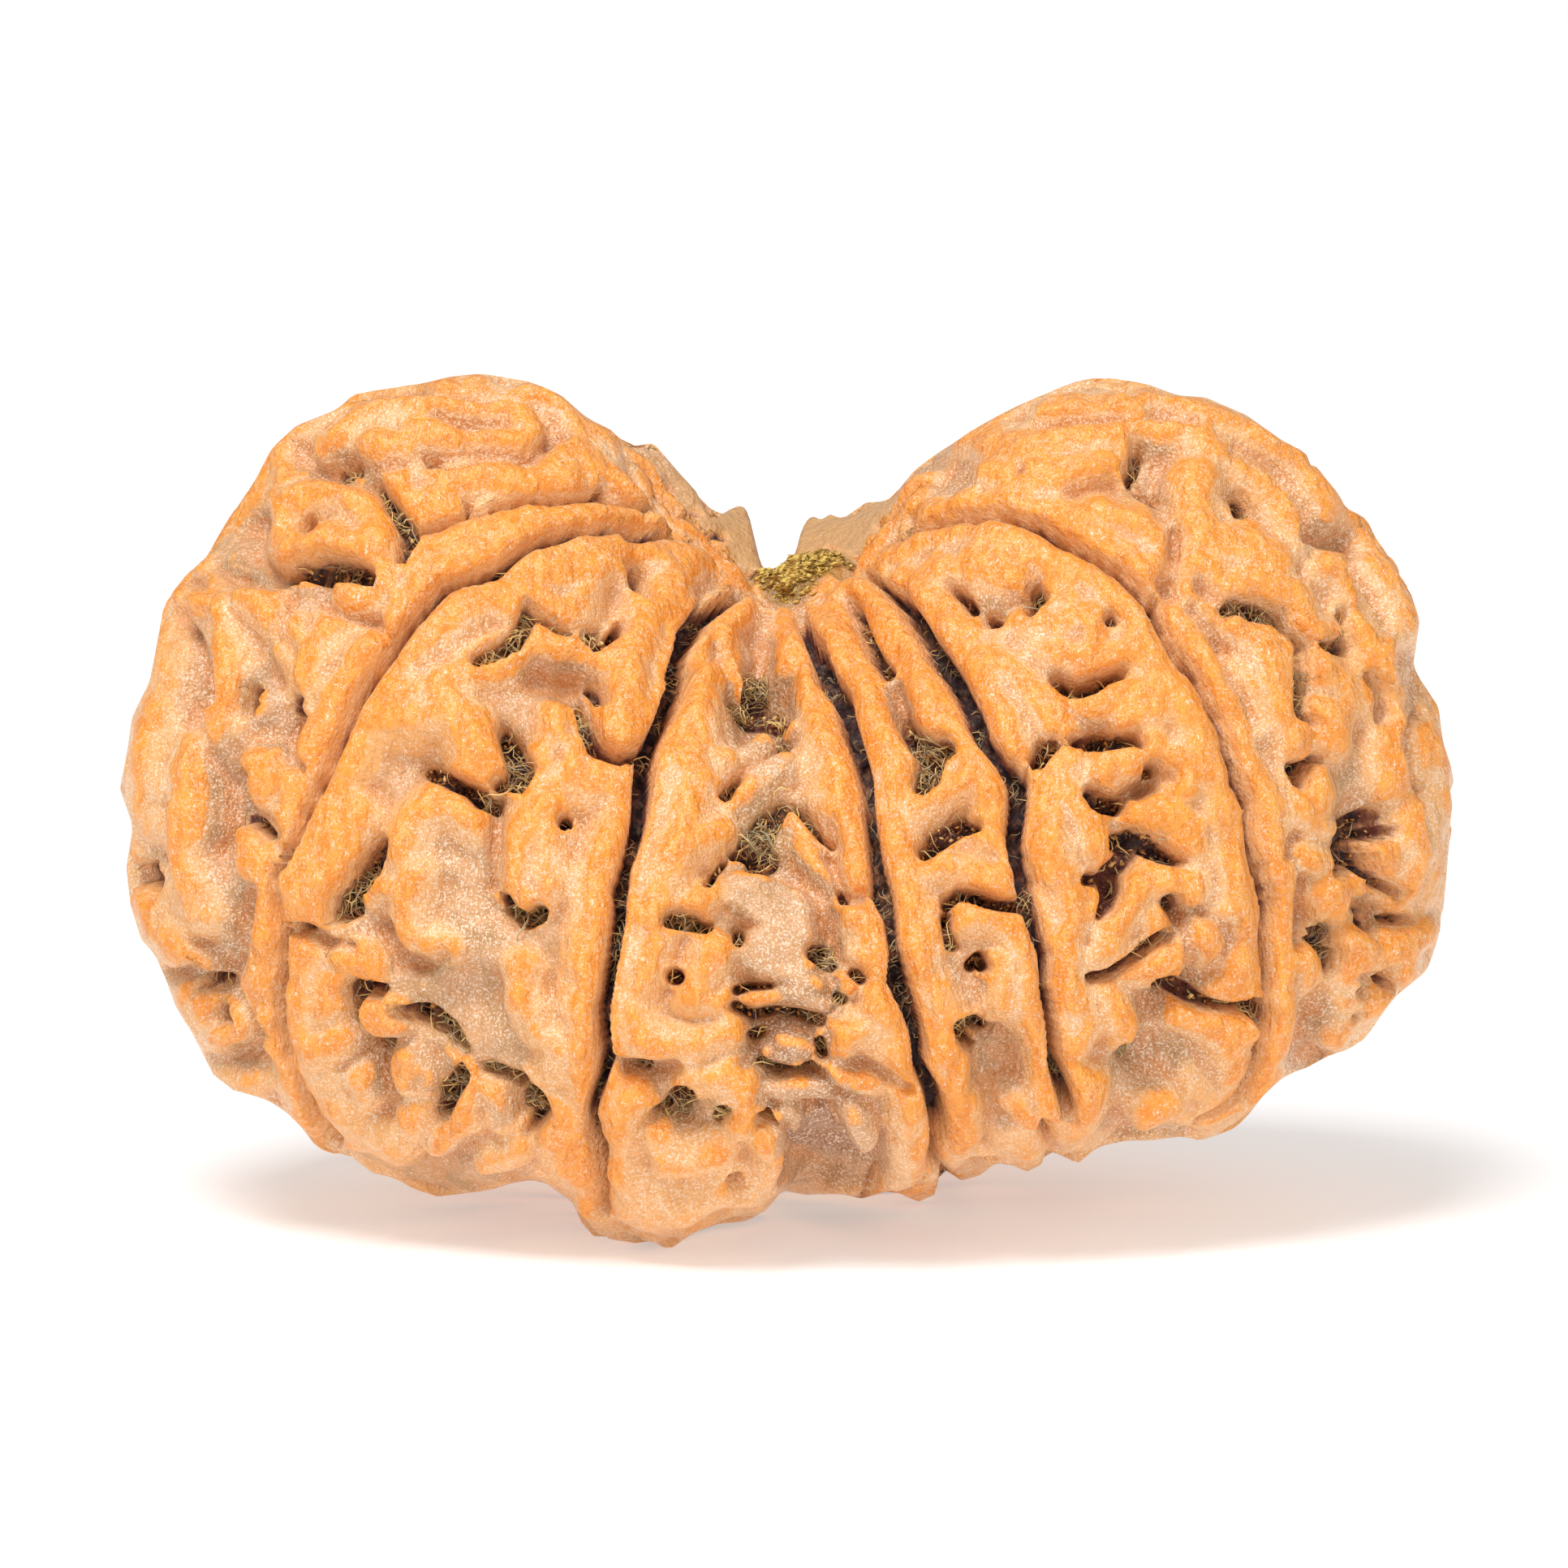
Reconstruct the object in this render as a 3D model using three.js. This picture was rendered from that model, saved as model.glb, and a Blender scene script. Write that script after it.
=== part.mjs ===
// Rudraksha seed: the dried stone of the fruit, lying on its underside with the stem end up.
// Millimetres, +Z up, +X along the longest side, -Y towards the viewer.
// The stone is one grown piece. Its grooves, ridges, raised net and pits are relief that a formula
// raises from a smooth bean-shaped base, so the whole seed is one closed mesh.
import * as THREE from "three";
import { mergeVertices } from "three/addons/utils/BufferGeometryUtils.js";

// Driving sizes
const STEM_HEIGHT = 4.5;
const UNDERSIDE = -11.3;
const REST_HEIGHT = -10.65;
const UNDERSIDE_TILT = 0.12;

// Relief depths under the outer level of the crests
const VALLEY_DEPTH = 0.95;
const LAND_ROUNDING = 1;
const LAND_HOLD = 0.4;
const GROOVE_DEPTH = 1.55;
const PIT_DEPTH = 1.4;
const WALL_FOOT = 0.12;
const WALL_LIP = -0.4;
const RIDGE_FOOT = -0.55;
const RIDGE_LIP = 0.2;
const KNOB_FOOT = -0.38;
const KNOB_RISE = 0.5;
const KNOB_HEIGHT = 1.2;
const HOLLOW_FOOT = -0.4;
const HOLLOW_WALL = 0.8;
const PIT_IN_HOLLOW = 0.4;

// Relief dies away within this angle of the underside's pole, in radians
const CALM_UNDERSIDE = 0.1;

// Dried pith of the stalk, a lump in the middle of the stem end
const PITH = { across: 0.35, back: 0.4, radius: 1.0, height: 0.85 };

// The relief of the front is laid out on a sheet that stands square to this line of sight
const SIGHT_ELEVATION = THREE.MathUtils.degToRad(9);
const SIGHT_DISTANCE = 400;

// Where the front's strokes hand over to the far side's rule, by how squarely the surface faces the sight
const HANDOVER = { start: 0.1, width: 0.18 };

// The bean's rim is fitted to the drawn rim, measured in turns round this middle of the sheet.
// The fit leaves the inner share of the shape alone, and relief that stands out past the rim is trimmed
const RIM_FIT = { across: 0, up: -3, turns: 720, calm: 0.6, crestWindow: 8, smoothing: 24, slack: 0.05 };

// Behind the middle the underside keeps its own level, so that the seed also rests on its far half
const FAR_UNDERSIDE = { below: -5, fade: 3, behind: -2.2, width: 3.6 };

// Rules for the far side and the two ends, where the relief is laid out by azimuth
const FAR_GROOVES = [79, 103, 128, 154, 181, 206, 231, 256, 280];
const FAR_ROWS = 26;
const GROOVE_SPAN = { top: 0.035, length: 0.895, width: 0.08, spread: 0.08 };
const LIP_SPAN = { top: 0.025, length: 0.915, inset: 0.17, spread: 0.07, width: 0.26, extra: 0.2, gaps: 0.2 };
const BRANCHES = { chance: 0.55, top: 0.16, bottom: 0.86, inset: 0.28, spread: 0.34, width: 0.34 };
const PLATES = { chance: 0.5, top: 0.14, length: 0.72, drop: 0.03 };
const FAR_PITS = { chance: 0.75, drop: 0.02 };

// The line that opens into the notch behind the stem, and how much wider it is there
const NOTCH = { line: 4, width: 0.5, length: 0.25 };

// Lines of the front carried on under the seed
const UNDER_STEPS = 7;
const UNDER_REACH = 0.87;
const UNDER_LIP = 0.075;
const SEED_NUMBER = 20417;

// Mesh density and how strongly its corners gather along walls and lips
const MESH_DETAIL = 23;
const RELAX_STEPS = 40;
const SNAP_STEPS = 3;
const FLIP_PASSES = 4;
const WALL_PULL = 3.6;
const LIP_PULL = 1.2;
const WALL_SPREAD = 0.4;
const RELAX_HOLD = 0.4;
const SNAP_TRAVEL = 0.3;
const SNAP_STEP = 0.004;
const FLIP_GAIN = 0.08;
const SMALLEST_ANGLE = THREE.MathUtils.degToRad(16);
const STROKE_REACH = 1;
const NORMAL_STEP = 0.012;

// Every point below is [across, up, half width] on the sight sheet
// The deep lines between the faces, from the stem end down
const GROOVES = [
  [[-1.6, 5.9, 0.1], [-3.6, 6.5, 0.12], [-5.1, 6.3, 0.14], [-6.3, 5.95, 0.15], [-7.1, 5.4, 0.14],
    [-8.4, 4.95, 0.12], [-9.2, 4, 0.14], [-10.2, 2.65, 0.12], [-10.8, 1.6, 0.13], [-11.5, 0.1, 0.1],
    [-12.05, -1.25, 0.1], [-12.6, -2.3, 0.12], [-12.45, -3.8, 0.12], [-12.45, -5.2, 0.12],
    [-12.35, -6.7, 0.12], [-11.8, -7.8, 0.12], [-11.1, -8.9, 0.12]],
  [[-2.2, 6.6, 0.08], [-3.6, 6.95, 0.09], [-4.3, 7.2, 0.12], [-5.2, 7.1, 0.1], [-6.2, 7.15, 0.1],
    [-7.2, 6.9, 0.08], [-8.4, 6.55, 0.08], [-9.4, 6.3, 0.12]],
  [[-0.9, 4.9, 0.12], [-1.8, 4.4, 0.22], [-2.3, 3.7, 0.24], [-2.6, 2.9, 0.24], [-2.65, 2.3, 0.16],
    [-3.05, 1.5, 0.16], [-3.4, 0.7, 0.26], [-3.45, 0.1, 0.24], [-3.6, -1, 0.2], [-3.9, -1.9, 0.15],
    [-4.1, -2.6, 0.22], [-4.15, -3.6, 0.18], [-4.35, -4.5, 0.16], [-4.5, -5.4, 0.18], [-4.4, -6.6, 0.2],
    [-4.6, -7.5, 0.14], [-4.78, -8.3, 0.14], [-4.6, -9.4, 0.18], [-4.5, -10.6, 0.16]],
  [[0.2, 4.7, 0.1], [0.55, 3.8, 0.18], [0.85, 3.3, 0.22], [1.1, 2.7, 0.24], [1.4, 2.2, 0.22],
    [1.6, 1.3, 0.22], [1.85, 0.5, 0.18], [2, -0.3, 0.14], [2.15, -1.3, 0.18], [2.3, -2, 0.22],
    [2.38, -2.6, 0.26], [2.6, -3.3, 0.14], [2.75, -4.1, 0.14], [2.85, -4.8, 0.28], [3.05, -5.4, 0.22],
    [3.25, -6.2, 0.18], [3.4, -7.1, 0.16], [3.75, -7.8, 0.22], [3.85, -8.6, 0.2], [3.8, -9.4, 0.16]],
  [[1.2, 5.5, 0.08], [2.1, 5.2, 0.1], [2.8, 4.7, 0.2], [3.2, 4.1, 0.22], [3.65, 3.3, 0.26],
    [4.2, 2.55, 0.22], [4.55, 1.9, 0.24], [4.8, 1.3, 0.2], [5.3, 0.7, 0.16], [5.7, 0.25, 0.26],
    [5.75, -0.5, 0.24], [5.75, -1.2, 0.24], [5.9, -2, 0.22], [6.05, -2.7, 0.22], [6.2, -3.3, 0.2],
    [6.4, -4.2, 0.14], [6.5, -5.1, 0.14], [6.6, -6.1, 0.14], [6.7, -6.9, 0.16], [6.95, -7.6, 0.22],
    [7.05, -8.3, 0.14]],
  [[2.4, 6.2, 0.08], [3.8, 6.6, 0.1], [5.2, 6.75, 0.14], [6.2, 6.5, 0.16], [7.1, 6, 0.14],
    [8, 5.4, 0.1], [8.6, 4.95, 0.12], [9.1, 4.5, 0.16], [9.5, 3.7, 0.12], [10.2, 2.7, 0.1],
    [10.55, 1.9, 0.12], [10.95, 1.2, 0.12], [11.25, 0.2, 0.12], [11.6, -0.6, 0.12], [11.68, -1.8, 0.12],
    [12, -3, 0.12], [12.02, -4.2, 0.12], [12, -5.2, 0.12], [11.85, -5.9, 0.14], [11.8, -6.8, 0.1],
    [11.3, -7.8, 0.1], [10.2, -8.4, 0.1]],
];
// Ridges and plates whose crests reach the outer level
const RIDGES = [
  [[-2, 5.75, 0.22], [-2.5, 5.3, 0.3], [-3, 4.55, 0.42], [-3.55, 3.8, 0.48], [-3.8, 3, 0.52],
    [-3.85, 2.2, 0.55], [-4, 1.5, 0.55], [-4.1, 1.25, 0.5]],
  [[-3.9, 3.3, 0.4], [-4.4, 3.35, 0.35]],
  [[-2.8, 5.9, 0.25], [-3.8, 6.15, 0.3], [-4.9, 6.1, 0.38], [-5.8, 5.9, 0.4], [-6.4, 5.5, 0.4]],
  [[-6, 5.2, 0.55], [-5.2, 5.3, 0.6], [-4.5, 5.6, 0.5]],
  [[-6, 4.75, 0.35], [-5.4, 4.5, 0.4], [-4.9, 4.7, 0.5]],
  [[-6.75, 4.75, 0.38], [-7.3, 4.85, 0.45], [-8, 4.55, 0.5], [-8.7, 3.9, 0.45], [-9.3, 3.2, 0.35]],
  [[-6, 3.95, 0.3], [-6.6, 3.6, 0.4], [-7.4, 3.2, 0.45], [-8.3, 2.7, 0.5], [-9.3, 2.3, 0.55],
    [-9.9, 1.6, 0.5]],
  [[-6.1, 3.9, 0.3], [-5.5, 3.6, 0.35], [-4.9, 3.5, 0.3]],
  [[-9.3, 1.7, 0.6], [-8.4, 2, 0.6], [-7.9, 1.5, 0.6], [-7.6, 0.8, 0.55], [-7.4, 0.55, 0.42]],
  [[-10.3, 2.2, 0.35], [-10.6, 1.2, 0.4], [-11.1, 0.1, 0.42], [-11.6, -0.9, 0.42], [-12.1, -1.9, 0.35],
    [-12.1, -2.6, 0.45], [-11.6, -3.1, 0.45]],
  [[-11.2, -0.4, 0.5], [-10.7, -0.9, 0.5], [-11.3, -1.6, 0.5]],
  [[-11.5, -2.4, 0.55], [-11.9, -2.9, 0.5]],
  [[-9.45, -1.7, 0.4], [-9.3, -1, 0.42], [-8.8, -0.55, 0.42], [-8.2, -0.5, 0.42], [-7.8, -0.9, 0.35]],
  [[-9.2, -2.2, 0.4], [-9.35, -2.9, 0.4], [-9.4, -3.6, 0.45], [-8.9, -4, 0.38], [-8.5, -4.1, 0.25]],
  [[-9.7, -2.55, 0.3], [-10.05, -2.5, 0.3]],
  [[-5.2, 1, 0.22], [-5.2, 0.3, 0.4], [-4.6, 0, 0.48], [-4.1, 0.1, 0.35]],
  [[-6, -0.2, 0.35], [-6.3, -0.9, 0.38], [-6.65, -1.8, 0.38], [-6.7, -2.4, 0.38], [-6.4, -2.75, 0.3]],
  [[-4.05, 0, 0.32], [-4.15, -0.9, 0.42], [-4.5, -1.7, 0.48], [-4.75, -2.6, 0.45], [-4.8, -3.6, 0.45],
    [-4.95, -4.5, 0.42], [-5.1, -5.4, 0.42], [-5, -6.4, 0.42], [-5.1, -7.2, 0.48], [-5, -7.5, 0.38]],
  [[-5.6, 0, 0.3], [-5.9, -1.6, 0.45], [-5.8, -2.4, 0.45]],
  [[-6.5, -4.6, 0.38], [-6.45, -5.4, 0.4], [-6.15, -6, 0.38], [-5.6, -6.6, 0.45], [-5.6, -7.1, 0.45]],
  [[-5.6, 1.75, 0.25], [-5.6, 1.2, 0.3], [-5.9, 0.6, 0.25]],
  [[-12, -4.3, 0.42], [-12, -5.3, 0.45], [-11.95, -6.2, 0.45], [-11.5, -6.65, 0.45],
    [-11.1, -6.5, 0.4]],
  [[-11.4, -5.6, 0.4], [-11.3, -5, 0.4]],
  [[-11, -4.3, 0.3], [-10.5, -4.5, 0.3]],
  [[-11.3, -7.4, 0.3], [-11, -8.2, 0.35], [-10.4, -8.8, 0.35], [-9.6, -9.2, 0.35]],
  [[-10.6, -7.4, 0.3], [-10.4, -7.9, 0.32]],
  [[-9.3, -8.3, 0.38], [-9.2, -8.7, 0.35]],
  [[-8, -7.9, 0.35], [-7.9, -8.5, 0.4], [-8.6, -9, 0.4]],
  [[-5.6, -8.1, 0.32], [-5.7, -8.8, 0.45], [-5.4, -9.4, 0.5], [-5.1, -9.8, 0.38]],
  [[-4.95, -10.4, 0.35], [-4.75, -11, 0.4]],
  [[-6.6, -9.1, 0.35], [-7.4, -9.4, 0.4]],
  [[-1, 4.65, 0.2], [-1.15, 4.1, 0.26], [-1.05, 3.4, 0.24], [-1.3, 2.8, 0.18]],
  [[-1.75, 3.4, 0.24], [-1.95, 2.8, 0.34], [-2.1, 2.1, 0.4], [-2.2, 1.4, 0.5], [-2.25, 0.7, 0.6],
    [-2.2, 0.1, 0.55], [-2.4, -0.7, 0.48], [-2.75, -1.6, 0.46], [-3, -2.5, 0.44], [-3.25, -3.4, 0.46],
    [-3.45, -4.4, 0.42], [-3.75, -5.4, 0.36], [-3.6, -6.2, 0.42], [-3, -6.5, 0.42], [-2.2, -6.55, 0.45],
    [-1.6, -6.2, 0.35]],
  [[-1.75, 0.7, 0.35], [-1.5, 0.7, 0.25]],
  [[-2, -1.2, 0.3], [-1.6, -1, 0.25]],
  [[0, 4.35, 0.14], [0.05, 3.8, 0.16], [0.1, 3.3, 0.1]],
  [[0.6, 3, 0.1], [0.65, 2.4, 0.24], [0.8, 1.7, 0.34], [0.98, 1, 0.42], [1.25, 0.2, 0.46],
    [1.45, -0.6, 0.4], [1.6, -1.3, 0.36], [1.7, -2, 0.36], [1.8, -2.5, 0.2]],
  [[1.75, -3.05, 0.32], [2.1, -3.4, 0.34], [2.2, -4, 0.4], [2, -4.5, 0.4], [2.15, -5.2, 0.38],
    [2.5, -5.8, 0.45], [2.65, -6.4, 0.46], [2.8, -7, 0.42], [3.05, -7.7, 0.34], [3.2, -8.3, 0.32],
    [3.1, -8.7, 0.3]],
  [[2, -6.1, 0.4], [1.45, -6.2, 0.36], [1.35, -6.8, 0.32], [1.6, -7.3, 0.32], [2.1, -7.5, 0.32]],
  [[3.3, -9.2, 0.36], [3.3, -9.9, 0.36]],
  [[-2.3, -3, 0.3], [-1.9, -2.6, 0.25]],
  [[-1.8, -4.2, 0.4], [-2.2, -5.2, 0.45], [-1.7, -5.4, 0.35]],
  [[-3.9, -7.9, 0.35], [-4.1, -8.7, 0.4], [-4.05, -9.7, 0.42], [-3.8, -10.5, 0.5], [-3, -10.8, 0.5],
    [-2.2, -10.4, 0.42], [-1.5, -10.2, 0.32], [-0.8, -10.2, 0.32]],
  [[-2.2, -7.3, 0.35], [-1.4, -7.2, 0.4], [-1, -7.8, 0.4], [-1.1, -8.5, 0.35]],
  [[-1.6, -9.2, 0.34], [-2.2, -9.5, 0.36], [-2.9, -9.4, 0.45], [-3.3, -8.9, 0.3]],
  [[-0.55, -8.9, 0.3], [-0.25, -9.4, 0.3], [-0.35, -9.9, 0.26]],
  [[0.9, 5.2, 0.16], [1, 4.5, 0.18], [1.2, 3.9, 0.2], [1.55, 3.2, 0.26], [1.95, 2.5, 0.32],
    [2.2, 1.7, 0.34], [2.45, 1, 0.4], [2.6, 0.2, 0.4], [2.7, -0.6, 0.34], [2.88, -1.4, 0.4],
    [3, -2.2, 0.4], [3.15, -3.1, 0.4], [3.35, -4.1, 0.4], [3.6, -5, 0.36], [3.9, -5.8, 0.32],
    [4.05, -6.5, 0.36], [4.25, -7.1, 0.32], [4.3, -7.7, 0.18]],
  [[1.3, 5.2, 0.18], [1.9, 4.95, 0.22], [2.4, 4.4, 0.28], [2.8, 3.9, 0.34], [3.1, 3.2, 0.36],
    [3.5, 2.4, 0.4], [3.85, 1.8, 0.36], [4.1, 1.3, 0.18]],
  [[4.4, 1, 0.22], [4.75, 0.5, 0.38], [5.05, 0, 0.36], [5.15, -0.7, 0.32], [5.15, -1.3, 0.28]],
  [[4.6, 0.2, 0.35], [3.9, 0, 0.28], [3.2, -0.5, 0.3]],
  [[3.1, -2.1, 0.34], [3.9, -1.95, 0.3], [4.6, -2.1, 0.3], [5.2, -2.3, 0.3], [5.5, -2.5, 0.22]],
  [[4.6, -3.25, 0.24], [5.3, -3.35, 0.32], [5.75, -3.7, 0.32], [5.95, -4.4, 0.36], [6.05, -5.2, 0.38],
    [6.15, -5.9, 0.36], [6.3, -6.4, 0.22]],
  [[5.5, -4.4, 0.35], [5.5, -5.4, 0.4]],
  [[4.5, -8.2, 0.28], [4.5, -8.9, 0.36], [4.4, -9.5, 0.32]],
  [[6.5, -7, 0.24], [6.55, -7.6, 0.3], [6.65, -8.2, 0.34], [6.3, -8.5, 0.28], [5.9, -8.2, 0.3]],
  [[6, -9.1, 0.4], [5.5, -9, 0.3]],
  [[2.3, 5.9, 0.2], [3.2, 6.2, 0.26], [4.2, 6.35, 0.3], [5.2, 6.35, 0.36], [6, 6.05, 0.4],
    [6.8, 5.6, 0.42], [7.6, 5.1, 0.42], [8.4, 4.5, 0.42], [8.8, 3.8, 0.42], [9.2, 3, 0.45],
    [9.8, 2.1, 0.42], [10.2, 1.3, 0.42], [10.55, 0.4, 0.44], [10.85, -0.5, 0.46], [10.95, -1.3, 0.44],
    [11.1, -2.1, 0.36], [11.3, -2.9, 0.38], [11.45, -3.7, 0.38], [11.35, -4.5, 0.46], [11.2, -5, 0.42]],
  [[2.9, 5.3, 0.22], [3.3, 4.9, 0.24], [3.75, 4.5, 0.2]],
  [[4.7, 5.7, 0.45], [5.6, 5.4, 0.45]],
  [[3.9, 5.6, 0.35], [3.6, 5.4, 0.3]],
  [[3.85, 4, 0.28], [4.3, 3.6, 0.4], [4.7, 3, 0.44], [5.1, 2.4, 0.46], [5.35, 1.8, 0.48],
    [5.5, 1.25, 0.45], [5.6, 1, 0.35]],
  [[5.2, 3.2, 0.4], [5.9, 2.6, 0.4], [6.5, 2, 0.36], [6.85, 1.4, 0.26], [7.1, 1, 0.22]],
  [[6.4, 0.5, 0.32], [6.55, -0.3, 0.45], [6.6, -1.2, 0.5], [6.75, -2, 0.5], [7, -2.7, 0.46],
    [7.2, -3.2, 0.44], [7, -4, 0.42], [7.05, -4.8, 0.4], [7.3, -5.4, 0.38], [7.5, -6, 0.38],
    [7.25, -6.6, 0.3]],
  [[6.9, 0.5, 0.35], [7, -0.2, 0.4], [7.5, -0.9, 0.36], [7.6, -1.5, 0.34]],
  [[6, 4.1, 0.35], [6.8, 3.9, 0.45], [7.6, 4.2, 0.45], [7.6, 3.4, 0.35]],
  [[6.3, 3.4, 0.35], [7.2, 3.2, 0.36], [8.1, 3.3, 0.3], [8.7, 3.4, 0.3]],
  [[6.8, 5, 0.4], [6.9, 4.6, 0.35]],
  [[7.6, 2.15, 0.28], [8.3, 2.3, 0.38], [9, 2.4, 0.42], [9.3, 1.8, 0.4], [8.5, 1.7, 0.3]],
  [[9.2, 1.1, 0.3], [8.7, 0.6, 0.3], [8.1, 0.35, 0.28], [7.7, 0.2, 0.2]],
  [[8.9, -0.7, 0.3], [9.5, -0.7, 0.45], [10.1, -1.1, 0.45], [10.3, -1.7, 0.38]],
  [[10, 0, 0.45], [9.7, 0.7, 0.3]],
  [[8.9, -2.4, 0.28], [8.6, -3, 0.35], [8.2, -3.7, 0.34], [7.9, -4.3, 0.26]],
  [[9.4, -2.4, 0.35], [10.3, -2.5, 0.45]],
  [[9.2, -3.3, 0.3], [9.3, -3.6, 0.2]],
  [[8.8, -4.7, 0.3], [9.4, -4.5, 0.34], [9.9, -4.4, 0.28]],
  [[10.8, -3.5, 0.42], [10.3, -4, 0.35], [10.9, -4.3, 0.45]],
  [[9.9, -5.9, 0.25], [10.5, -6, 0.34], [11, -6.3, 0.4], [11.25, -6.9, 0.38], [11, -7.35, 0.3]],
  [[10.3, -7.5, 0.26], [10.8, -7.8, 0.24]],
  [[7.3, -7.3, 0.3], [7.7, -7.5, 0.3], [7.6, -8.1, 0.34], [7.2, -8.7, 0.34]],
  [[8.2, -5.3, 0.35], [8.4, -6.1, 0.3]],
  [[8.9, -8.4, 0.3], [9.7, -8, 0.3]],
  [[3.4, 6.85, 0.18], [4.4, 7.05, 0.22], [5.4, 7.12, 0.26], [6.3, 7, 0.28], [7.1, 6.65, 0.32],
    [7.8, 6.2, 0.34], [8.5, 5.75, 0.34], [8.9, 5.35, 0.28]],
  [[7.8, 6.9, 0.3], [8.7, 6.5, 0.26], [9.3, 6.1, 0.26], [9.45, 5.6, 0.22]],
  [[9.6, 4.5, 0.24], [10, 3.9, 0.28], [10.45, 3.3, 0.28], [10.85, 2.5, 0.28], [11.15, 1.8, 0.28],
    [11.5, 1, 0.28], [11.8, 0.3, 0.28], [12.1, -0.5, 0.3], [12.25, -1.2, 0.3], [12.3, -2, 0.3],
    [12.5, -2.9, 0.28], [12.5, -3.8, 0.26], [12.45, -4.8, 0.32], [12.35, -5.6, 0.34],
    [12.25, -6.5, 0.34], [12, -7.2, 0.32], [11.4, -8, 0.3], [10.6, -8.45, 0.28]],
  [[10.1, 5, 0.18], [10.6, 4.5, 0.24], [11.2, 4, 0.26], [11.9, 3.6, 0.34], [12.15, 2.9, 0.34],
    [12.2, 2.2, 0.34], [12.4, 1.5, 0.32], [12.7, 1.05, 0.34]],
  [[11, 3, 0.3], [11.6, 2.4, 0.35], [11.9, 1.4, 0.3]],
  [[6.2, 9.2, 0.3], [7.2, 9.45, 0.32], [8.1, 9.5, 0.36], [8.8, 9.3, 0.3]],
  [[9.4, 9.05, 0.26], [10.2, 8.95, 0.26], [10.6, 8.3, 0.28], [11.3, 8.3, 0.3], [12, 7.85, 0.3],
    [12.5, 7.3, 0.34], [12.65, 6.7, 0.3], [12.9, 6.1, 0.26]],
  [[5.2, 8.4, 0.6], [6.4, 8.5, 0.6], [7.6, 8.6, 0.6], [8.4, 8.3, 0.35]],
  [[5, 7.8, 0.4], [6.4, 7.7, 0.5], [7.4, 7.6, 0.4], [8, 8, 0.35]],
  [[10.2, 7.6, 0.6], [10.3, 6.9, 0.5], [10.6, 6.2, 0.6], [11.5, 6, 0.6], [12.2, 5.6, 0.5]],
  [[10.4, 5.6, 0.4], [11.2, 5.2, 0.45], [12.2, 5, 0.45], [12.9, 4.7, 0.35], [13.2, 4.15, 0.34],
    [13.5, 3.85, 0.26]],
  [[13.3, 3, 0.36], [13.9, 2.6, 0.38], [14.1, 1.9, 0.36], [13.8, 1.2, 0.4], [13.4, 1.8, 0.45]],
  [[13.3, 0.15, 0.3], [13.4, -0.5, 0.28]],
  [[12.7, -1.5, 0.36], [13.2, -1.85, 0.32]],
  [[13.3, -1, 0.3], [12.9, -0.6, 0.3]],
  [[13.6, 5.6, 0.28], [14, 5.4, 0.26], [14.5, 4.7, 0.3], [14.85, 3.8, 0.32], [15.05, 2.8, 0.32],
    [15.2, 1.8, 0.34], [15.2, 0.8, 0.36], [15.2, 0, 0.36]],
  [[14.9, -1.7, 0.42], [15.1, -2.2, 0.36]],
  [[15.6, -0.6, 0.35], [15.75, -1.6, 0.4], [15.6, -2.6, 0.4]],
  [[13.6, -2.7, 0.36], [14.05, -2.8, 0.36]],
  [[13.1, -4.35, 0.34], [13.1, -4.9, 0.28]],
  [[14, -3.9, 0.42], [14.5, -4.1, 0.36], [14.3, -4.8, 0.4]],
  [[14.1, -5.6, 0.28], [14.4, -5.3, 0.2]],
  [[15.4, -4.1, 0.4], [15.9, -3.6, 0.4]],
  [[15.2, 6, 0.35], [15.5, 5, 0.35], [15.75, 4, 0.35]],
  [[14, 7.3, 0.4], [13.3, 7.8, 0.4]],
  [[-2.6, 6.5, 0.18], [-3.8, 6.75, 0.26], [-5, 6.7, 0.3], [-6, 6.5, 0.32], [-6.9, 6.15, 0.34],
    [-7.8, 5.75, 0.34], [-8.7, 5.3, 0.34], [-9.4, 4.6, 0.34], [-9.9, 3.9, 0.34], [-10.5, 3.1, 0.34],
    [-11.1, 2.3, 0.34], [-11.5, 1.5, 0.34], [-12, 0.6, 0.34], [-12.3, -0.2, 0.34],
    [-12.55, -0.9, 0.28]],
  [[-7.4, 6.55, 0.25], [-8.3, 6.25, 0.3], [-9.1, 6.15, 0.32], [-9.3, 5.8, 0.3]],
  [[-9.9, 5.1, 0.4], [-10.8, 4.5, 0.45], [-11.4, 3.7, 0.5], [-11.9, 2.9, 0.45]],
  [[-12.3, 3.9, 0.3], [-12.35, 3.1, 0.3], [-12.3, 2.5, 0.28]],
  [[-13.2, 0.35, 0.42], [-12.9, -0.1, 0.42], [-12.6, 0.4, 0.4]],
  [[-13.4, -1.2, 0.28], [-13.35, -1.9, 0.34], [-13, -2.5, 0.3], [-12.95, -3.3, 0.28],
    [-13.05, -4.1, 0.3], [-13.2, -4.9, 0.34], [-13.05, -5.7, 0.32], [-12.8, -6.4, 0.28],
    [-12.5, -7, 0.25], [-12.2, -7.7, 0.26], [-11.8, -8.4, 0.28]],
  [[-14.5, 4.9, 0.38], [-14.2, 4.1, 0.42], [-13.95, 3.2, 0.36], [-14, 2.4, 0.3], [-14.35, 1.6, 0.38],
    [-14.8, 0.9, 0.4], [-15, 0, 0.36], [-15, -0.9, 0.4], [-15.15, -1.6, 0.3], [-14.95, -2.5, 0.34],
    [-14.7, -3.3, 0.36]],
  [[-13.2, 4.6, 0.4], [-12.8, 4.2, 0.35]],
  [[-15.6, 3.6, 0.3], [-15.7, 2.2, 0.3], [-15.8, 1, 0.34], [-15.85, 0, 0.3], [-15.8, -1.2, 0.3]],
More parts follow.
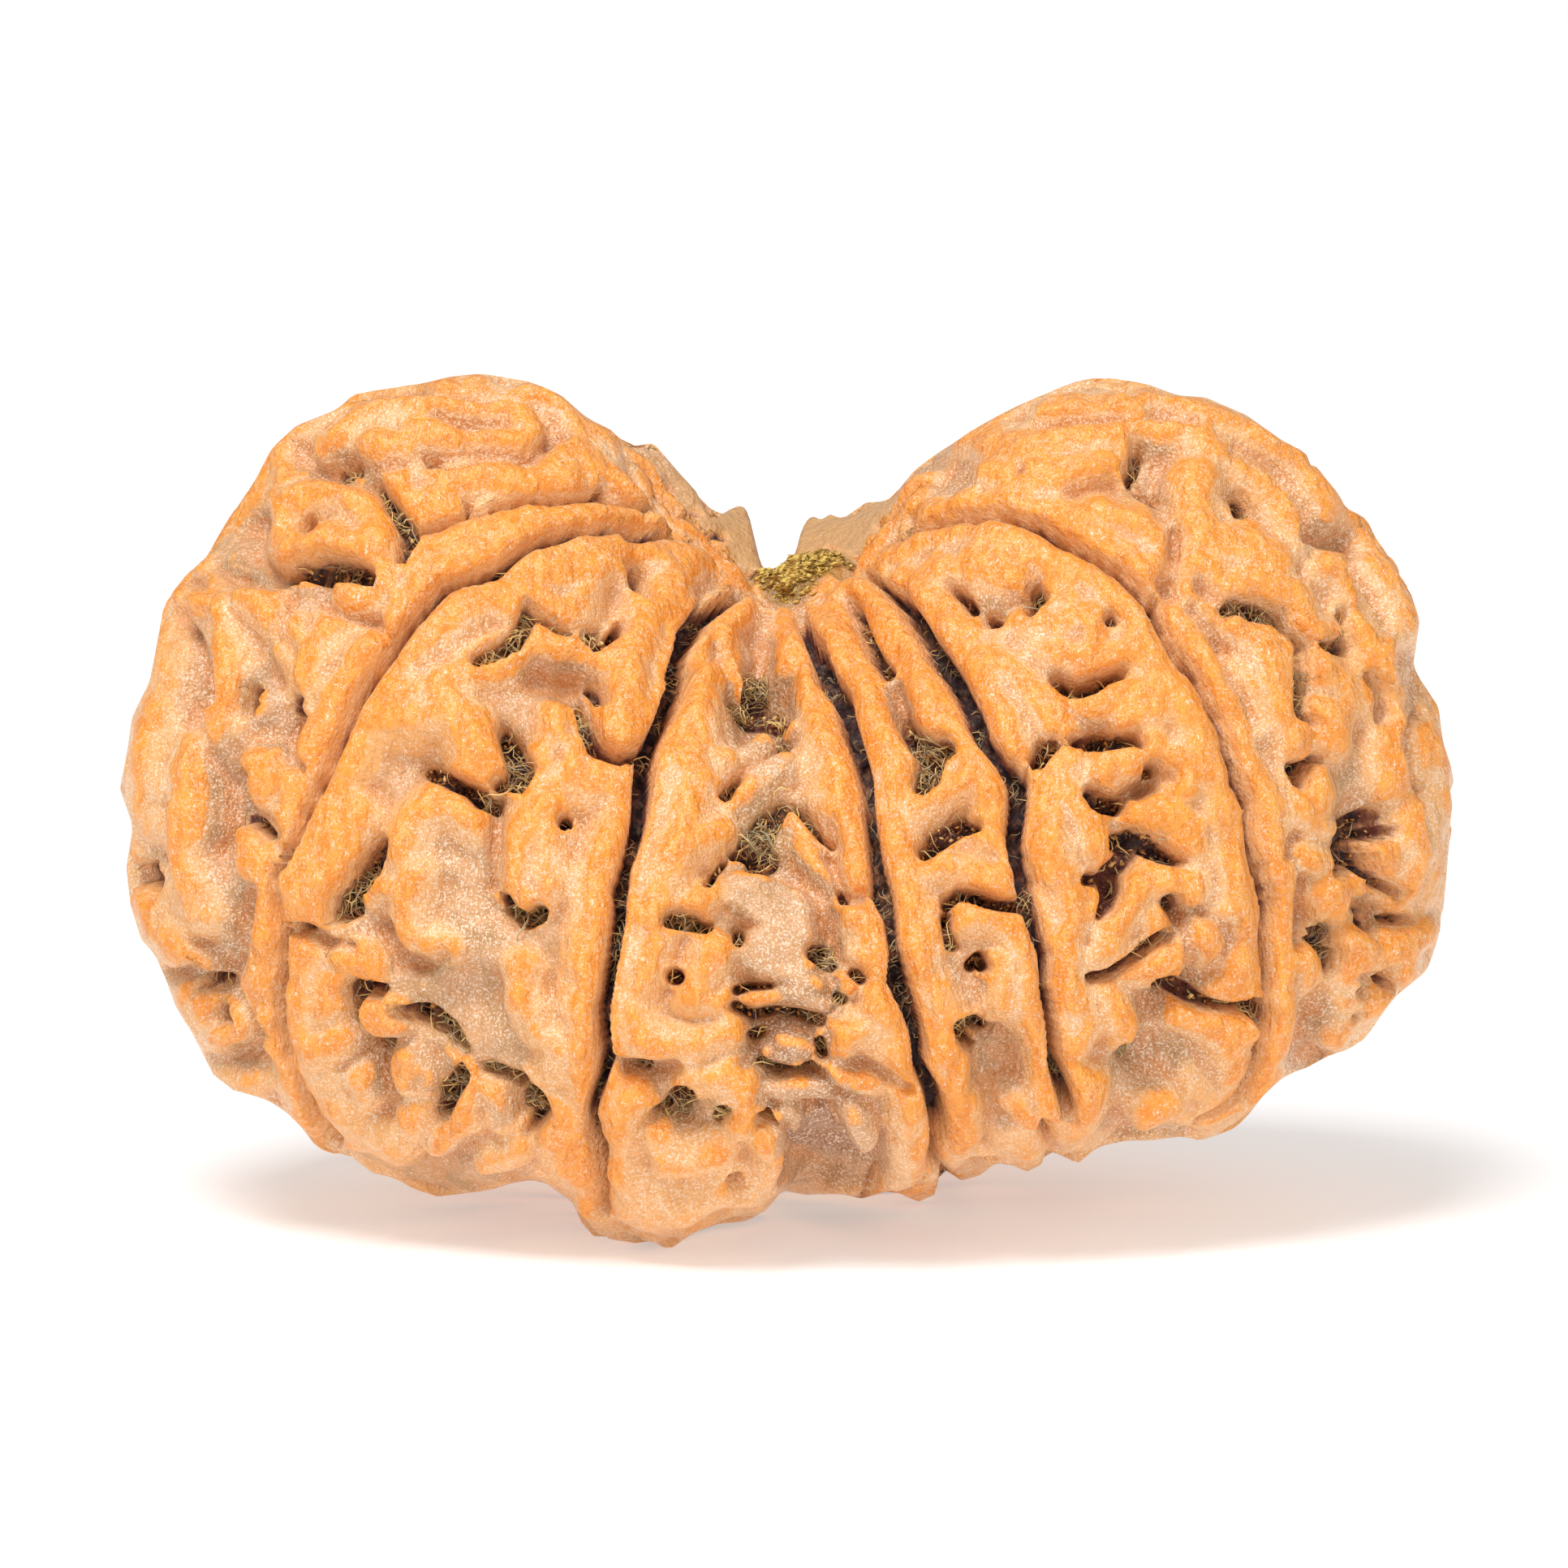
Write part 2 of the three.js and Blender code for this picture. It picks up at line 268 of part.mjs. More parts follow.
  [[-16, -2.6, 0.38], [-15.8, -3.4, 0.4], [-15.3, -4, 0.38], [-14.8, -4.5, 0.3]],
  [[-15, -5.3, 0.3], [-14.6, -6, 0.35]],
  [[-14.1, -6.35, 0.3], [-13.6, -6.2, 0.26]],
  [[-14.2, -7.2, 0.35], [-13.3, -7.6, 0.35]],
  [[-12.5, 7, 0.34], [-11.9, 7.35, 0.28], [-11.1, 7.3, 0.34], [-10.4, 7, 0.4], [-10.1, 6.4, 0.42],
    [-10.4, 6, 0.38], [-11.1, 6.2, 0.34], [-11.8, 6.05, 0.3], [-12.5, 5.9, 0.34], [-12.7, 6.5, 0.34],
    [-12.5, 7, 0.34]],
  [[-9.6, 7.6, 0.28], [-9.1, 7, 0.32], [-8.5, 7.2, 0.5]],
  [[-8.3, 7.8, 0.5], [-7.2, 7.9, 0.5], [-6.2, 7.6, 0.42], [-5.3, 7.8, 0.45]],
  [[-7.9, 8.15, 0.3], [-7.2, 8.25, 0.3]],
  [[-5.9, 8.1, 0.3], [-5.2, 8.3, 0.34], [-4.5, 7.95, 0.34], [-3.9, 7.45, 0.28], [-3.3, 6.95, 0.22]],
  [[-11.5, 8.7, 0.38], [-10.6, 9.1, 0.4], [-9.6, 9.35, 0.34], [-8.6, 9.45, 0.34], [-7.6, 9.45, 0.34],
    [-6.6, 9.35, 0.36], [-6.1, 8.95, 0.4], [-6.3, 8.55, 0.32], [-7.2, 8.75, 0.28], [-8.2, 8.65, 0.3],
    [-9.1, 8.75, 0.34]],
  [[-10.2, 8.5, 0.4], [-9.3, 8.3, 0.3]],
  [[-12.6, 7.9, 0.28], [-13, 7.3, 0.26]],
  [[-5.2, 9.2, 0.3], [-4.5, 8.8, 0.3], [-4, 8.2, 0.28]],
  [[-8.6, 9.95, 0.3], [-7.4, 9.95, 0.3], [-6.5, 9.7, 0.25]],
];
// Knobs and bridges inside the hollows, with how far they stay under the outer level
const KNOBS = [
  { under: 0.35, path: [[0.25, -0.95, 0.22], [0.5, -1.5, 0.28], [0.9, -2.1, 0.26],
    [1.25, -2.5, 0.15]] },
  { under: 0.25, path: [[-1.4, -0.6, 0.3], [-0.7, -0.1, 0.3], [0, 0.2, 0.3], [0.5, 0.4, 0.3]] },
  { under: 0.5, path: [[-0.9, 0.6, 0.3], [-0.5, 0.9, 0.3]] },
  { under: 0.15, path: [[-10, -5.5, 0.42], [-9.6, -5.6, 0.5], [-9.45, -5.7, 0.42]] },
  { under: 0.1, path: [[-9.1, -6.8, 0.46], [-8.95, -7.1, 0.52]] },
  { under: 0.1, path: [[-7.2, -7.4, 0.3], [-7, -8, 0.42], [-6.85, -8.4, 0.32]] },
  { under: 0.7, path: [[0, -6.5, 0.36], [0.35, -6.65, 0.42], [-0.4, -6.6, 0.22]] },
  { under: 0.6, path: [[-0.35, -7.65, 0.22], [0.4, -7.6, 0.26], [1.1, -7.6, 0.26]] },
  { under: 0.6, path: [[0.1, -8.25, 0.34]] },
  { under: 0.2, path: [[1.65, -7.95, 0.24], [2, -8.5, 0.28]] },
  { under: 0.45, path: [[-1.1, -2.6, 0.5], [0, -3.2, 0.7], [0.2, -4.3, 0.6], [-0.7, -4.2, 0.5]] },
  { under: 0.6, path: [[-0.7, -5.3, 0.25], [0.2, -5.2, 0.28], [1, -5.4, 0.25]] },
  { under: 0.45, path: [[0.3, -4.7, 0.22], [0.8, -4.9, 0.2]] },
];
// Soft hollows between the ridges, with how much deeper they go than the valleys
const HOLLOWS = [
  { under: 0.55, path: [[-5.9, 2.9, 0.5], [-5.2, 2.6, 0.7], [-4.9, 1.9, 0.5], [-4.7, 1.2, 0.5],
    [-4.2, 0.8, 0.4]] },
  { under: 0.7, path: [[-0.6, 3.2, 0.5], [-0.6, 2.2, 0.8], [-0.3, 1.4, 0.7]] },
  { under: 0.35, path: [[0, -3, 1.3], [0.1, -4.4, 1.3]] },
  { under: 0.9, path: [[0.2, -6.2, 1.2], [0.5, -7.5, 1.3], [0.9, -9, 1.4]] },
  { under: 0.45, path: [[-13.4, 2.3, 0.6]] },
  { under: 0.35, path: [[-12.5, 1.2, 0.6]] },
  { under: 0.35, path: [[-14, 0.6, 0.6], [-13.9, -0.8, 0.7], [-14, -1.8, 0.6]] },
  { under: 0.3, path: [[-14.9, 2.5, 0.6]] },
  { under: 0.4, path: [[-14.2, -4.3, 0.5], [-14.3, -5, 0.6]] },
  { under: 0.5, path: [[-13.4, -6.9, 0.6]] },
  { under: 0.4, path: [[-7.9, -4.9, 0.5], [-7.2, -5, 0.5]] },
  { under: 0.5, path: [[-10.3, -6.5, 0.7], [-9.9, -7.4, 0.7]] },
  { under: 0.5, path: [[-8.2, -9.2, 0.5], [-7.2, -9, 0.4]] },
  { under: 0.5, path: [[2.8, 2.3, 0.35], [3.1, 1.7, 0.5]] },
  { under: 0.45, path: [[4.9, -6.5, 0.6], [5.3, -7.2, 0.6]] },
  { under: 0.5, path: [[5.4, -8.5, 0.5]] },
  { under: 0.4, path: [[4.9, -4.8, 0.35]] },
  { under: 0.4, path: [[6, 4.7, 0.5]] },
  { under: 0.5, path: [[6.9, 2.6, 0.5], [7.8, 2.5, 0.4]] },
  { under: 0.4, path: [[7.2, 1.9, 0.4]] },
  { under: 0.4, path: [[8.7, 0.1, 0.5], [8.4, -0.5, 0.5]] },
  { under: 0.45, path: [[8.9, -6.7, 0.6]] },
  { under: 0.4, path: [[8.5, -8.2, 0.5]] },
  { under: 0.35, path: [[9.6, -3, 0.5]] },
  { under: 0.4, path: [[9.2, -5.4, 0.6], [10, -5.3, 0.5]] },
  { under: 0.4, path: [[9.3, 7.9, 0.5], [9.5, 7.3, 0.4]] },
  { under: 0.3, path: [[13.4, 6.2, 0.5]] },
  { under: 0.6, path: [[13.4, -6, 0.7], [13, -6.6, 0.5]] },
  { under: 0.4, path: [[12.9, 2.6, 0.5]] },
  { under: 0.5, path: [[14.3, -1, 0.7], [14.2, -1.8, 0.6]] },
  { under: 0.4, path: [[14.5, -3.1, 0.4]] },
  { under: 0.3, path: [[-7.7, 9.1, 0.5]] },
  { under: 0.4, path: [[-5.4, 8.6, 0.4]] },
  { under: 0.4, path: [[-11, 7.9, 0.5]] },
  { under: 0.5, path: [[-11.3, 5.4, 0.6]] },
  { under: 0.3, path: [[-1.1, -9.9, 0.4]] },
  { under: 0.4, path: [[-2.7, -8.3, 0.5]] },
];
// Steep pits and slits
const PITS = [
  [[-8.75, 0.3, 0.18], [-8.3, 0.1, 0.18], [-7.9, -0.05, 0.15], [-7.5, -0.3, 0.24], [-7.2, -0.5, 0.14]],
  [[-6.95, 1.3, 0.14], [-6.7, 0.9, 0.26], [-6.45, 0.5, 0.34], [-6.6, 0.2, 0.3], [-7.1, 0.05, 0.1]],
  [[-6.1, -3.15, 0.22], [-6.4, -3.35, 0.18], [-6.75, -3.1, 0.1], [-6.95, -2.7, 0.08]],
  [[-9.95, -1.4, 0.12], [-10.25, -1.9, 0.22], [-10.6, -2.4, 0.22], [-10.9, -2.9, 0.24],
    [-11, -3.2, 0.22], [-10.6, -3.1, 0.16]],
  [[-5.45, -0.85, 0.17]],
  [[-5.05, 1.9, 0.15], [-4.9, 1.4, 0.2], [-4.6, 0.9, 0.18], [-4.2, 0.7, 0.12]],
  [[-4.6, 2.5, 0.2], [-4.5, 2.2, 0.15]],
  [[-6.95, 4.35, 0.12], [-6.6, 4.15, 0.18], [-6.3, 4.4, 0.1]],
  [[-4.75, 3.8, 0.14], [-4.5, 3.6, 0.16], [-4.2, 3.8, 0.1], [-3.9, 4.05, 0.12]],
  [[-10.65, -5.15, 0.28], [-10.6, -5.5, 0.2], [-10.3, -5.8, 0.12]],
  [[-9.3, -5.5, 0.12], [-8.8, -5.75, 0.24], [-8.4, -6.05, 0.22], [-7.95, -6.45, 0.14]],
  [[-9.9, -6.4, 0.16], [-9.7, -6.6, 0.1]],
  [[-8.05, -7.2, 0.18], [-8.3, -7.6, 0.2], [-8.45, -8.1, 0.18], [-8.5, -8.4, 0.1]],
  [[-6.2, -7.7, 0.22], [-6.05, -8.2, 0.24], [-6.3, -8.7, 0.14]],
  [[-1.1, 2.2, 0.16], [-0.7, 2, 0.26], [-0.2, 2, 0.26], [0.05, 1.7, 0.12]],
  [[-0.6, 2.7, 0.25], [-0.55, 2.3, 0.3]],
  [[0, -0.55, 0.2], [-0.4, -0.9, 0.26], [-0.7, -1.4, 0.34], [-1.2, -1.5, 0.18], [-0.4, -1.7, 0.26],
    [-0.7, -2, 0.2]],
  [[-2.75, -3.3, 0.2], [-2.35, -3.35, 0.24], [-1.9, -3.5, 0.14]],
  [[-2.75, -4.75, 0.2]],
  [[-3.55, -7.03, 0.18]],
  [[-2.55, -7.75, 0.26], [-2.75, -8.1, 0.26], [-3.1, -8.15, 0.16]],
  [[-1.55, -8.2, 0.18]],
  [[0.85, -4.1, 0.26], [1.15, -4.4, 0.14]],
  [[-0.85, -6.3, 0.16], [-0.6, -6.15, 0.1]],
  [[-0.5, -8.4, 0.18], [-0.3, -8.6, 0.1]],
  [[2.95, 1.6, 0.18], [3.25, 1.15, 0.28], [3.6, 0.8, 0.34], [3.45, 0.35, 0.3], [3.3, 0.1, 0.2]],
  [[3.9, 1.1, 0.18], [4, 0.9, 0.14]],
  [[3.55, -1.5, 0.22], [3.9, -1.25, 0.26], [4.35, -0.95, 0.26], [4.75, -0.95, 0.14]],
  [[4.65, -4.45, 0.16], [4.85, -4.25, 0.16], [4.95, -4.5, 0.14]],
  [[4.35, -6.05, 0.16], [4.7, -5.95, 0.18], [5, -6.1, 0.1]],
  [[4.4, -6.3, 0.16], [4.6, -6.6, 0.12]],
  [[6.2, 0.65, 0.18], [6.45, 0.95, 0.2], [6.65, 1.1, 0.14]],
  [[6.15, 4.9, 0.14], [6.3, 4.6, 0.2], [6.1, 4.35, 0.14]],
  [[6.7, 2.65, 0.12], [7.1, 2.4, 0.2], [7.5, 2.5, 0.2], [7.9, 2.75, 0.1], [8.3, 2.85, 0.14]],
  [[7.2, 1.15, 0.14], [7.6, 1.05, 0.22], [8.1, 1.05, 0.22], [8.6, 1.1, 0.18], [8.85, 1, 0.1]],
  [[7.6, -0.2, 0.16], [7.85, -0.35, 0.22], [8.2, -0.45, 0.16]],
  [[8.3, -1.4, 0.22], [8.7, -1.3, 0.2], [9.1, -1.5, 0.2], [9.5, -1.75, 0.16], [9.8, -1.95, 0.08]],
  [[8.6, -1.8, 0.22], [8.3, -2.1, 0.2]],
  [[8.1, -2.2, 0.2], [8.1, -2.6, 0.24], [8.15, -2.95, 0.16], [7.95, -3.2, 0.07]],
  [[9.7, -2.95, 0.19]],
  [[7.7, -4.85, 0.1], [8.1, -4.75, 0.1], [8.6, -4.4, 0.15], [9, -4.05, 0.16], [9.4, -3.75, 0.1]],
  [[9.3, -5, 0.12], [9.75, -5.05, 0.2], [10.15, -5.3, 0.22], [10.6, -5.55, 0.14], [11.1, -5.6, 0.08],
    [11.5, -5.6, 0.16], [11.7, -5.95, 0.14]],
  [[11.1, 4.45, 0.16], [11.6, 4.35, 0.2], [12.1, 4.2, 0.18], [12.4, 3.8, 0.15], [12.65, 3.4, 0.2],
    [12.7, 2.9, 0.2], [12.6, 2.3, 0.16], [12.65, 1.8, 0.12], [12.9, 1.5, 0.08]],
  [[14.45, 2.7, 0.12], [14.65, 2.3, 0.16], [14.7, 1.8, 0.18]],
  [[12.55, 0.35, 0.16], [12.65, 0.05, 0.14], [12.9, 0.6, 0.08]],
  [[14.5, -0.8, 0.18], [14.2, -1.1, 0.28], [13.85, -1.2, 0.22], [13.85, -1.7, 0.24], [14.15, -1.9, 0.2],
    [14.4, -2.2, 0.14], [14.75, -2.5, 0.1], [15.2, -2.68, 0.06]],
  [[14.65, -1.25, 0.16], [14.85, -1.2, 0.1]],
  [[13.3, -3.75, 0.24], [13.4, -4.1, 0.15], [13.45, -4.5, 0.12]],
  [[-12.2, 5.2, 0.1], [-11.8, 5.35, 0.17], [-11.3, 5.35, 0.24], [-10.8, 5.25, 0.22],
    [-10.4, 5.2, 0.16]],
  [[-9.95, 7.3, 0.08], [-9.7, 6.9, 0.12], [-9.45, 6.45, 0.16], [-9.5, 6, 0.1], [-9.5, 5.8, 0.09]],
  [[-15.7, -2.3, 0.2], [-15.5, -2.5, 0.18]],
];
// The seed's rim as seen from the front, [across, up] from the saddle leftwards
const RIM = [
  [-0.15, 5.2], [-0.55, 5.25], [-0.7, 5.6], [-0.75, 6.3], [-0.98, 6.9], [-1.3, 6.75], [-1.8, 6.42],
  [-2.15, 7.2],
  [-2.6, 7.7], [-3.2, 8.4], [-3.9, 8.3], [-4.2, 8.7], [-4.9, 9.05], [-5.5, 9.6], [-6.2, 9.9],
  [-7, 10.05],
  [-7.5, 10.12], [-8.2, 10.05], [-8.9, 9.88], [-10, 9.72], [-10.6, 9.6], [-11, 9.25], [-12, 8.85],
  [-12.55, 8.35],
  [-12.95, 7.6], [-13.55, 6.75], [-13.8, 6.35], [-14.2, 5.64], [-14.8, 5.1], [-15.25, 4.5],
  [-15.4, 3.6],
  [-15.6, 2.6], [-16.05, 1.7], [-16.15, 1], [-16.35, 0], [-16.03, -0.9], [-16.2, -2], [-16.1, -2.9],
  [-15.85, -3.7],
  [-15.5, -4.1], [-15.25, -4.7], [-15, -5.4], [-14.65, -5.95], [-14.1, -7.05], [-13.6, -7.45],
  [-12.8, -7.66],
  [-12.3, -8], [-11.9, -8.4], [-11.6, -8.85], [-11.2, -9.05], [-10.9, -8.97], [-10.2, -9.5],
  [-9.6, -9.65],
  [-9.2, -9.9], [-8.6, -10.1], [-8, -10.03], [-7.3, -9.95], [-6.6, -9.72], [-6.05, -9.68],
  [-5.7, -9.95],
  [-5.2, -10.3], [-5, -10.8], [-4.7, -11.15], [-3.8, -11.27], [-3.35, -11.47], [-2.8, -11.4],
  [-2.4, -11.1],
  [-1.8, -10.85], [-1, -10.77], [-0.5, -10.5], [-0.1, -10], [0.5, -10.12], [1.4, -10.1], [1.9, -10.22],
  [2.65, -10], [3.3, -10.3], [3.65, -10.15], [3.75, -9.8], [3.8, -9.3], [3.85, -9.05], [4.2, -9.7],
  [4.4, -9.77],
  [4.8, -9.65], [5.3, -9.28], [6, -9.55], [6.3, -9.4], [6.45, -8.9], [7, -9.25], [7.25, -9.35],
  [7.7, -8.95],
  [8.6, -8.75], [9, -8.8], [9.85, -8.68], [10.3, -8.8], [11.1, -8.5], [11.45, -8.15], [11.8, -7.7],
  [12.4, -7.15],
  [12.9, -7], [13.4, -6.7], [13.9, -6.55], [14.3, -6.3], [14.6, -5.9], [15.1, -5.2], [15.5, -4.9],
  [15.85, -4.6],
  [16.2, -3.7], [16.3, -2.6], [16.4, -1.6], [16.6, -0.45], [16.5, 0.2], [16.25, 1], [16.15, 1.8],
  [15.7, 2.5],
  [15.5, 2.85], [15.68, 4], [15.5, 4.6], [15.3, 5.2], [14.9, 5.8], [14.5, 6.4], [13.9, 6.7],
  [13.7, 7.1],
  [13.3, 7.6], [13, 8.05], [12.4, 8.35], [11.5, 9], [10.5, 9.44], [9.8, 9.5], [9, 9.8], [8.2, 9.93],
  [7.7, 9.94],
  [7.2, 9.83], [6, 9.35], [5, 8.85], [4, 8.2], [3.35, 7.75], [3, 7.35], [2.8, 6.95], [2.1, 6.92],
  [1.5, 6.5],
  [1.1, 6.67], [0.7, 6.58], [0.5, 6.25], [0.4, 5.75], [0.2, 5.4],
];

// Outline of each end in [distance from the stem axis, height]
const LEFT_OUTLINE = [
  [0, STEM_HEIGHT], [1, 5], [2, 6], [3.3, 7.4], [4.6, 8.6], [6.2, 9.6], [7.6, 10], [9.2, 9.85],
  [10.8, 9.4], [12.3, 8.4],
  [13.5, 6.9], [14.5, 5.4], [15.4, 3.6], [15.95, 1.6], [16.2, 0], [16.05, -2.2], [15.5, -4.2],
  [14.4, -6.2],
  [12.7, -7.9], [10.4, -9.3], [8, -10.1], [5.4, -10.7], [2.6, -11.15], [0, UNDERSIDE],
];
const RIGHT_OUTLINE = [
  [0, STEM_HEIGHT], [1, 5], [2, 5.9], [3.3, 7.2], [4.6, 8.2], [6.1, 9.25], [7.7, 9.8], [9.3, 9.7],
  [10.8, 9.25], [12.4, 8.2],
  [13.8, 6.8], [15, 5.2], [15.75, 3.6], [16.15, 1.8], [16.45, -0.2], [16.35, -2], [16, -3.7],
  [15.1, -5.3],
  [13.6, -6.7], [11.6, -8], [9.2, -9.1], [6.2, -10.45], [3.2, -11.2], [0, UNDERSIDE],
];

const FRONT_OUTLINE = [
  [0, STEM_HEIGHT], [1.3, 4.95], [2.7, 4.65], [4.3, 3.9], [6.1, 2.7], [7.9, 1.1], [9.4, -0.9],
  [10.3, -3], [10.5, -5.1],
  [9.9, -7.3], [8.3, -9.3], [6, -10.5], [3, -11.15], [0, UNDERSIDE],
];
const BACK_OUTLINE = [
  [0, STEM_HEIGHT], [1.4, 5.7], [3, 6.4], [4.7, 5.95], [6.5, 4.5], [8.2, 2.4], [9.5, -0.2],
  [10.2, -2.8], [10.1, -5.4],
  [9.1, -7.8], [7.3, -9.95], [4.7, -11.05], [2.2, -11.25], [0, UNDERSIDE],
];

/** A smooth curve through outline points, read by its share of the length. */
function smoothOutline(points) {
  const knots = points.map(([out, up]) => new THREE.Vector3(out, 0, up));
  const curve = new THREE.CatmullRomCurve3(knots, false, "centripetal");
  const samples = curve.getSpacedPoints(400);
  return (share) => {
    const place = THREE.MathUtils.clamp(share, 0, 1) * (samples.length - 1);
    const index = Math.min(Math.floor(place), samples.length - 2);
    const rest = place - index;
    return [
      samples[index].x * (1 - rest) + samples[index + 1].x * rest,
      samples[index].z * (1 - rest) + samples[index + 1].z * rest,
    ];
  };
}

const outlines = {
  left: smoothOutline(LEFT_OUTLINE),
  right: smoothOutline(RIGHT_OUTLINE),
  front: smoothOutline(FRONT_OUTLINE),
  back: smoothOutline(BACK_OUTLINE),
};

const sight = new THREE.Vector3(0, Math.cos(SIGHT_ELEVATION), -Math.sin(SIGHT_ELEVATION));
const sheetUp = new THREE.Vector3(0, Math.sin(SIGHT_ELEVATION), Math.cos(SIGHT_ELEVATION));

/** Smooth step from 0 to 1. */
function ease(value) {
  const x = THREE.MathUtils.clamp(value, 0, 1);
  return x * x * (3 - 2 * x);
}

/** Point of the bean for a direction on the unit sphere, from the four outlines alone. */
function plainPoint(direction, target) {
  const level = Math.hypot(direction.x, direction.y);
  const share = Math.atan2(level, direction.z) / Math.PI;
  const across = level > 1e-9 ? direction.x / level : 0;
  const towards = level > 1e-9 ? -direction.y / level : 1;
  const [endOut, endUp] = (across < 0 ? outlines.left : outlines.right)(share);
  const [depthOut, depthUp] = (towards < 0 ? outlines.back : outlines.front)(share);
  const out = 1 / Math.hypot(across / Math.max(endOut, 1e-6), towards / Math.max(depthOut, 1e-6));
  const tilt = UNDERSIDE_TILT * Math.max(out * across, 0) * towards * towards * ease((share - 0.6) / 0.35);
  const up = endUp * across * across + depthUp * towards * towards + tilt;
  return target.set(out * across, -out * towards, up);
}

/** Unit direction at a share of the way down and an azimuth in degrees from the front, by the right. */
function directionAt(share, azimuth) {
  const polar = Math.PI * share;
  const turn = THREE.MathUtils.degToRad(azimuth);
  return new THREE.Vector3(
    Math.sin(polar) * Math.sin(turn), -Math.sin(polar) * Math.cos(turn), Math.cos(polar));
}

/** Spot where a point shows on the sight sheet. */
function spotOf(point) {
  const scale = SIGHT_DISTANCE / (SIGHT_DISTANCE + point.dot(sight));
  return [point.x * scale, point.dot(sheetUp) * scale];
}

/** How far a spot lies from the middle of the rim, and its place in a table of turns. */
function polarOf([across, up]) {
  const right = across - RIM_FIT.across;
  const over = up - RIM_FIT.up;
  const turn = Math.atan2(right, over) / (2 * Math.PI);
  return [Math.hypot(right, over), (turn - Math.floor(turn)) * RIM_FIT.turns];
}

/** Farthest distance of the spots in each turn. */
function reachOf(spots) {
  const table = new Array(RIM_FIT.turns).fill(0);
  for (const spot of spots) {
    const [distance, place] = polarOf(spot);
    const turn = Math.floor(place) % RIM_FIT.turns;
    table[turn] = Math.max(table[turn], distance);
  }
  const beside = (turn) => Math.max(tableAt(table, turn - 1), tableAt(table, turn + 1));
  return table.map((value, turn) => (value > 0 ? value : beside(turn)));
}

/** Entry of a table of turns, which joins up with itself. */
function tableAt(table, turn) {
  return table[(turn + table.length) % table.length];
}

/** Table of turns averaged with its neighbours again and again. */
function smoothTurns(table, passes) {
  let smooth = table;
  for (let pass = 0; pass < passes; pass += 1) {
    const last = smooth;
    smooth = last.map((value, turn) => (tableAt(last, turn - 1) + value + tableAt(last, turn + 1)) / 3);
  }
  return smooth;
}

/** Value of a table of turns between its entries. */
function readTurn(table, place) {
  const turn = Math.floor(place);
  const rest = place - turn;
  return tableAt(table, turn) * (1 - rest) + tableAt(table, turn + 1) * rest;
}

/** The drawn rim's distance in each turn. */
function drawnRim() {
  const spots = [];
  const steps = 24;
  RIM.forEach((from, index) => {
    const to = RIM[(index + 1) % RIM.length];
    for (let step = 0; step < steps; step += 1) {
      spots.push([from[0] + (to[0] - from[0]) * step / steps, from[1] + (to[1] - from[1]) * step / steps]);
    }
  });
  return reachOf(spots);
}

/** The plain bean's own distance in each turn. */
function plainRim() {
  const spots = [];
  for (let row = 0; row <= 240; row += 1) {
    for (let column = 0; column < 720; column += 1) {
      spots.push(spotOf(plainPoint(directionAt(row / 240, column / 2), new THREE.Vector3())));
    }
  }
  return smoothTurns(reachOf(spots), 4);
}

const rimDrawn = drawnRim();
const rimCrests = smoothTurns(rimDrawn.map((_, turn) => {
  let highest = 0;
  for (let shift = -RIM_FIT.crestWindow; shift <= RIM_FIT.crestWindow; shift += 1) {
    highest = Math.max(highest, tableAt(rimDrawn, turn + shift));
  }
  return highest;
}), RIM_FIT.smoothing);
const rimPlain = plainRim();

/** Scales a point about the middle of the rim, along the sheet. */
function scaleOnSheet(point, [across, up], factor) {
  point.x += (across - RIM_FIT.across) * (factor - 1);
  return point.addScaledVector(sheetUp, (up - RIM_FIT.up) * (factor - 1));
}

/** Point of the smooth bean for a direction, with its rim fitted to the crests of the drawn rim. */
function basePoint(direction, target) {
  plainPoint(direction, target);
  const spot = spotOf(target);
  const [distance, place] = polarOf(spot);
  const own = readTurn(rimPlain, place);
  const kept = ease((FAR_UNDERSIDE.below - target.z) / FAR_UNDERSIDE.fade)
    * ease((target.y - FAR_UNDERSIDE.behind) / FAR_UNDERSIDE.width);
  const share = ease((distance / own - RIM_FIT.calm) / (1 - RIM_FIT.calm)) * (1 - kept);
  return scaleOnSheet(target, spot, 1 + (readTurn(rimCrests, place) / own - 1) * share);
}

/** Draws in a point that stands out past the drawn rim. */
function trimToRim(point) {
  const spot = spotOf(point);
  const [distance, place] = polarOf(spot);
  const over = distance - readTurn(rimDrawn, place) + RIM_FIT.slack;
  if (over > 0) {
    const kept = RIM_FIT.slack * (1 - Math.exp(-over / RIM_FIT.slack));
    scaleOnSheet(point, spot, (distance - over + kept) / distance);
  }
  return point;
}

const sideways = new THREE.Vector3();
const upwards = new THREE.Vector3();
const corners = [0, 1, 2, 3].map(() => new THREE.Vector3());
const probe = new THREE.Vector3();

/** Outward normal of the smooth bean, from four nearby points. */
function baseNormal(direction, target) {
  sideways.set(-direction.y, direction.x, 0);
  if (sideways.lengthSq() < 1e-6) {
    sideways.set(1, 0, 0);
  }
  sideways.normalize();
  upwards.crossVectors(direction, sideways).normalize();
  const ways = [[1, 0], [-1, 0], [0, 1], [0, -1]];
  ways.forEach(([a, b], index) => {
    probe.copy(direction).addScaledVector(sideways, a * NORMAL_STEP);
    probe.addScaledVector(upwards, b * NORMAL_STEP);
    basePoint(probe.normalize(), corners[index]);
  });
  corners[0].sub(corners[1]);
  corners[2].sub(corners[3]);
  return target.crossVectors(corners[0], corners[2]).normalize();
}

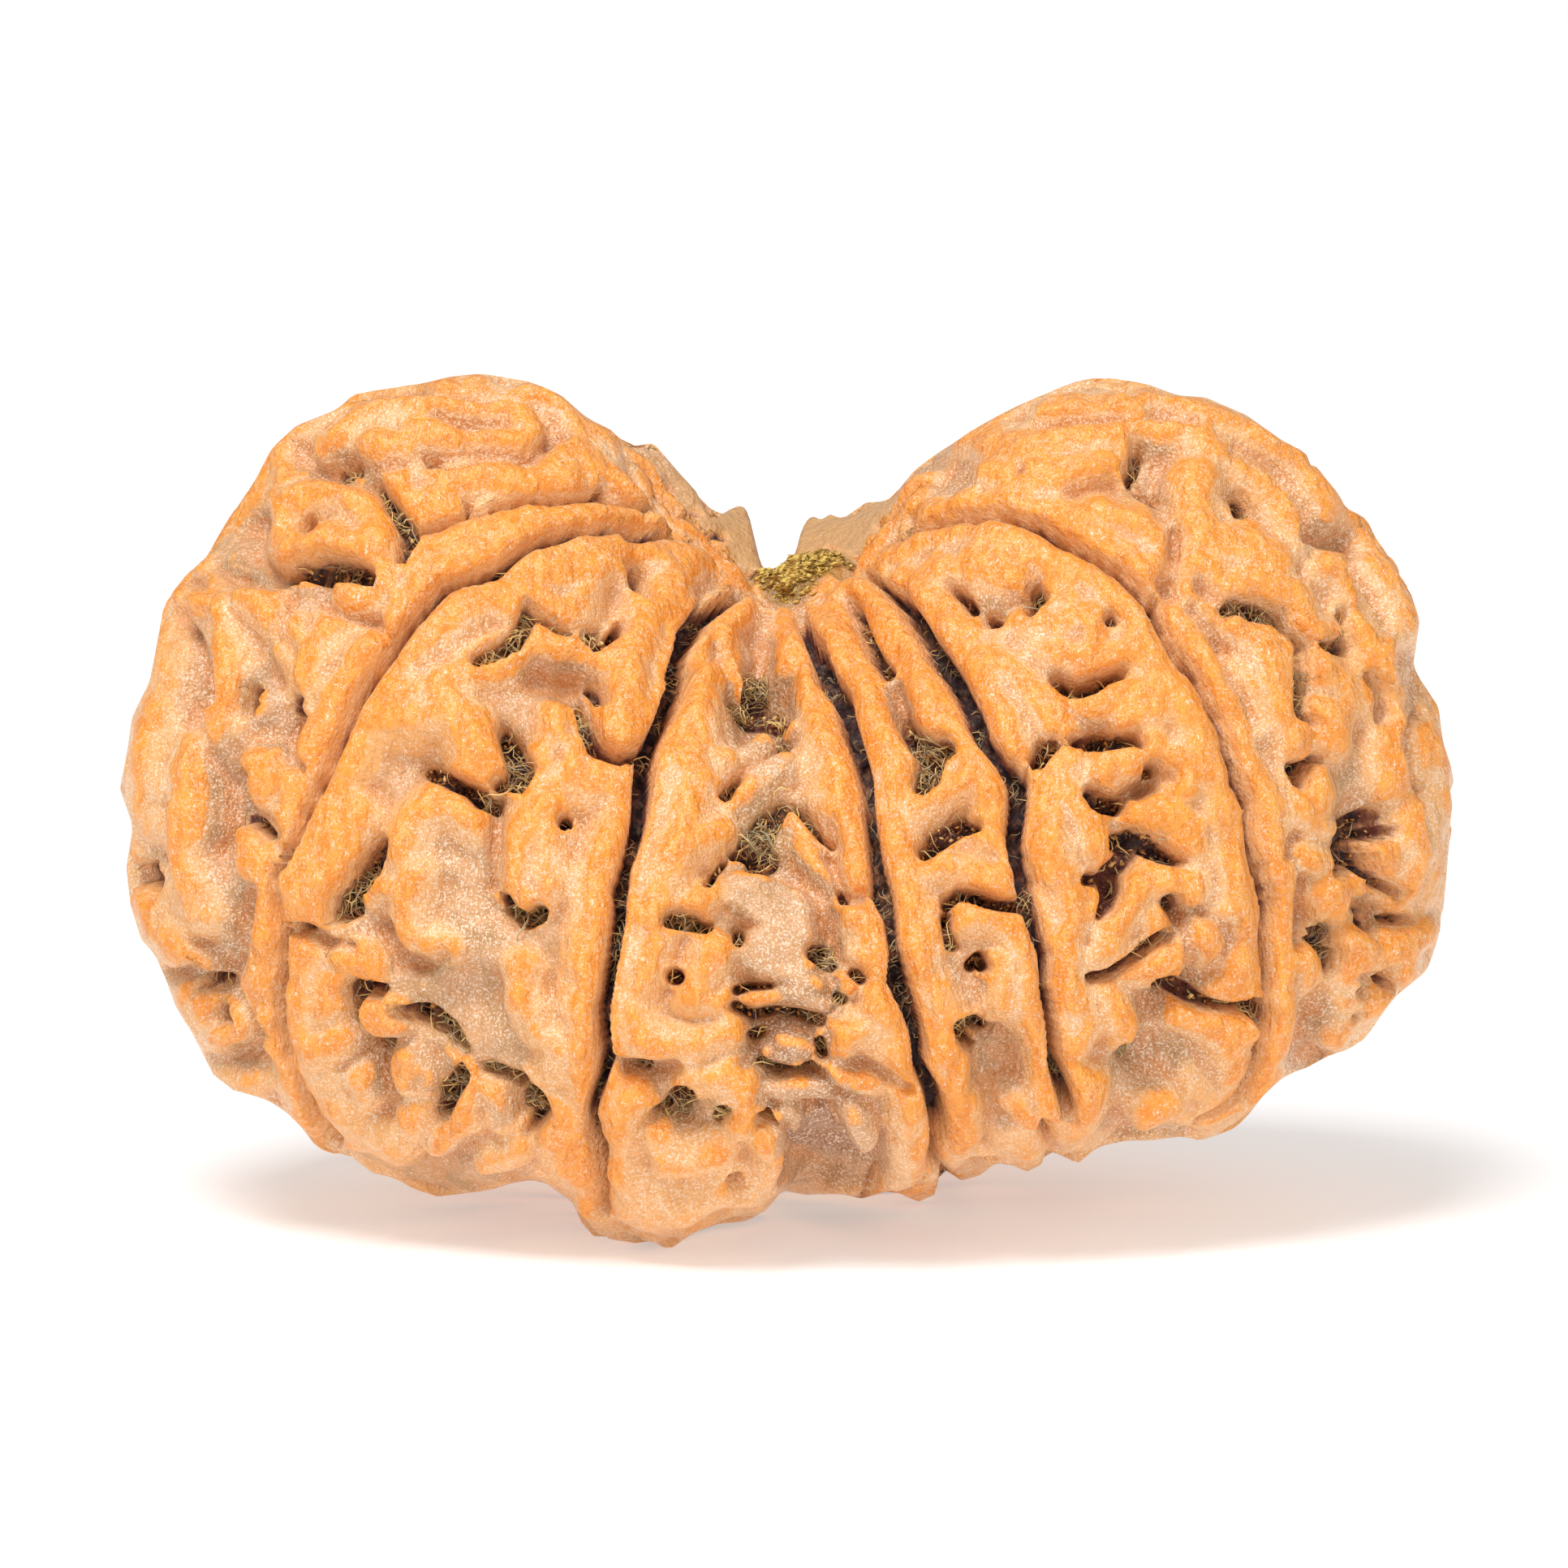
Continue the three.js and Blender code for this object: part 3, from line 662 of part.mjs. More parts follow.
/** A stroke as segments with round ends, in two or three dimensions. */
function segmentsOf(paths) {
  const list = [];
  for (const path of paths) {
    for (let index = 0; index + 1 < path.length; index += 1) {
      list.push({ from: path[index].slice(0, -1), to: path[index + 1].slice(0, -1),
        startWidth: path[index].at(-1), endWidth: path[index + 1].at(-1) });
    }
  }
  return list;
}

/** Farthest that a point lies inside any of the strokes, negative outside them. */
function inside(segments, point) {
  let best = -STROKE_REACH;
  for (const { from, to, startWidth, endWidth } of segments) {
    let along = 0;
    let length = 0;
    for (let axis = 0; axis < from.length; axis += 1) {
      const span = to[axis] - from[axis];
      along += (point[axis] - from[axis]) * span;
      length += span * span;
    }
    const share = length > 0 ? THREE.MathUtils.clamp(along / length, 0, 1) : 0;
    let away = 0;
    for (let axis = 0; axis < from.length; axis += 1) {
      const gap = point[axis] - from[axis] - (to[axis] - from[axis]) * share;
      away += gap * gap;
    }
    best = Math.max(best, startWidth + (endWidth - startWidth) * share - Math.sqrt(away));
  }
  return best;
}

/** Repeatable random numbers from 0 to 1. */
function randomSource(start) {
  let state = start;
  return () => {
    state = (state * 1664525 + 1013904223) % 4294967296;
    return state / 4294967296;
  };
}

/** Point of the bean at a share of the way down and an azimuth in degrees. */
function pointAt(share, azimuth) {
  return basePoint(directionAt(share, azimuth), new THREE.Vector3()).toArray();
}

/** Relief of the far side: lines between the faces, lips along them, branches, plates and pits. */
function farRelief() {
  const random = randomSource(SEED_NUMBER);
  const grooves = [];
  const ridges = [];
  const pits = [];
  const wanders = FAR_GROOVES.map(() => [random() * 6.28, random() * 6.28, 5 + random() * 4]);
  const wander = (line, share) => {
    const [a, b, pace] = wanders[line];
    return FAR_GROOVES[line] + 2.2 * Math.sin(pace * share + a) + 1.1 * Math.sin(17 * share + b);
  };
  FAR_GROOVES.forEach((_, line) => {
    const groove = [];
    for (let row = 0; row <= FAR_ROWS; row += 1) {
      const share = GROOVE_SPAN.top + GROOVE_SPAN.length * row / FAR_ROWS;
      const opening = line === NOTCH.line ? NOTCH.width * Math.max(1 - share / NOTCH.length, 0) : 0;
      const width = GROOVE_SPAN.width + GROOVE_SPAN.spread * random() + opening;
      groove.push([...pointAt(share, wander(line, share)), width]);
    }
    grooves.push(groove);
  });
  for (let face = 0; face + 1 < FAR_GROOVES.length; face += 1) {
    for (const side of [0, 1]) {
      let lip = [];
      for (let row = 0; row <= FAR_ROWS; row += 1) {
        const share = LIP_SPAN.top + LIP_SPAN.length * row / FAR_ROWS;
        const left = wander(face, share);
        const right = wander(face + 1, share);
        const into = LIP_SPAN.inset + LIP_SPAN.spread * random();
        const azimuth = side === 0 ? left + (right - left) * into : right - (right - left) * into;
        lip.push([...pointAt(share, azimuth), LIP_SPAN.width + LIP_SPAN.extra * random()]);
        if (random() < LIP_SPAN.gaps && lip.length > 2) {
          ridges.push(lip);
          lip = [];
        }
        if (random() < BRANCHES.chance && share > BRANCHES.top && share < BRANCHES.bottom) {
          const reachIn = BRANCHES.inset + BRANCHES.spread * random();
          const end = side === 0 ? left + (right - left) * reachIn : right - (right - left) * reachIn;
          const drop = 0.02 + 0.03 * random();
          ridges.push([[...pointAt(share, azimuth), BRANCHES.width],
            [...pointAt(share + drop, end), 0.26 + 0.16 * random()]]);
        }
      }
      if (lip.length > 1) {
        ridges.push(lip);
      }
    }
    for (let row = 0; row < FAR_ROWS; row += 1) {
      const share = PLATES.top + PLATES.length * row / FAR_ROWS;
      const left = wander(face, share);
      const right = wander(face + 1, share);
      const middle = left + (right - left) * (0.38 + 0.24 * random());
      if (random() < PLATES.chance) {
        const turn = middle + (right - left) * (0.12 * random() - 0.06);
        ridges.push([[...pointAt(share, middle), 0.3 + 0.2 * random()],
          [...pointAt(share + PLATES.drop, turn), 0.24 + 0.2 * random()]]);
      } else if (random() < FAR_PITS.chance) {
        const shift = (right - left) * (0.3 * random() - 0.15);
        pits.push([[...pointAt(share, middle), 0.14 + 0.16 * random()],
          [...pointAt(share + FAR_PITS.drop, middle + shift), 0.12 + 0.14 * random()]]);
      }
    }
  }
  GROOVES.forEach((line) => {
    const end = directionSeenAt(line.at(-1));
    const pole = new THREE.Vector3(0, 0, -1);
    const under = [];
    const lips = [[], []];
    for (let step = 0; step <= UNDER_STEPS; step += 1) {
      const direction = end.clone().lerp(pole, UNDER_REACH * step / UNDER_STEPS).normalize();
      const place = basePoint(direction, new THREE.Vector3()).toArray();
      under.push([...place, 0.1 + 0.08 * random()]);
      const aside = new THREE.Vector3().crossVectors(direction, pole).normalize().multiplyScalar(UNDER_LIP);
      lips.forEach((lip, side) => {
        const beside = direction.clone().addScaledVector(aside, side === 0 ? 1 : -1).normalize();
        lip.push([...basePoint(beside, new THREE.Vector3()).toArray(), 0.3 + 0.25 * random()]);
      });
    }
    grooves.push(under);
    ridges.push(...lips);
  });
  return { grooves, ridges, pits };
}

/** Direction of the visible base point nearest to a spot on the sight sheet. */
function directionSeenAt([across, up]) {
  let best = Infinity;
  const found = new THREE.Vector3();
  const direction = new THREE.Vector3();
  const point = new THREE.Vector3();
  const normal = new THREE.Vector3();
  for (let row = 1; row < 180; row += 1) {
    for (let column = -90; column <= 90; column += 1) {
      direction.copy(directionAt(row / 180, column));
      const spot = spotOf(basePoint(direction, point));
      const away = Math.hypot(spot[0] - across, spot[1] - up);
      if (away < best && -baseNormal(direction, normal).dot(sight) > 0.05) {
        best = away;
        found.copy(direction);
      }
    }
  }
  return found;
}

/** Soft shapes with their own depths, ready to be measured. */
function layered(shapes) {
  return shapes.map(({ under, path }) => ({
    under,
    segments: segmentsOf([path.length > 1 ? path : [path[0], path[0]]]),
  }));
}

const hollowSegments = layered(HOLLOWS);
const knobSegments = layered(KNOBS);
const far = farRelief();
const sheet = {
  grooves: segmentsOf(GROOVES),
  ridges: segmentsOf(RIDGES),
  pits: segmentsOf(PITS),
};
const farSegments = {
  grooves: segmentsOf(far.grooves),
  ridges: segmentsOf(far.ridges),
  pits: segmentsOf(far.pits),
};

/** The land between the cuts and the two cuts, from how far a point lies inside ridges, lines and pits. */
function masksOf(ridge, groove, pit, hollow, knob) {
  const land = -(VALLEY_DEPTH + hollow) * (1 - ease((ridge - RIDGE_FOOT) / (RIDGE_LIP - RIDGE_FOOT)));
  return {
    land: Math.max(land, knob),
    line: ease((groove - WALL_LIP) / (WALL_FOOT - WALL_LIP)),
    hole: ease((pit - WALL_LIP) / (WALL_FOOT - WALL_LIP)),
    hollow,
    pull: pullOf(ridge, groove, pit),
    cut: Math.max(groove, pit),
  };
}

/** Masks of the front's strokes at a spot of the sheet. */
function frontMasks(spot) {
  let hollow = 0;
  for (const { under, segments } of hollowSegments) {
    hollow = Math.max(hollow, under * ease((inside(segments, spot) - HOLLOW_FOOT) / HOLLOW_WALL));
  }
  let knob = -Infinity;
  for (const { under, segments } of knobSegments) {
    const lift = ease((inside(segments, spot) - KNOB_FOOT) / KNOB_RISE);
    knob = Math.max(knob, -under - KNOB_HEIGHT * (1 - lift));
  }
  const { ridges, grooves, pits } = sheet;
  return masksOf(inside(ridges, spot), inside(grooves, spot), inside(pits, spot), hollow, knob);
}

/** Masks of the far side's strokes at a place in space. */
function farMasks(place) {
  const { ridges, grooves, pits } = farSegments;
  return masksOf(inside(ridges, place), inside(grooves, place), inside(pits, place), 0, -Infinity);
}

/** Masks at a point of the bean, handed over from the front's strokes to the far side's. */
function masksAt(point, normal) {
  const facing = ease((-normal.dot(sight) - HANDOVER.start) / HANDOVER.width);
  if (facing === 1) {
    return frontMasks(spotOf(point));
  }
  const away = farMasks(point.toArray());
  if (facing === 0) {
    return away;
  }
  const near = frontMasks(spotOf(point));
  const mixed = { cut: facing > 0.5 ? near.cut : away.cut };
  for (const key of ["land", "line", "hole", "hollow", "pull"]) {
    mixed[key] = near[key] * facing + away[key] * (1 - facing);
  }
  return mixed;
}

/** Height over the bean from rounded land and the masks there. */
function heightFrom(land, masks, direction, point) {
  const lowered = land + (Math.min(land, -GROOVE_DEPTH) - land) * masks.line;
  const floor = Math.min(lowered, -PIT_DEPTH - PIT_IN_HOLLOW * masks.hollow);
  const fromUnderside = Math.PI - Math.acos(THREE.MathUtils.clamp(direction.z, -1, 1));
  const height = (lowered + (floor - lowered) * masks.hole)
    * ease((fromUnderside - CALM_UNDERSIDE) / CALM_UNDERSIDE);
  const fromPith = Math.hypot(point.x - PITH.across, point.y - PITH.back) / PITH.radius;
  const lump = direction.z > 0 ? Math.exp(-(fromPith ** 4)) : 0;
  return height + (PITH.height - height) * lump;
}

/** How strongly the mesh gathers at a point: most along the walls of lines and pits. */
function pullOf(ridge, groove, pit) {
  const wall = Math.max(Math.exp(-((groove / WALL_SPREAD) ** 2)), Math.exp(-((pit / WALL_SPREAD) ** 2)));
  return WALL_PULL * wall + LIP_PULL * Math.exp(-(((ridge + 0.15) / 0.35) ** 2));
}

/** How far a direction lies inside a line or pit. */
function cutAt(direction) {
  const point = basePoint(direction, new THREE.Vector3());
  return masksAt(point, baseNormal(direction, new THREE.Vector3())).cut;
}

/** Moves each corner that stands on a wall to the lip or the foot of that wall, whichever is nearer. */
function snapToWalls(directions, neighbours) {
  const middle = (WALL_LIP + WALL_FOOT) / 2;
  const moved = directions.map((direction, corner) => {
    const cut = cutAt(direction);
    if (cut < WALL_LIP - 0.05 || cut > WALL_FOOT) {
      return direction.clone();
    }
    const right = new THREE.Vector3(-direction.y, direction.x, 0);
    right.normalize();
    const up = new THREE.Vector3().crossVectors(direction, right).normalize();
    const [slopeRight, slopeUp] = [right, up].map((way) => (
      (cutAt(direction.clone().addScaledVector(way, SNAP_STEP).normalize()) - cut) / SNAP_STEP));
    const slope = Math.hypot(slopeRight, slopeUp);
    if (slope < 1) {
      return direction.clone();
    }
    let spacing = 0;
    neighbours[corner].forEach((other) => {
      spacing += directions[other].distanceTo(direction) / neighbours[corner].size;
    });
    const target = cut > middle ? WALL_FOOT - 0.02 : WALL_LIP;
    const farthest = SNAP_TRAVEL * spacing;
    const travel = THREE.MathUtils.clamp((target - cut) / slope, -farthest, farthest);
    return direction.clone().addScaledVector(right, travel * slopeRight / slope)
      .addScaledVector(up, travel * slopeUp / slope).normalize();
  });
  moved.forEach((direction, corner) => directions[corner].copy(direction));
}

/** Smallest corner angle of a triangle on the sphere, negative where it is turned over. */
function smallestAngle(a, b, c) {
  const facing = new THREE.Vector3().subVectors(b, a).cross(new THREE.Vector3().subVectors(c, a));
  if (facing.dot(a) <= 0) {
    return -1;
  }
  const triangle = [a, b, c];
  return Math.min(...triangle.map((corner, index) => {
    const first = triangle[(index + 1) % 3].clone().sub(corner);
    return first.angleTo(triangle[(index + 2) % 3].clone().sub(corner));
  }));
}

/** Turns each edge between two triangles to run along a wall instead of across it. */
function flipAcrossWalls(index, directions, heights) {
  const edges = new Map();
  for (let face = 0; face < index.length; face += 3) {
    for (let side = 0; side < 3; side += 1) {
      const a = index[face + side];
      const b = index[face + (side + 1) % 3];
      edges.set(a + "," + b, face);
    }
  }
  const touched = new Set();
  for (const [key, face] of edges) {
    const [a, b] = key.split(",").map(Number);
    const twin = edges.get(b + "," + a);
    if (a > b || twin === undefined || touched.has(face) || touched.has(twin)) {
      continue;
    }
    const c = [0, 1, 2].map((side) => index[face + side]).find((corner) => corner !== a && corner !== b);
    const d = [0, 1, 2].map((side) => index[twin + side]).find((corner) => corner !== a && corner !== b);
    const now = Math.abs(heights[a] - heights[b]);
    const then = Math.abs(heights[c] - heights[d]);
    if (then > now - FLIP_GAIN) {
      continue;
    }
    const angle = Math.min(
      smallestAngle(directions[a], directions[d], directions[c]),
      smallestAngle(directions[d], directions[b], directions[c]));
    if (angle < SMALLEST_ANGLE) {
      continue;
    }
    index.set([a, d, c], face);
    index.set([d, b, c], twin);
    touched.add(face);
    touched.add(twin);
  }
}

/** The seed as one closed mesh. */
function seedGeometry() {
  const ball = new THREE.IcosahedronGeometry(1, MESH_DETAIL);
  ball.deleteAttribute("normal");
  ball.deleteAttribute("uv");
  const geometry = mergeVertices(ball, 1e-4);
  const index = geometry.index.array;
  const count = geometry.attributes.position.count;
  const directions = [];
  const neighbours = [];
  for (let corner = 0; corner < count; corner += 1) {
    const direction = new THREE.Vector3().fromBufferAttribute(geometry.attributes.position, corner);
    directions.push(direction.normalize());
    neighbours.push(new Set());
  }
  for (let face = 0; face < index.length; face += 3) {
    for (let side = 0; side < 3; side += 1) {
      const a = index[face + side];
      const b = index[face + (side + 1) % 3];
      neighbours[a].add(b);
      neighbours[b].add(a);
    }
  }
  const point = new THREE.Vector3();
  const normal = new THREE.Vector3();
  for (let step = 0; step < RELAX_STEPS; step += 1) {
    const pulls = directions.map((direction) => {
      basePoint(direction, point);
      baseNormal(direction, normal);
      return 1 + masksAt(point, normal).pull;
    });
    const moved = directions.map((direction, corner) => {
      const sum = new THREE.Vector3();
      let weight = 0;
      for (const other of neighbours[corner]) {
        const strength = pulls[corner] + pulls[other];
        sum.addScaledVector(directions[other], strength);
        weight += strength;
      }
      return sum.divideScalar(weight).lerp(direction, RELAX_HOLD).normalize();
    });
    moved.forEach((direction, corner) => directions[corner].copy(direction));
  }
  for (let step = 0; step < SNAP_STEPS; step += 1) {
    snapToWalls(directions, neighbours);
  }
  const masks = directions.map((direction) => (
    masksAt(basePoint(direction, point), baseNormal(direction, normal))));
  let lands = masks.map(({ land }) => land);
  for (let pass = 0; pass < LAND_ROUNDING; pass += 1) {
    const last = lands;
    lands = last.map((land, corner) => {
      let sum = 0;
      neighbours[corner].forEach((other) => {
        sum += last[other] / neighbours[corner].size;
      });
      return LAND_HOLD * land + (1 - LAND_HOLD) * sum;
    });
  }
  const position = geometry.attributes.position;
  const heights = directions.map((direction, corner) => {
    basePoint(direction, point);
    baseNormal(direction, normal);
    const height = heightFrom(lands[corner], masks[corner], direction, point);
    trimToRim(point.addScaledVector(normal, height));
    position.setXYZ(corner, point.x, point.y, Math.max(point.z, REST_HEIGHT) - REST_HEIGHT);
    return height;
  });
  for (let pass = 0; pass < FLIP_PASSES; pass += 1) {
    flipAcrossWalls(index, directions, heights);
  }
  geometry.computeBoundingBox();
  const middle = geometry.boundingBox.getCenter(new THREE.Vector3());
  geometry.translate(-middle.x, -middle.y, 0);
  geometry.computeVertexNormals();
  return geometry;
}

const stone = new THREE.MeshStandardMaterial({ color: 0xd99a5b, roughness: 0.5, metalness: 0 });
const seed = new THREE.Mesh(seedGeometry(), stone);
seed.name = "seed";
const rudraksha = new THREE.Group();
rudraksha.name = "rudraksha";
rudraksha.add(seed);

export default rudraksha;
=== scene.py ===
"""A rudraksha seed: the dried stone of the fruit, dressed for a studio picture.

The stone is one piece. Its smooth bean is bent from four outlines, its relief is raised from strokes
laid out on a sheet square to the line of sight, and a rule with a fixed seed carries the same
kinds of lines, ridges and pits round the far side. The tables are in hundredths of a millimetre, and
other sizes in millimetres where nothing else is said.
"""
import logging
import math
from collections.abc import Iterable, Sequence
from dataclasses import dataclass, field
from enum import Enum

import bpy
import numpy as np
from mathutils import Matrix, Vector


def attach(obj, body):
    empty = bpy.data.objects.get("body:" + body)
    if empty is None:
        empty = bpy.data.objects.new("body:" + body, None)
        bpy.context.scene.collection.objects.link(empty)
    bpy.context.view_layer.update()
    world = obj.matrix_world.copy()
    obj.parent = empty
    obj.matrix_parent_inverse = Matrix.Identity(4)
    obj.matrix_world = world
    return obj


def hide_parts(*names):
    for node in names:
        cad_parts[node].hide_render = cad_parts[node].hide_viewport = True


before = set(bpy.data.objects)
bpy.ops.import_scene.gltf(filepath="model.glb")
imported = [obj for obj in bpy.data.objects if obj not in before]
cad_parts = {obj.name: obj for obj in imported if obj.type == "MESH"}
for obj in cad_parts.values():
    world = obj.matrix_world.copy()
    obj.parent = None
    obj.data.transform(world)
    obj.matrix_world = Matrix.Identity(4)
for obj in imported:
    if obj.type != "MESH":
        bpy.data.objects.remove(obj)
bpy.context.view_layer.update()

LOG = logging.getLogger("rudraksha")

Socket = bpy.types.NodeSocket
Run = list[int]
Levelled = tuple[float, Run]
Stroke = list[list[float]]
Span = tuple[float, float]
Layer = tuple[float, float, float]
Colour = tuple[float, float, float, float]

MM = 0.001
TINY = 1e-9
# How far round a stroke its field is painted, and the value of a field where none of its strokes are near
REACH = 1.0
NOWHERE = -9.0
# How far from the end of a grid the last reading lies, in cells
LAST_CELL = 1.001
# Height of the underside's flat spot before it is set down, and how far pieces stay over the floor
REST_HEIGHT = -10.65
FLOOR_GAP = 0.02
# Rule of the far side's repeatable draws: the last number times a factor, plus a step, within a range
DRAW_FACTOR = 1664525
DRAW_STEP = 1013904223
DRAW_RANGE = 4294967296

# Strokes as runs of across,up,half-width triples, on the sight sheet
# The deep lines between the faces, from the stem end down
GROOVES: list[Run] = [
    [-160,590,10, -360,650,12, -510,630,14, -630,595,15, -710,540,17, -840,495,16, -920,400,18,
     -1020,265,17, -1080,160,16, -1150,10,14, -1205,-125,12, -1260,-230,12, -1245,-380,12, -1245,-520,12,
     -1235,-670,12, -1180,-780,12, -1110,-890,12],
    [-220,660,8, -360,695,9, -430,720,12, -520,710,10, -620,715,10, -720,690,8, -840,655,8, -940,630,12],
    [-90,490,12, -180,440,26, -225,375,30, -250,290,30, -260,230,22, -298,150,20, -340,70,26, -345,10,24,
     -360,-100,20, -390,-190,15, -410,-260,22, -415,-360,18, -435,-450,16, -450,-540,18, -440,-660,20,
     -460,-750,14, -478,-830,14, -460,-940,18, -450,-1060,16],
    [20,470,10, 55,380,18, 85,330,22, 110,270,24, 140,220,22, 160,130,22, 185,50,18, 200,-30,14,
     215,-130,18, 230,-200,22, 238,-260,26, 260,-330,14, 275,-410,14, 285,-480,28, 305,-540,22, 325,-620,18,
     340,-710,16, 375,-780,22, 385,-860,20, 380,-940,16],
    [120,550,8, 210,520,10, 280,470,20, 320,410,22, 365,330,26, 420,255,22, 455,190,24, 480,130,20,
     530,70,16, 570,25,26, 575,-50,24, 575,-120,24, 590,-200,22, 605,-270,22, 620,-330,20, 640,-420,14,
     650,-510,14, 660,-610,14, 670,-690,16, 695,-760,22, 705,-830,14],
    [240,620,8, 380,660,10, 520,675,14, 620,650,16, 710,600,15, 800,540,15, 860,495,16, 910,450,18,
     950,370,16, 1020,270,14, 1055,190,15, 1095,120,15, 1125,20,16, 1160,-60,15, 1168,-180,16, 1200,-300,16,
     1202,-420,16, 1200,-520,14, 1185,-590,14, 1180,-680,10, 1130,-780,10, 1020,-840,10],
]

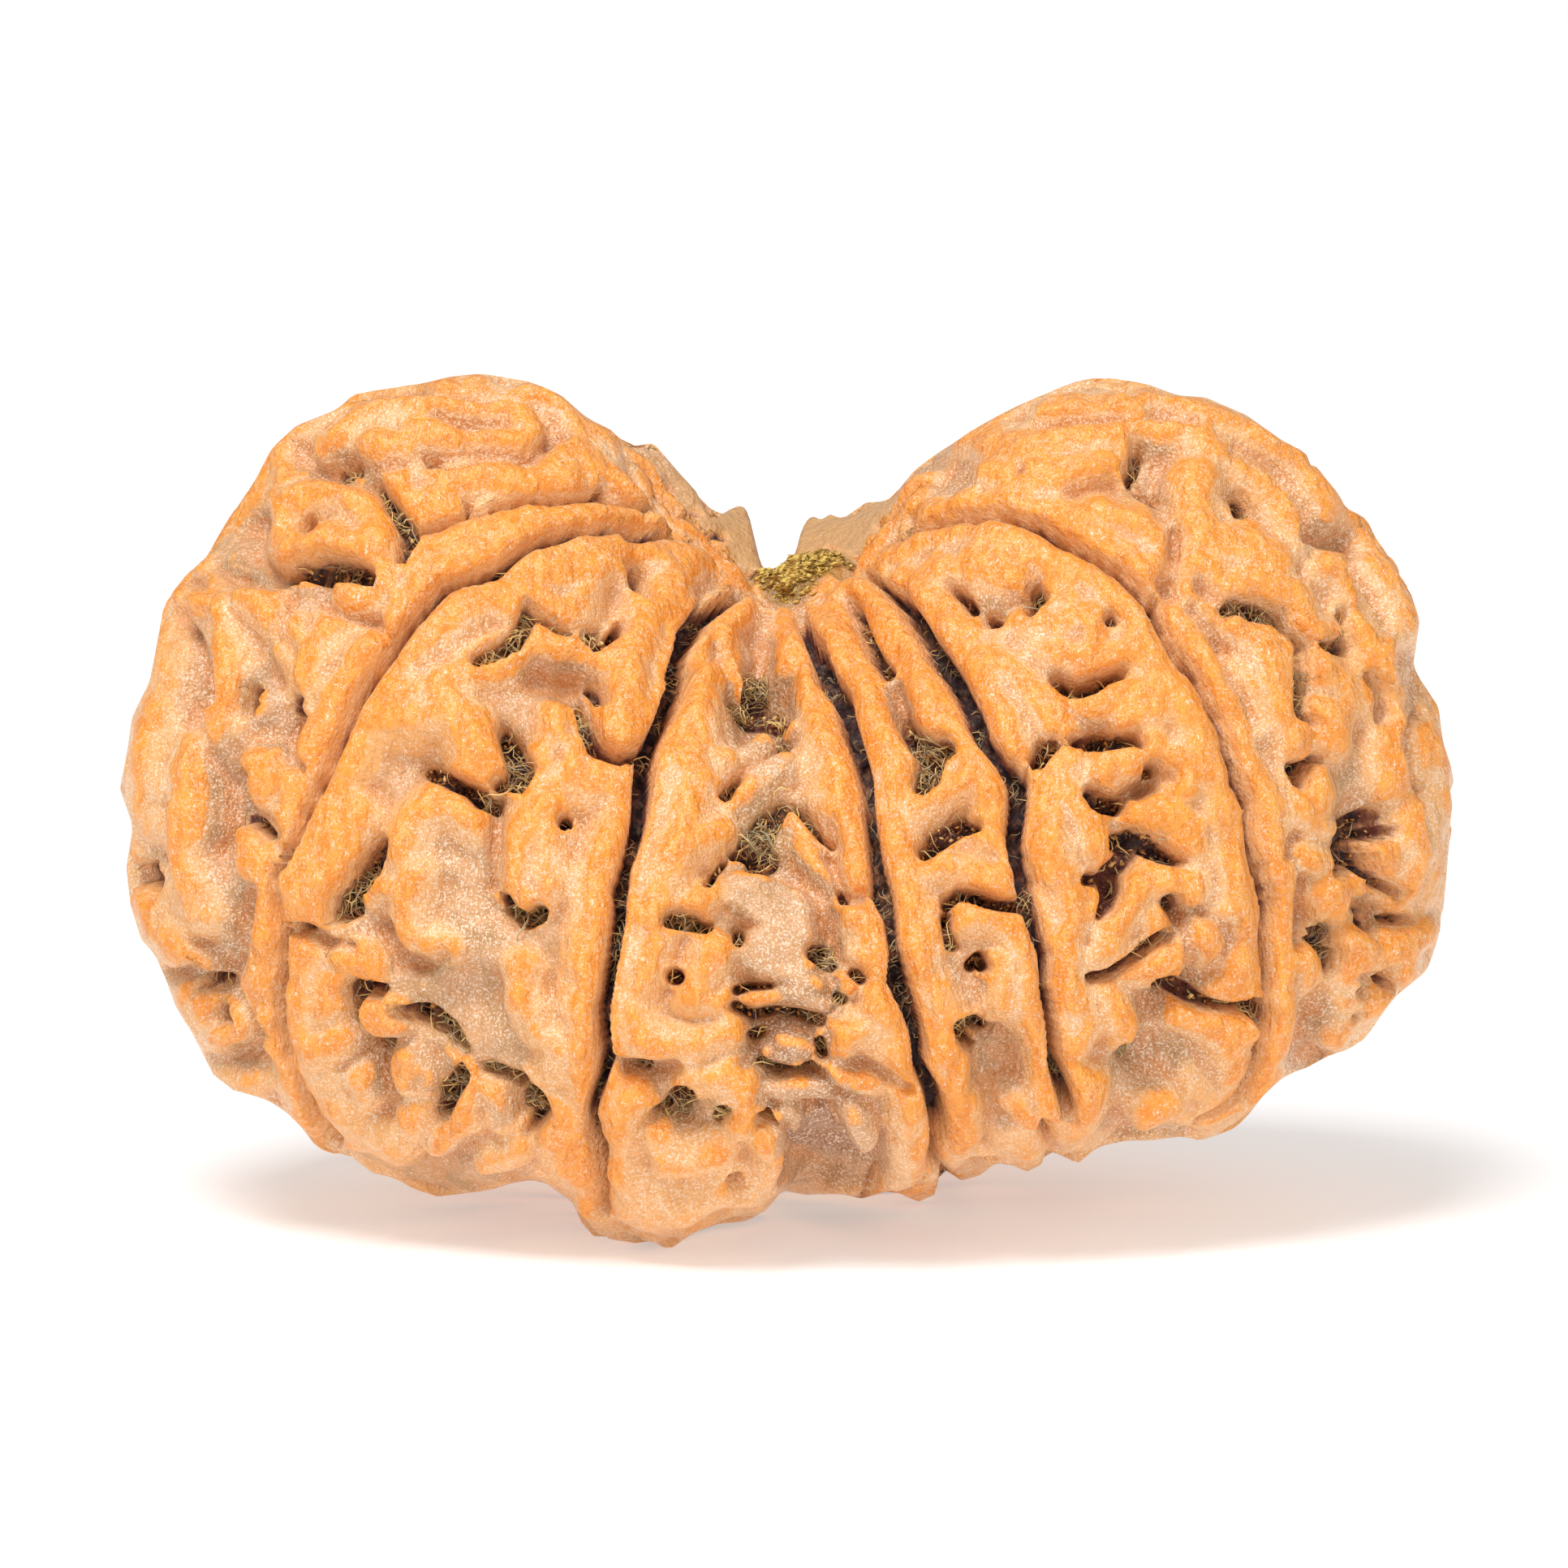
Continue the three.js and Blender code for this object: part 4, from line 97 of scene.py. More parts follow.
# Ridges and plates whose crests reach the outer level
RIDGES: list[Run] = [
    [-200,575,22, -250,530,30, -300,455,42, -355,380,48, -380,300,52, -385,220,55, -400,150,55,
     -410,125,50],
    [-390,330,40, -440,335,35],
    [-280,590,25, -380,615,30, -490,610,38, -580,590,40, -640,550,40],
    [-600,520,55, -520,530,60, -450,560,50],
    [-600,475,35, -540,450,40, -490,470,50],
    [-675,475,38, -730,485,45, -800,455,50, -870,390,45, -930,320,35],
    [-600,395,30, -660,360,40, -740,320,45, -830,270,50, -930,230,55, -990,160,50],
    [-610,390,30, -550,360,35, -490,350,30],
    [-930,170,60, -840,200,60, -790,150,60, -760,80,55, -740,55,42],
    [-1030,220,35, -1060,120,40, -1110,10,42, -1160,-90,42, -1210,-190,35, -1210,-260,45, -1160,-310,45],
    [-1120,-40,50, -1070,-90,50, -1130,-160,50],
    [-1150,-240,55, -1190,-290,50],
    [-945,-170,40, -930,-100,42, -880,-55,42, -820,-50,42, -780,-90,35],
    [-920,-220,40, -935,-290,40, -940,-360,45, -890,-400,38, -850,-410,25],
    [-970,-255,30, -1005,-250,30],
    [-520,100,22, -520,30,40, -460,0,48, -410,10,35],
    [-600,-20,35, -630,-90,38, -665,-180,38, -670,-240,38, -640,-275,30],
    [-405,0,32, -415,-90,42, -450,-170,48, -475,-260,45, -480,-360,45, -495,-450,42, -510,-540,42,
     -500,-640,42, -510,-720,48, -500,-750,38],
    [-560,0,30, -590,-160,45, -580,-240,45],
    [-650,-460,38, -645,-540,40, -615,-600,38, -560,-660,45, -560,-710,45],
    [-560,175,25, -560,120,30, -590,60,25],
    [-1200,-430,42, -1200,-530,45, -1195,-620,45, -1150,-665,45, -1110,-650,40],
    [-1140,-560,40, -1130,-500,40],
    [-1100,-430,30, -1050,-450,30],
    [-1130,-740,30, -1100,-820,35, -1040,-880,35, -960,-920,35],
    [-1060,-740,30, -1040,-790,32],
    [-930,-830,38, -920,-870,35],
    [-800,-790,35, -790,-850,40, -860,-900,40],
    [-560,-810,32, -570,-880,45, -540,-940,50, -510,-980,38],
    [-495,-1040,35, -475,-1100,40],
    [-660,-910,35, -740,-940,40],
    [-100,465,20, -115,410,26, -105,340,24, -130,280,18],
    [-175,340,24, -195,280,34, -210,210,40, -220,140,50, -225,70,60, -220,10,55, -240,-70,48, -275,-160,46,
     -300,-250,44, -325,-340,46, -345,-440,42, -375,-540,36, -360,-620,42, -300,-650,42, -220,-655,45,
     -160,-620,35],
    [-175,70,35, -150,70,25],
    [-200,-120,30, -160,-100,25],
    [0,435,14, 5,380,16, 10,330,10],
    [60,300,10, 65,240,24, 80,170,34, 98,100,42, 125,20,46, 145,-60,40, 160,-130,36, 170,-200,36,
     180,-250,20],
    [175,-305,32, 210,-340,34, 220,-400,40, 200,-450,40, 215,-520,38, 250,-580,45, 265,-640,46, 280,-700,42,
     305,-770,34, 320,-830,32, 310,-870,30],
    [200,-610,40, 145,-620,36, 135,-680,32, 160,-730,32, 210,-750,32],
    [330,-920,36, 330,-990,36],
    [-230,-300,30, -190,-260,25],
    [-180,-420,40, -220,-520,45, -170,-540,35],
    [-390,-790,35, -410,-870,40, -405,-970,42, -380,-1050,50, -300,-1080,50, -220,-1040,42, -150,-1020,32,
     -80,-1020,32],
    [-220,-730,35, -140,-720,40, -100,-780,40, -110,-850,35],
    [-160,-920,34, -220,-950,36, -290,-940,45, -330,-890,30],
    [-55,-890,30, -25,-940,30, -35,-990,26],
    [90,520,16, 100,450,18, 120,390,20, 155,320,26, 195,250,32, 220,170,34, 245,100,40, 260,20,40,
     270,-60,34, 288,-140,40, 300,-220,40, 315,-310,40, 335,-410,40, 360,-500,36, 390,-580,32, 405,-650,36,
     425,-710,32, 430,-770,18],
    [130,520,18, 190,495,22, 240,440,28, 280,390,34, 310,320,36, 350,240,40, 385,180,36, 410,130,18],
    [440,100,22, 475,50,38, 505,0,36, 515,-70,32, 515,-130,28],
    [460,20,35, 390,0,28, 320,-50,30],
    [310,-210,34, 390,-195,30, 460,-210,30, 520,-230,30, 550,-250,22],
    [460,-325,24, 530,-335,32, 575,-370,32, 595,-440,36, 605,-520,38, 615,-590,36, 630,-640,22],
    [550,-440,35, 550,-540,40],
    [450,-820,28, 450,-890,36, 440,-950,32],
    [650,-700,24, 655,-760,30, 665,-820,34, 630,-850,28, 590,-820,30],
    [600,-910,40, 550,-900,30],
    [230,590,20, 320,620,26, 420,635,30, 520,635,36, 600,605,40, 680,560,42, 760,510,42, 840,450,42,
     880,380,42, 920,300,45, 980,210,42, 1020,130,42, 1055,40,44, 1085,-50,46, 1095,-130,44, 1110,-210,36,
     1130,-290,38, 1145,-370,38, 1135,-450,46, 1120,-500,42],
    [290,530,22, 330,490,24, 375,450,20],
    [470,570,45, 560,540,45],
    [390,560,35, 360,540,30],
    [385,400,28, 430,360,40, 470,300,44, 510,240,46, 535,180,48, 550,125,45, 560,100,35],
    [520,320,40, 590,260,40, 650,200,36, 685,140,26, 710,100,22],
    [640,50,32, 655,-30,45, 660,-120,50, 675,-200,50, 700,-270,46, 720,-320,44, 700,-400,42, 705,-480,40,
     730,-540,38, 750,-600,38, 725,-660,30],
    [690,50,35, 700,-20,40, 750,-90,36, 760,-150,34],
    [600,410,35, 680,390,45, 760,420,45, 760,340,35],
    [630,340,35, 720,320,36, 810,330,30, 870,340,30],
    [680,500,40, 690,460,35],
    [760,215,28, 830,230,38, 900,240,42, 930,180,40, 850,170,30],
    [920,110,30, 870,60,30, 810,35,28, 770,20,20],
    [890,-70,30, 950,-70,45, 1010,-110,45, 1030,-170,38],
    [1000,0,45, 970,70,30],
    [890,-240,28, 860,-300,35, 820,-370,34, 790,-430,26],
    [940,-240,35, 1030,-250,45],
    [920,-330,30, 930,-360,20],
    [880,-470,30, 940,-450,34, 990,-440,28],
    [1080,-350,42, 1030,-400,35, 1090,-430,45],
    [990,-590,25, 1050,-600,34, 1100,-630,40, 1125,-690,38, 1100,-735,30],
    [1030,-750,26, 1080,-780,24],
    [730,-730,30, 770,-750,30, 760,-810,34, 720,-870,34],
    [820,-530,35, 840,-610,30],
    [890,-840,30, 970,-800,30],
    [340,685,18, 440,705,22, 540,712,26, 630,700,28, 710,665,32, 780,620,34, 850,575,34, 890,535,28],
    [780,690,30, 870,650,26, 930,610,26, 945,560,22],
    [960,450,24, 1000,390,28, 1045,330,28, 1085,250,28, 1115,180,28, 1150,100,28, 1180,30,28, 1210,-50,30,
     1225,-120,30, 1230,-200,30, 1250,-290,28, 1250,-380,26, 1245,-480,32, 1235,-560,34, 1225,-650,34,
     1200,-720,32, 1140,-800,30, 1060,-845,28],
    [1010,500,18, 1060,450,24, 1120,400,26, 1190,360,34, 1215,290,34, 1220,220,34, 1240,150,32,
     1270,105,34],
    [1100,300,30, 1160,240,35, 1190,140,30],
    [620,920,30, 720,945,32, 810,950,36, 880,930,30],
    [940,905,26, 1020,895,26, 1060,830,28, 1130,830,30, 1200,785,30, 1250,730,34, 1265,670,30, 1290,610,26],
    [520,840,60, 640,850,60, 740,870,50, 810,880,30],
    [500,780,40, 640,780,50, 730,790,45, 780,810,30],
    [1020,760,60, 1030,690,50, 1060,620,60, 1150,600,60, 1220,560,50],
    [1040,560,40, 1120,520,45, 1220,500,45, 1290,470,35, 1320,415,34, 1350,385,26],
    [1330,300,36, 1390,260,38, 1410,190,36, 1380,120,40, 1340,180,45],
    [1330,15,30, 1340,-50,28],
    [1270,-150,36, 1320,-185,32],
    [1330,-100,30, 1290,-60,30],
    [1360,560,28, 1400,540,26, 1450,470,30, 1485,380,32, 1505,280,32, 1520,180,34, 1520,80,36, 1520,0,36],
    [1490,-170,42, 1510,-220,36],
    [1560,-60,35, 1575,-160,40, 1560,-260,40],
    [1360,-270,36, 1405,-280,36],
    [1310,-435,34, 1310,-490,28],
    [1400,-390,42, 1450,-410,36, 1430,-480,40],
    [1410,-560,28, 1440,-530,20],
    [1540,-410,40, 1590,-360,40],
    [1610,130,30, 1635,20,30, 1650,-50,30, 1625,-160,30, 1610,-280,30],
    [1560,-440,35, 1500,-510,40, 1440,-580,35, 1380,-640,35],
    [-680,975,35, -600,970,35, -530,920,35, -460,870,30],
    [890,975,25, 1030,945,30, 1120,905,30, 1220,845,30, 1290,800,30],
    [1520,600,35, 1550,500,35, 1575,400,35],
    [1400,730,40, 1330,780,40],
    [-260,650,18, -380,675,26, -500,670,30, -600,650,32, -690,615,34, -780,575,34, -870,530,34, -940,460,34,
     -990,390,34, -1050,310,34, -1110,230,34, -1150,150,34, -1200,60,34, -1230,-20,34, -1255,-90,28],
    [-740,655,25, -830,625,30, -910,615,32, -930,580,30],
    [-990,510,40, -1080,450,45, -1140,370,50, -1190,290,45],
    [-1230,390,30, -1235,310,30, -1230,250,28],
    [-1320,35,42, -1290,-10,42, -1260,40,40],
    [-1340,-120,28, -1335,-190,34, -1300,-250,30, -1295,-330,28, -1305,-410,30, -1320,-490,34,
     -1305,-570,32, -1280,-640,28, -1250,-700,25, -1220,-770,26, -1180,-840,28],
    [-1450,490,38, -1420,410,42, -1395,320,36, -1400,240,30, -1435,160,38, -1480,90,40, -1500,0,36,
     -1500,-90,40, -1515,-160,30, -1495,-250,34, -1470,-330,36],
    [-1320,460,40, -1280,420,35],
    [-1560,360,30, -1570,220,30, -1580,100,34, -1585,0,30, -1580,-120,30],
    [-1600,-260,38, -1580,-340,40, -1530,-400,38, -1480,-450,30],
    [-1500,-530,30, -1460,-600,35],
    [-1410,-635,30, -1360,-620,26],
    [-1420,-720,35, -1330,-760,35],
    [-1250,700,34, -1190,735,28, -1110,730,34, -1040,700,40, -1010,640,42, -1040,600,38, -1110,620,34,
     -1180,605,30, -1250,590,34, -1270,650,34, -1250,700,34],
    [-960,760,28, -910,700,32, -850,720,50],
    [-830,780,50, -720,790,50, -620,760,42, -530,780,45],
    [-790,815,30, -720,825,30],
    [-590,810,30, -520,830,34, -450,795,34, -390,745,28, -330,695,22],
    [-1150,870,38, -1060,910,40, -960,935,34, -860,945,34, -760,945,34, -660,935,36, -610,895,40,
     -630,855,32, -720,875,28, -820,865,30, -910,875,34],
    [-1020,850,40, -930,830,30],
    [-1260,790,28, -1300,730,26],
    [-520,920,30, -450,880,30, -400,820,28],
    [-860,995,30, -740,995,30, -650,970,25],
]

# Knobs and bridges inside the hollows, with how far they stay under the outer level, in millimetres
KNOBS: list[Levelled] = [
    (0.35, [25,-95,22, 50,-150,28, 90,-210,26, 125,-250,15]),
    (0.25, [-140,-60,30, -70,-10,30, 0,20,30, 50,40,30]),
    (0.5, [-90,60,30, -50,90,30]),
    (0.15, [-1000,-550,42, -960,-560,50, -945,-570,42]),
    (0.1, [-910,-680,46, -895,-710,52]),
    (0.1, [-720,-740,30, -700,-800,42, -685,-840,32]),
    (0.7, [0,-650,36, 35,-665,42, -40,-660,22]),
    (0.6, [-35,-765,22, 40,-760,26, 110,-760,26]),
    (0.6, [10,-825,34]),
    (0.2, [165,-795,24, 200,-850,28]),
    (0.45, [-110,-260,50, 0,-320,70, 20,-430,60, -70,-420,50]),
    (0.6, [-70,-530,25, 20,-520,28, 100,-540,25]),
    (0.45, [30,-470,22, 80,-490,20]),
]

# Soft hollows between the ridges, with how much deeper they go than the valleys, in millimetres
HOLLOWS: list[Levelled] = [
    (0.55, [-590,290,50, -520,260,70, -490,190,50, -470,120,50, -420,80,40]),
    (0.7, [-60,320,50, -60,220,80, -30,140,70]),
    (0.35, [0,-300,130, 10,-440,130]),
    (0.9, [20,-620,120, 50,-750,130, 90,-900,140]),
    (0.45, [-1340,230,60]),
    (0.35, [-1250,120,60]),
    (0.35, [-1400,60,60, -1390,-80,70, -1400,-180,60]),
    (0.3, [-1490,250,60]),
    (0.4, [-1420,-430,50, -1430,-500,60]),
    (0.5, [-1340,-690,60]),
    (0.4, [-790,-490,50, -720,-500,50]),
    (0.5, [-1030,-650,70, -990,-740,70]),
    (0.5, [-820,-920,50, -720,-900,40]),
    (0.5, [280,230,35, 310,170,50]),
    (0.45, [490,-650,60, 530,-720,60]),
    (0.5, [540,-850,50]),
    (0.4, [490,-480,35]),
    (0.4, [600,470,50]),
    (0.5, [690,260,50, 780,250,40]),
    (0.4, [720,190,40]),
    (0.4, [870,10,50, 840,-50,50]),
    (0.45, [890,-670,60]),
    (0.4, [850,-820,50]),
    (0.35, [960,-300,50]),
    (0.4, [920,-540,60, 1000,-530,50]),
    (0.4, [900,790,50, 920,730,40]),
    (0.3, [1340,620,50]),
    (0.6, [1340,-600,70, 1300,-660,50]),
    (0.4, [1290,260,50]),
    (0.5, [1430,-100,70, 1420,-180,60]),
    (0.4, [1450,-310,40]),
    (0.3, [-770,910,50]),
    (0.4, [-540,860,40]),
    (0.4, [-1100,790,50]),
    (0.5, [-1130,540,60]),
    (0.3, [-110,-990,40]),
    (0.4, [-270,-830,50]),
]

# Steep pits and slits
PITS: list[Run] = [
    [-875,30,18, -830,10,18, -790,-5,15, -750,-30,24, -720,-50,14],
    [-695,130,14, -670,90,26, -645,50,34, -660,20,30, -710,5,10],
    [-610,-315,22, -640,-335,18, -675,-310,10, -695,-270,8],
    [-995,-140,12, -1025,-190,22, -1060,-240,22, -1090,-290,24, -1100,-320,22, -1060,-310,16],
    [-1195,-362,7, -1170,-358,7],
    [-545,-85,17],
    [-500,190,15, -485,140,20, -460,95,20, -410,72,16, -360,78,16, -330,95,14],
    [-460,250,20, -450,220,15],
    [-770,320,12, -710,350,16, -660,375,20, -630,420,20, -625,450,12],
    [-610,435,10, -570,415,8, -525,390,7],
    [-475,380,14, -450,360,16, -420,380,10, -390,405,12],
    [-370,540,12, -360,500,15, -335,475,12],
    [-375,645,12, -350,642,10],
    [-1065,-515,28, -1060,-550,20, -1030,-580,12],
    [-1030,-500,12, -980,-505,8],
    [-930,-550,12, -880,-575,24, -840,-605,22, -795,-645,14],
    [-990,-640,16, -970,-660,10],
    [-805,-720,18, -830,-760,20, -845,-810,18, -850,-840,10],
    [-740,-700,10, -690,-710,12, -650,-730,15],
    [-620,-770,22, -605,-820,24, -630,-870,14],
    [-110,220,16, -70,200,26, -20,200,26, 5,170,12],
    [-60,270,25, -55,230,30],
    [0,110,14],
    [-120,5,15, -145,-20,15],
    [0,-55,20, -40,-90,26, -70,-140,34, -120,-150,18, -40,-170,26, -70,-200,20],
    [30,-60,14, 65,-95,10, 105,-125,10],
    [-150,-175,8, -190,-235,7],
    [140,-260,8, 150,-275,10],
    [-275,-330,20, -235,-335,24, -190,-350,14],
    [-112,-380,14],
    [-275,-475,20],
    [-355,-703,18],
    [-255,-775,26, -275,-810,26, -310,-815,16],
    [-155,-820,18],
    [85,-410,26, 115,-440,14],
    [175,-465,13, 190,-480,10],
    [-120,-510,12, -80,-500,8, -30,-495,6],
    [-125,-550,14, -80,-575,14, -20,-560,10, 40,-565,12, 90,-585,14],
    [145,-530,12, 130,-515,8],
    [-85,-630,16, -60,-615,10],
    [90,-640,12, 100,-680,12],
    [-60,-710,12, 0,-725,10, 70,-705,9],
    [-50,-840,18, -30,-860,10],
    [-120,-985,14],
    [220,-960,10, 195,-980,10],
    [160,450,10, 190,390,12, 220,330,12, 250,280,13],
    [295,160,18, 325,115,28, 360,80,34, 345,35,30, 330,10,20],
    [390,110,18, 400,90,14],
    [355,-150,22, 390,-125,26, 435,-95,26, 475,-95,14],
    [400,-290,12, 430,-265,14, 480,-275,14, 540,-295,14, 590,-300,14],
    [400,-320,12, 405,-360,12, 415,-395,14],
    [465,-445,16, 485,-425,16, 495,-450,14],
    [435,-605,16, 470,-595,18, 500,-610,10],
    [440,-630,16, 460,-660,12],
    [620,65,18, 645,95,20, 665,110,14],
    [410,500,8, 440,475,12, 470,430,10],
    [510,405,14, 530,400,10],
    [615,490,14, 630,460,20, 610,435,14],
    [805,410,13],
    [670,265,12, 710,240,20, 750,250,20, 790,275,10, 830,285,14],
    [720,115,14, 760,105,22, 810,105,22, 860,110,18, 885,100,10],
    [910,40,14],
    [760,-20,18, 785,-35,28, 825,-45,22],
    [830,-140,22, 870,-135,30, 910,-155,26, 950,-175,20, 985,-195,10],
    [860,-180,28, 830,-210,28],
    [815,-220,28, 820,-260,28, 815,-295,18, 795,-320,9],
    [755,-230,12, 780,-235,12],
    [970,-295,19],
    [770,-485,10, 810,-475,10, 860,-440,15, 900,-405,16, 940,-375,10],
    [930,-500,12, 975,-505,20, 1015,-530,22, 1060,-555,14, 1110,-560,8, 1150,-560,16, 1170,-595,14],
    [850,-665,14],
    [640,-855,6, 645,-830,6],
    [862,835,13, 860,805,11, 850,780,15],
    [850,750,7, 890,725,6, 920,710,6],
    [1120,700,14, 1130,685,13],
    [575,780,8],
    [1110,445,16, 1160,435,20, 1210,420,18, 1240,380,15, 1265,340,20, 1270,290,20, 1260,230,16, 1265,180,12,
     1290,150,8],
    [1330,350,10, 1380,355,14],
    [1375,425,12],
    [1380,388,7],
    [1445,270,12, 1465,230,16, 1470,180,18],
    [1255,35,16, 1265,5,14, 1290,60,8],
    [1450,-80,18, 1420,-110,28, 1385,-120,22, 1385,-170,24, 1415,-190,20, 1440,-220,14, 1475,-250,10,
     1520,-268,6],
    [1465,-125,16, 1485,-120,10],
    [1360,-220,12, 1390,-210,10],
    [1445,-320,12, 1440,-350,10],
    [1330,-380,28, 1345,-410,22, 1345,-455,15],
    [1510,-335,8, 1530,-335,6],
    [1565,-10,9],
    [1410,-520,6],
    [1400,-590,5],
    [1480,-500,14],
    [-1225,530,14, -1180,540,22, -1130,545,32, -1080,540,32, -1035,520,20],
    [-1168,650,10, -1180,635,9],
    [-1000,735,10, -965,695,16, -935,645,24, -935,610,22, -950,570,12],
    [-430,740,12, -440,720,12],
    [-875,807,5, -850,807,5],
    [-775,690,6],
    [-1120,805,10, -1095,790,14, -1070,790,8],
    [-1305,235,13, -1310,205,15, -1310,180,10],
    [-1215,220,8, -1200,185,9],
    [-1320,-80,8, -1290,-100,10, -1270,-120,10],
    [-1570,-230,20, -1550,-250,18],
    [-1405,-510,10, -1430,-510,8],
    [-1370,-575,14, -1360,-595,10],
]

# Shallow folds between neighbouring lumps
FOLDS: list[Run] = [
    [-1125,815,12, -1085,795,18, -1040,788,14, -950,795,6, -865,805,10, -790,815,6, -710,832,6, -630,815,8,
     -585,845,8, -560,880,5],
    [-850,920,3, -810,905,5, -740,900,5, -690,900,3],
    [-1190,830,4, -1140,890,5, -1080,945,5, -960,975,5, -820,980,5, -700,975,5, -620,960,6, -560,910,7,
     -550,870,5],
    [-1300,720,5, -1260,775,6, -1190,805,8, -1130,785,8, -1070,750,5, -1020,745,6],
    [-1490,500,4, -1420,495,5, -1340,510,5, -1260,495,6, -1220,500,5],
    [-1290,690,4, -1300,630,6, -1310,560,8, -1270,520,6],
    [-1435,420,4, -1440,340,6, -1435,260,8, -1430,210,6],
    [-1210,460,4, -1245,400,5, -1230,330,6, -1250,260,6, -1220,210,6],
    [-1130,440,2, -1060,420,4, -1010,410,4, -980,360,2],
    [-370,642,12, -330,640,8],
    [-290,720,4, -260,670,6, -230,630,4],
    [-230,290,3, -180,335,5, -135,310,5, -120,260,5, -130,210,3],
    [-95,390,5, -100,330,6, -85,290,5],
    [620,905,2, 700,920,4, 780,920,4, 850,930,5, 890,920,5, 960,925,4, 1020,910,3],
    [1120,835,3, 1200,800,5, 1260,750,6, 1295,690,8, 1310,630,10, 1340,620,8, 1380,610,5, 1400,600,5,
     1430,530,5, 1460,460,5, 1490,380,4],
    [970,630,5, 960,560,8, 940,500,8, 960,470,6],
    [1030,500,3, 1060,460,5, 1095,430,6],
    [1020,440,3, 1060,380,4, 1095,310,5, 1130,240,4, 1170,160,3],
    [710,735,4, 770,755,6, 810,750,6],
    [-1470,190,5, -1460,120,5, -1430,60,6, -1390,0,6, -1390,-90,7, -1410,-170,5],
    [-1350,20,5, -1360,-20,6, -1330,-70,7, -1290,-85,8, -1265,-115,8],
    [-1210,160,5, -1220,120,5, -1230,70,5, -1200,40,3],
    [-1330,-260,4, -1335,-340,5, -1340,-420,6, -1375,-490,7, -1350,-560,6, -1310,-620,4],
    [-1460,-400,8, -1420,-440,7, -1380,-490,6],
    [-1480,-460,5, -1440,-495,6, -1400,-510,8],
    [-1200,-365,8, -1160,-370,7, -1120,-390,5, -1080,-400,3],
    [-990,-350,3, -975,-400,5, -940,-435,6, -890,-445,6, -840,-425,3],
    [-705,-40,4, -720,-120,6, -710,-190,8, -715,-240,6],
    [110,-90,5, 120,-140,5, 110,-190,5, 130,-230,5, 150,-268,6, 190,-272,8],
    [130,-320,4, 120,-380,6, 130,-435,5, 160,-450,6, 190,-465,8, 200,-495,6, 180,-530,3],
    [110,-620,5, 105,-670,7, 150,-698,6, 200,-695,6, 260,-725,6, 310,-760,4],
    [-430,-680,3, -390,-698,6, -330,-700,5, -270,-695,2],
    [-100,-690,5, -60,-705,6],
    [880,-20,4, 910,30,7, 960,20,3],
    [950,-290,5, 990,-360,8, 1020,-430,8, 1000,-480,6],
    [1030,-320,2, 1090,-355,4, 1120,-395,5, 1080,-450,5, 1050,-480,3],
    [1290,-230,4, 1285,-320,6, 1290,-390,6],
    [1270,-130,5, 1260,-170,5],
    [1560,170,3, 1555,90,5, 1560,20,6, 1575,-20,7],
    [1490,-330,6, 1530,-340,6],
    [1460,-485,6, 1510,-470,5],
    [1430,-300,6, 1440,-340,6],
]

# Side outlines as distance,height pairs, measured from the stem's axis
STEM_HEIGHT = 450
UNDERSIDE = -1130
LEFT_OUTLINE: Run = [
    0,STEM_HEIGHT, 100,500, 200,600, 330,740, 460,860, 620,960, 760,1000, 920,985, 1080,940, 1230,840,
    1350,690, 1450,540, 1540,360, 1595,160, 1620,0, 1605,-220, 1550,-420, 1440,-620, 1270,-790, 1040,-930,
    800,-1010, 540,-1070, 260,-1115, 0,UNDERSIDE,
]
RIGHT_OUTLINE: Run = [
    0,STEM_HEIGHT, 100,500, 200,590, 330,720, 460,820, 610,925, 770,980, 930,970, 1080,925, 1240,820,
    1380,680, 1500,520, 1575,360, 1615,180, 1645,-20, 1635,-200, 1600,-370, 1510,-530, 1360,-670, 1160,-800,
    920,-910, 620,-1045, 320,-1120, 0,UNDERSIDE,
]
FRONT_OUTLINE: Run = [
    0,STEM_HEIGHT, 130,495, 270,465, 430,390, 610,270, 790,110, 940,-90, 1030,-300, 1050,-510, 990,-730,
    830,-930, 600,-1050, 300,-1115, 0,UNDERSIDE,
]
BACK_OUTLINE: Run = [
    0,STEM_HEIGHT, 140,570, 300,640, 470,595, 650,450, 820,240, 950,-20, 1020,-280, 1010,-540, 910,-780,
    730,-995, 470,-1105, 220,-1125, 0,UNDERSIDE,
]

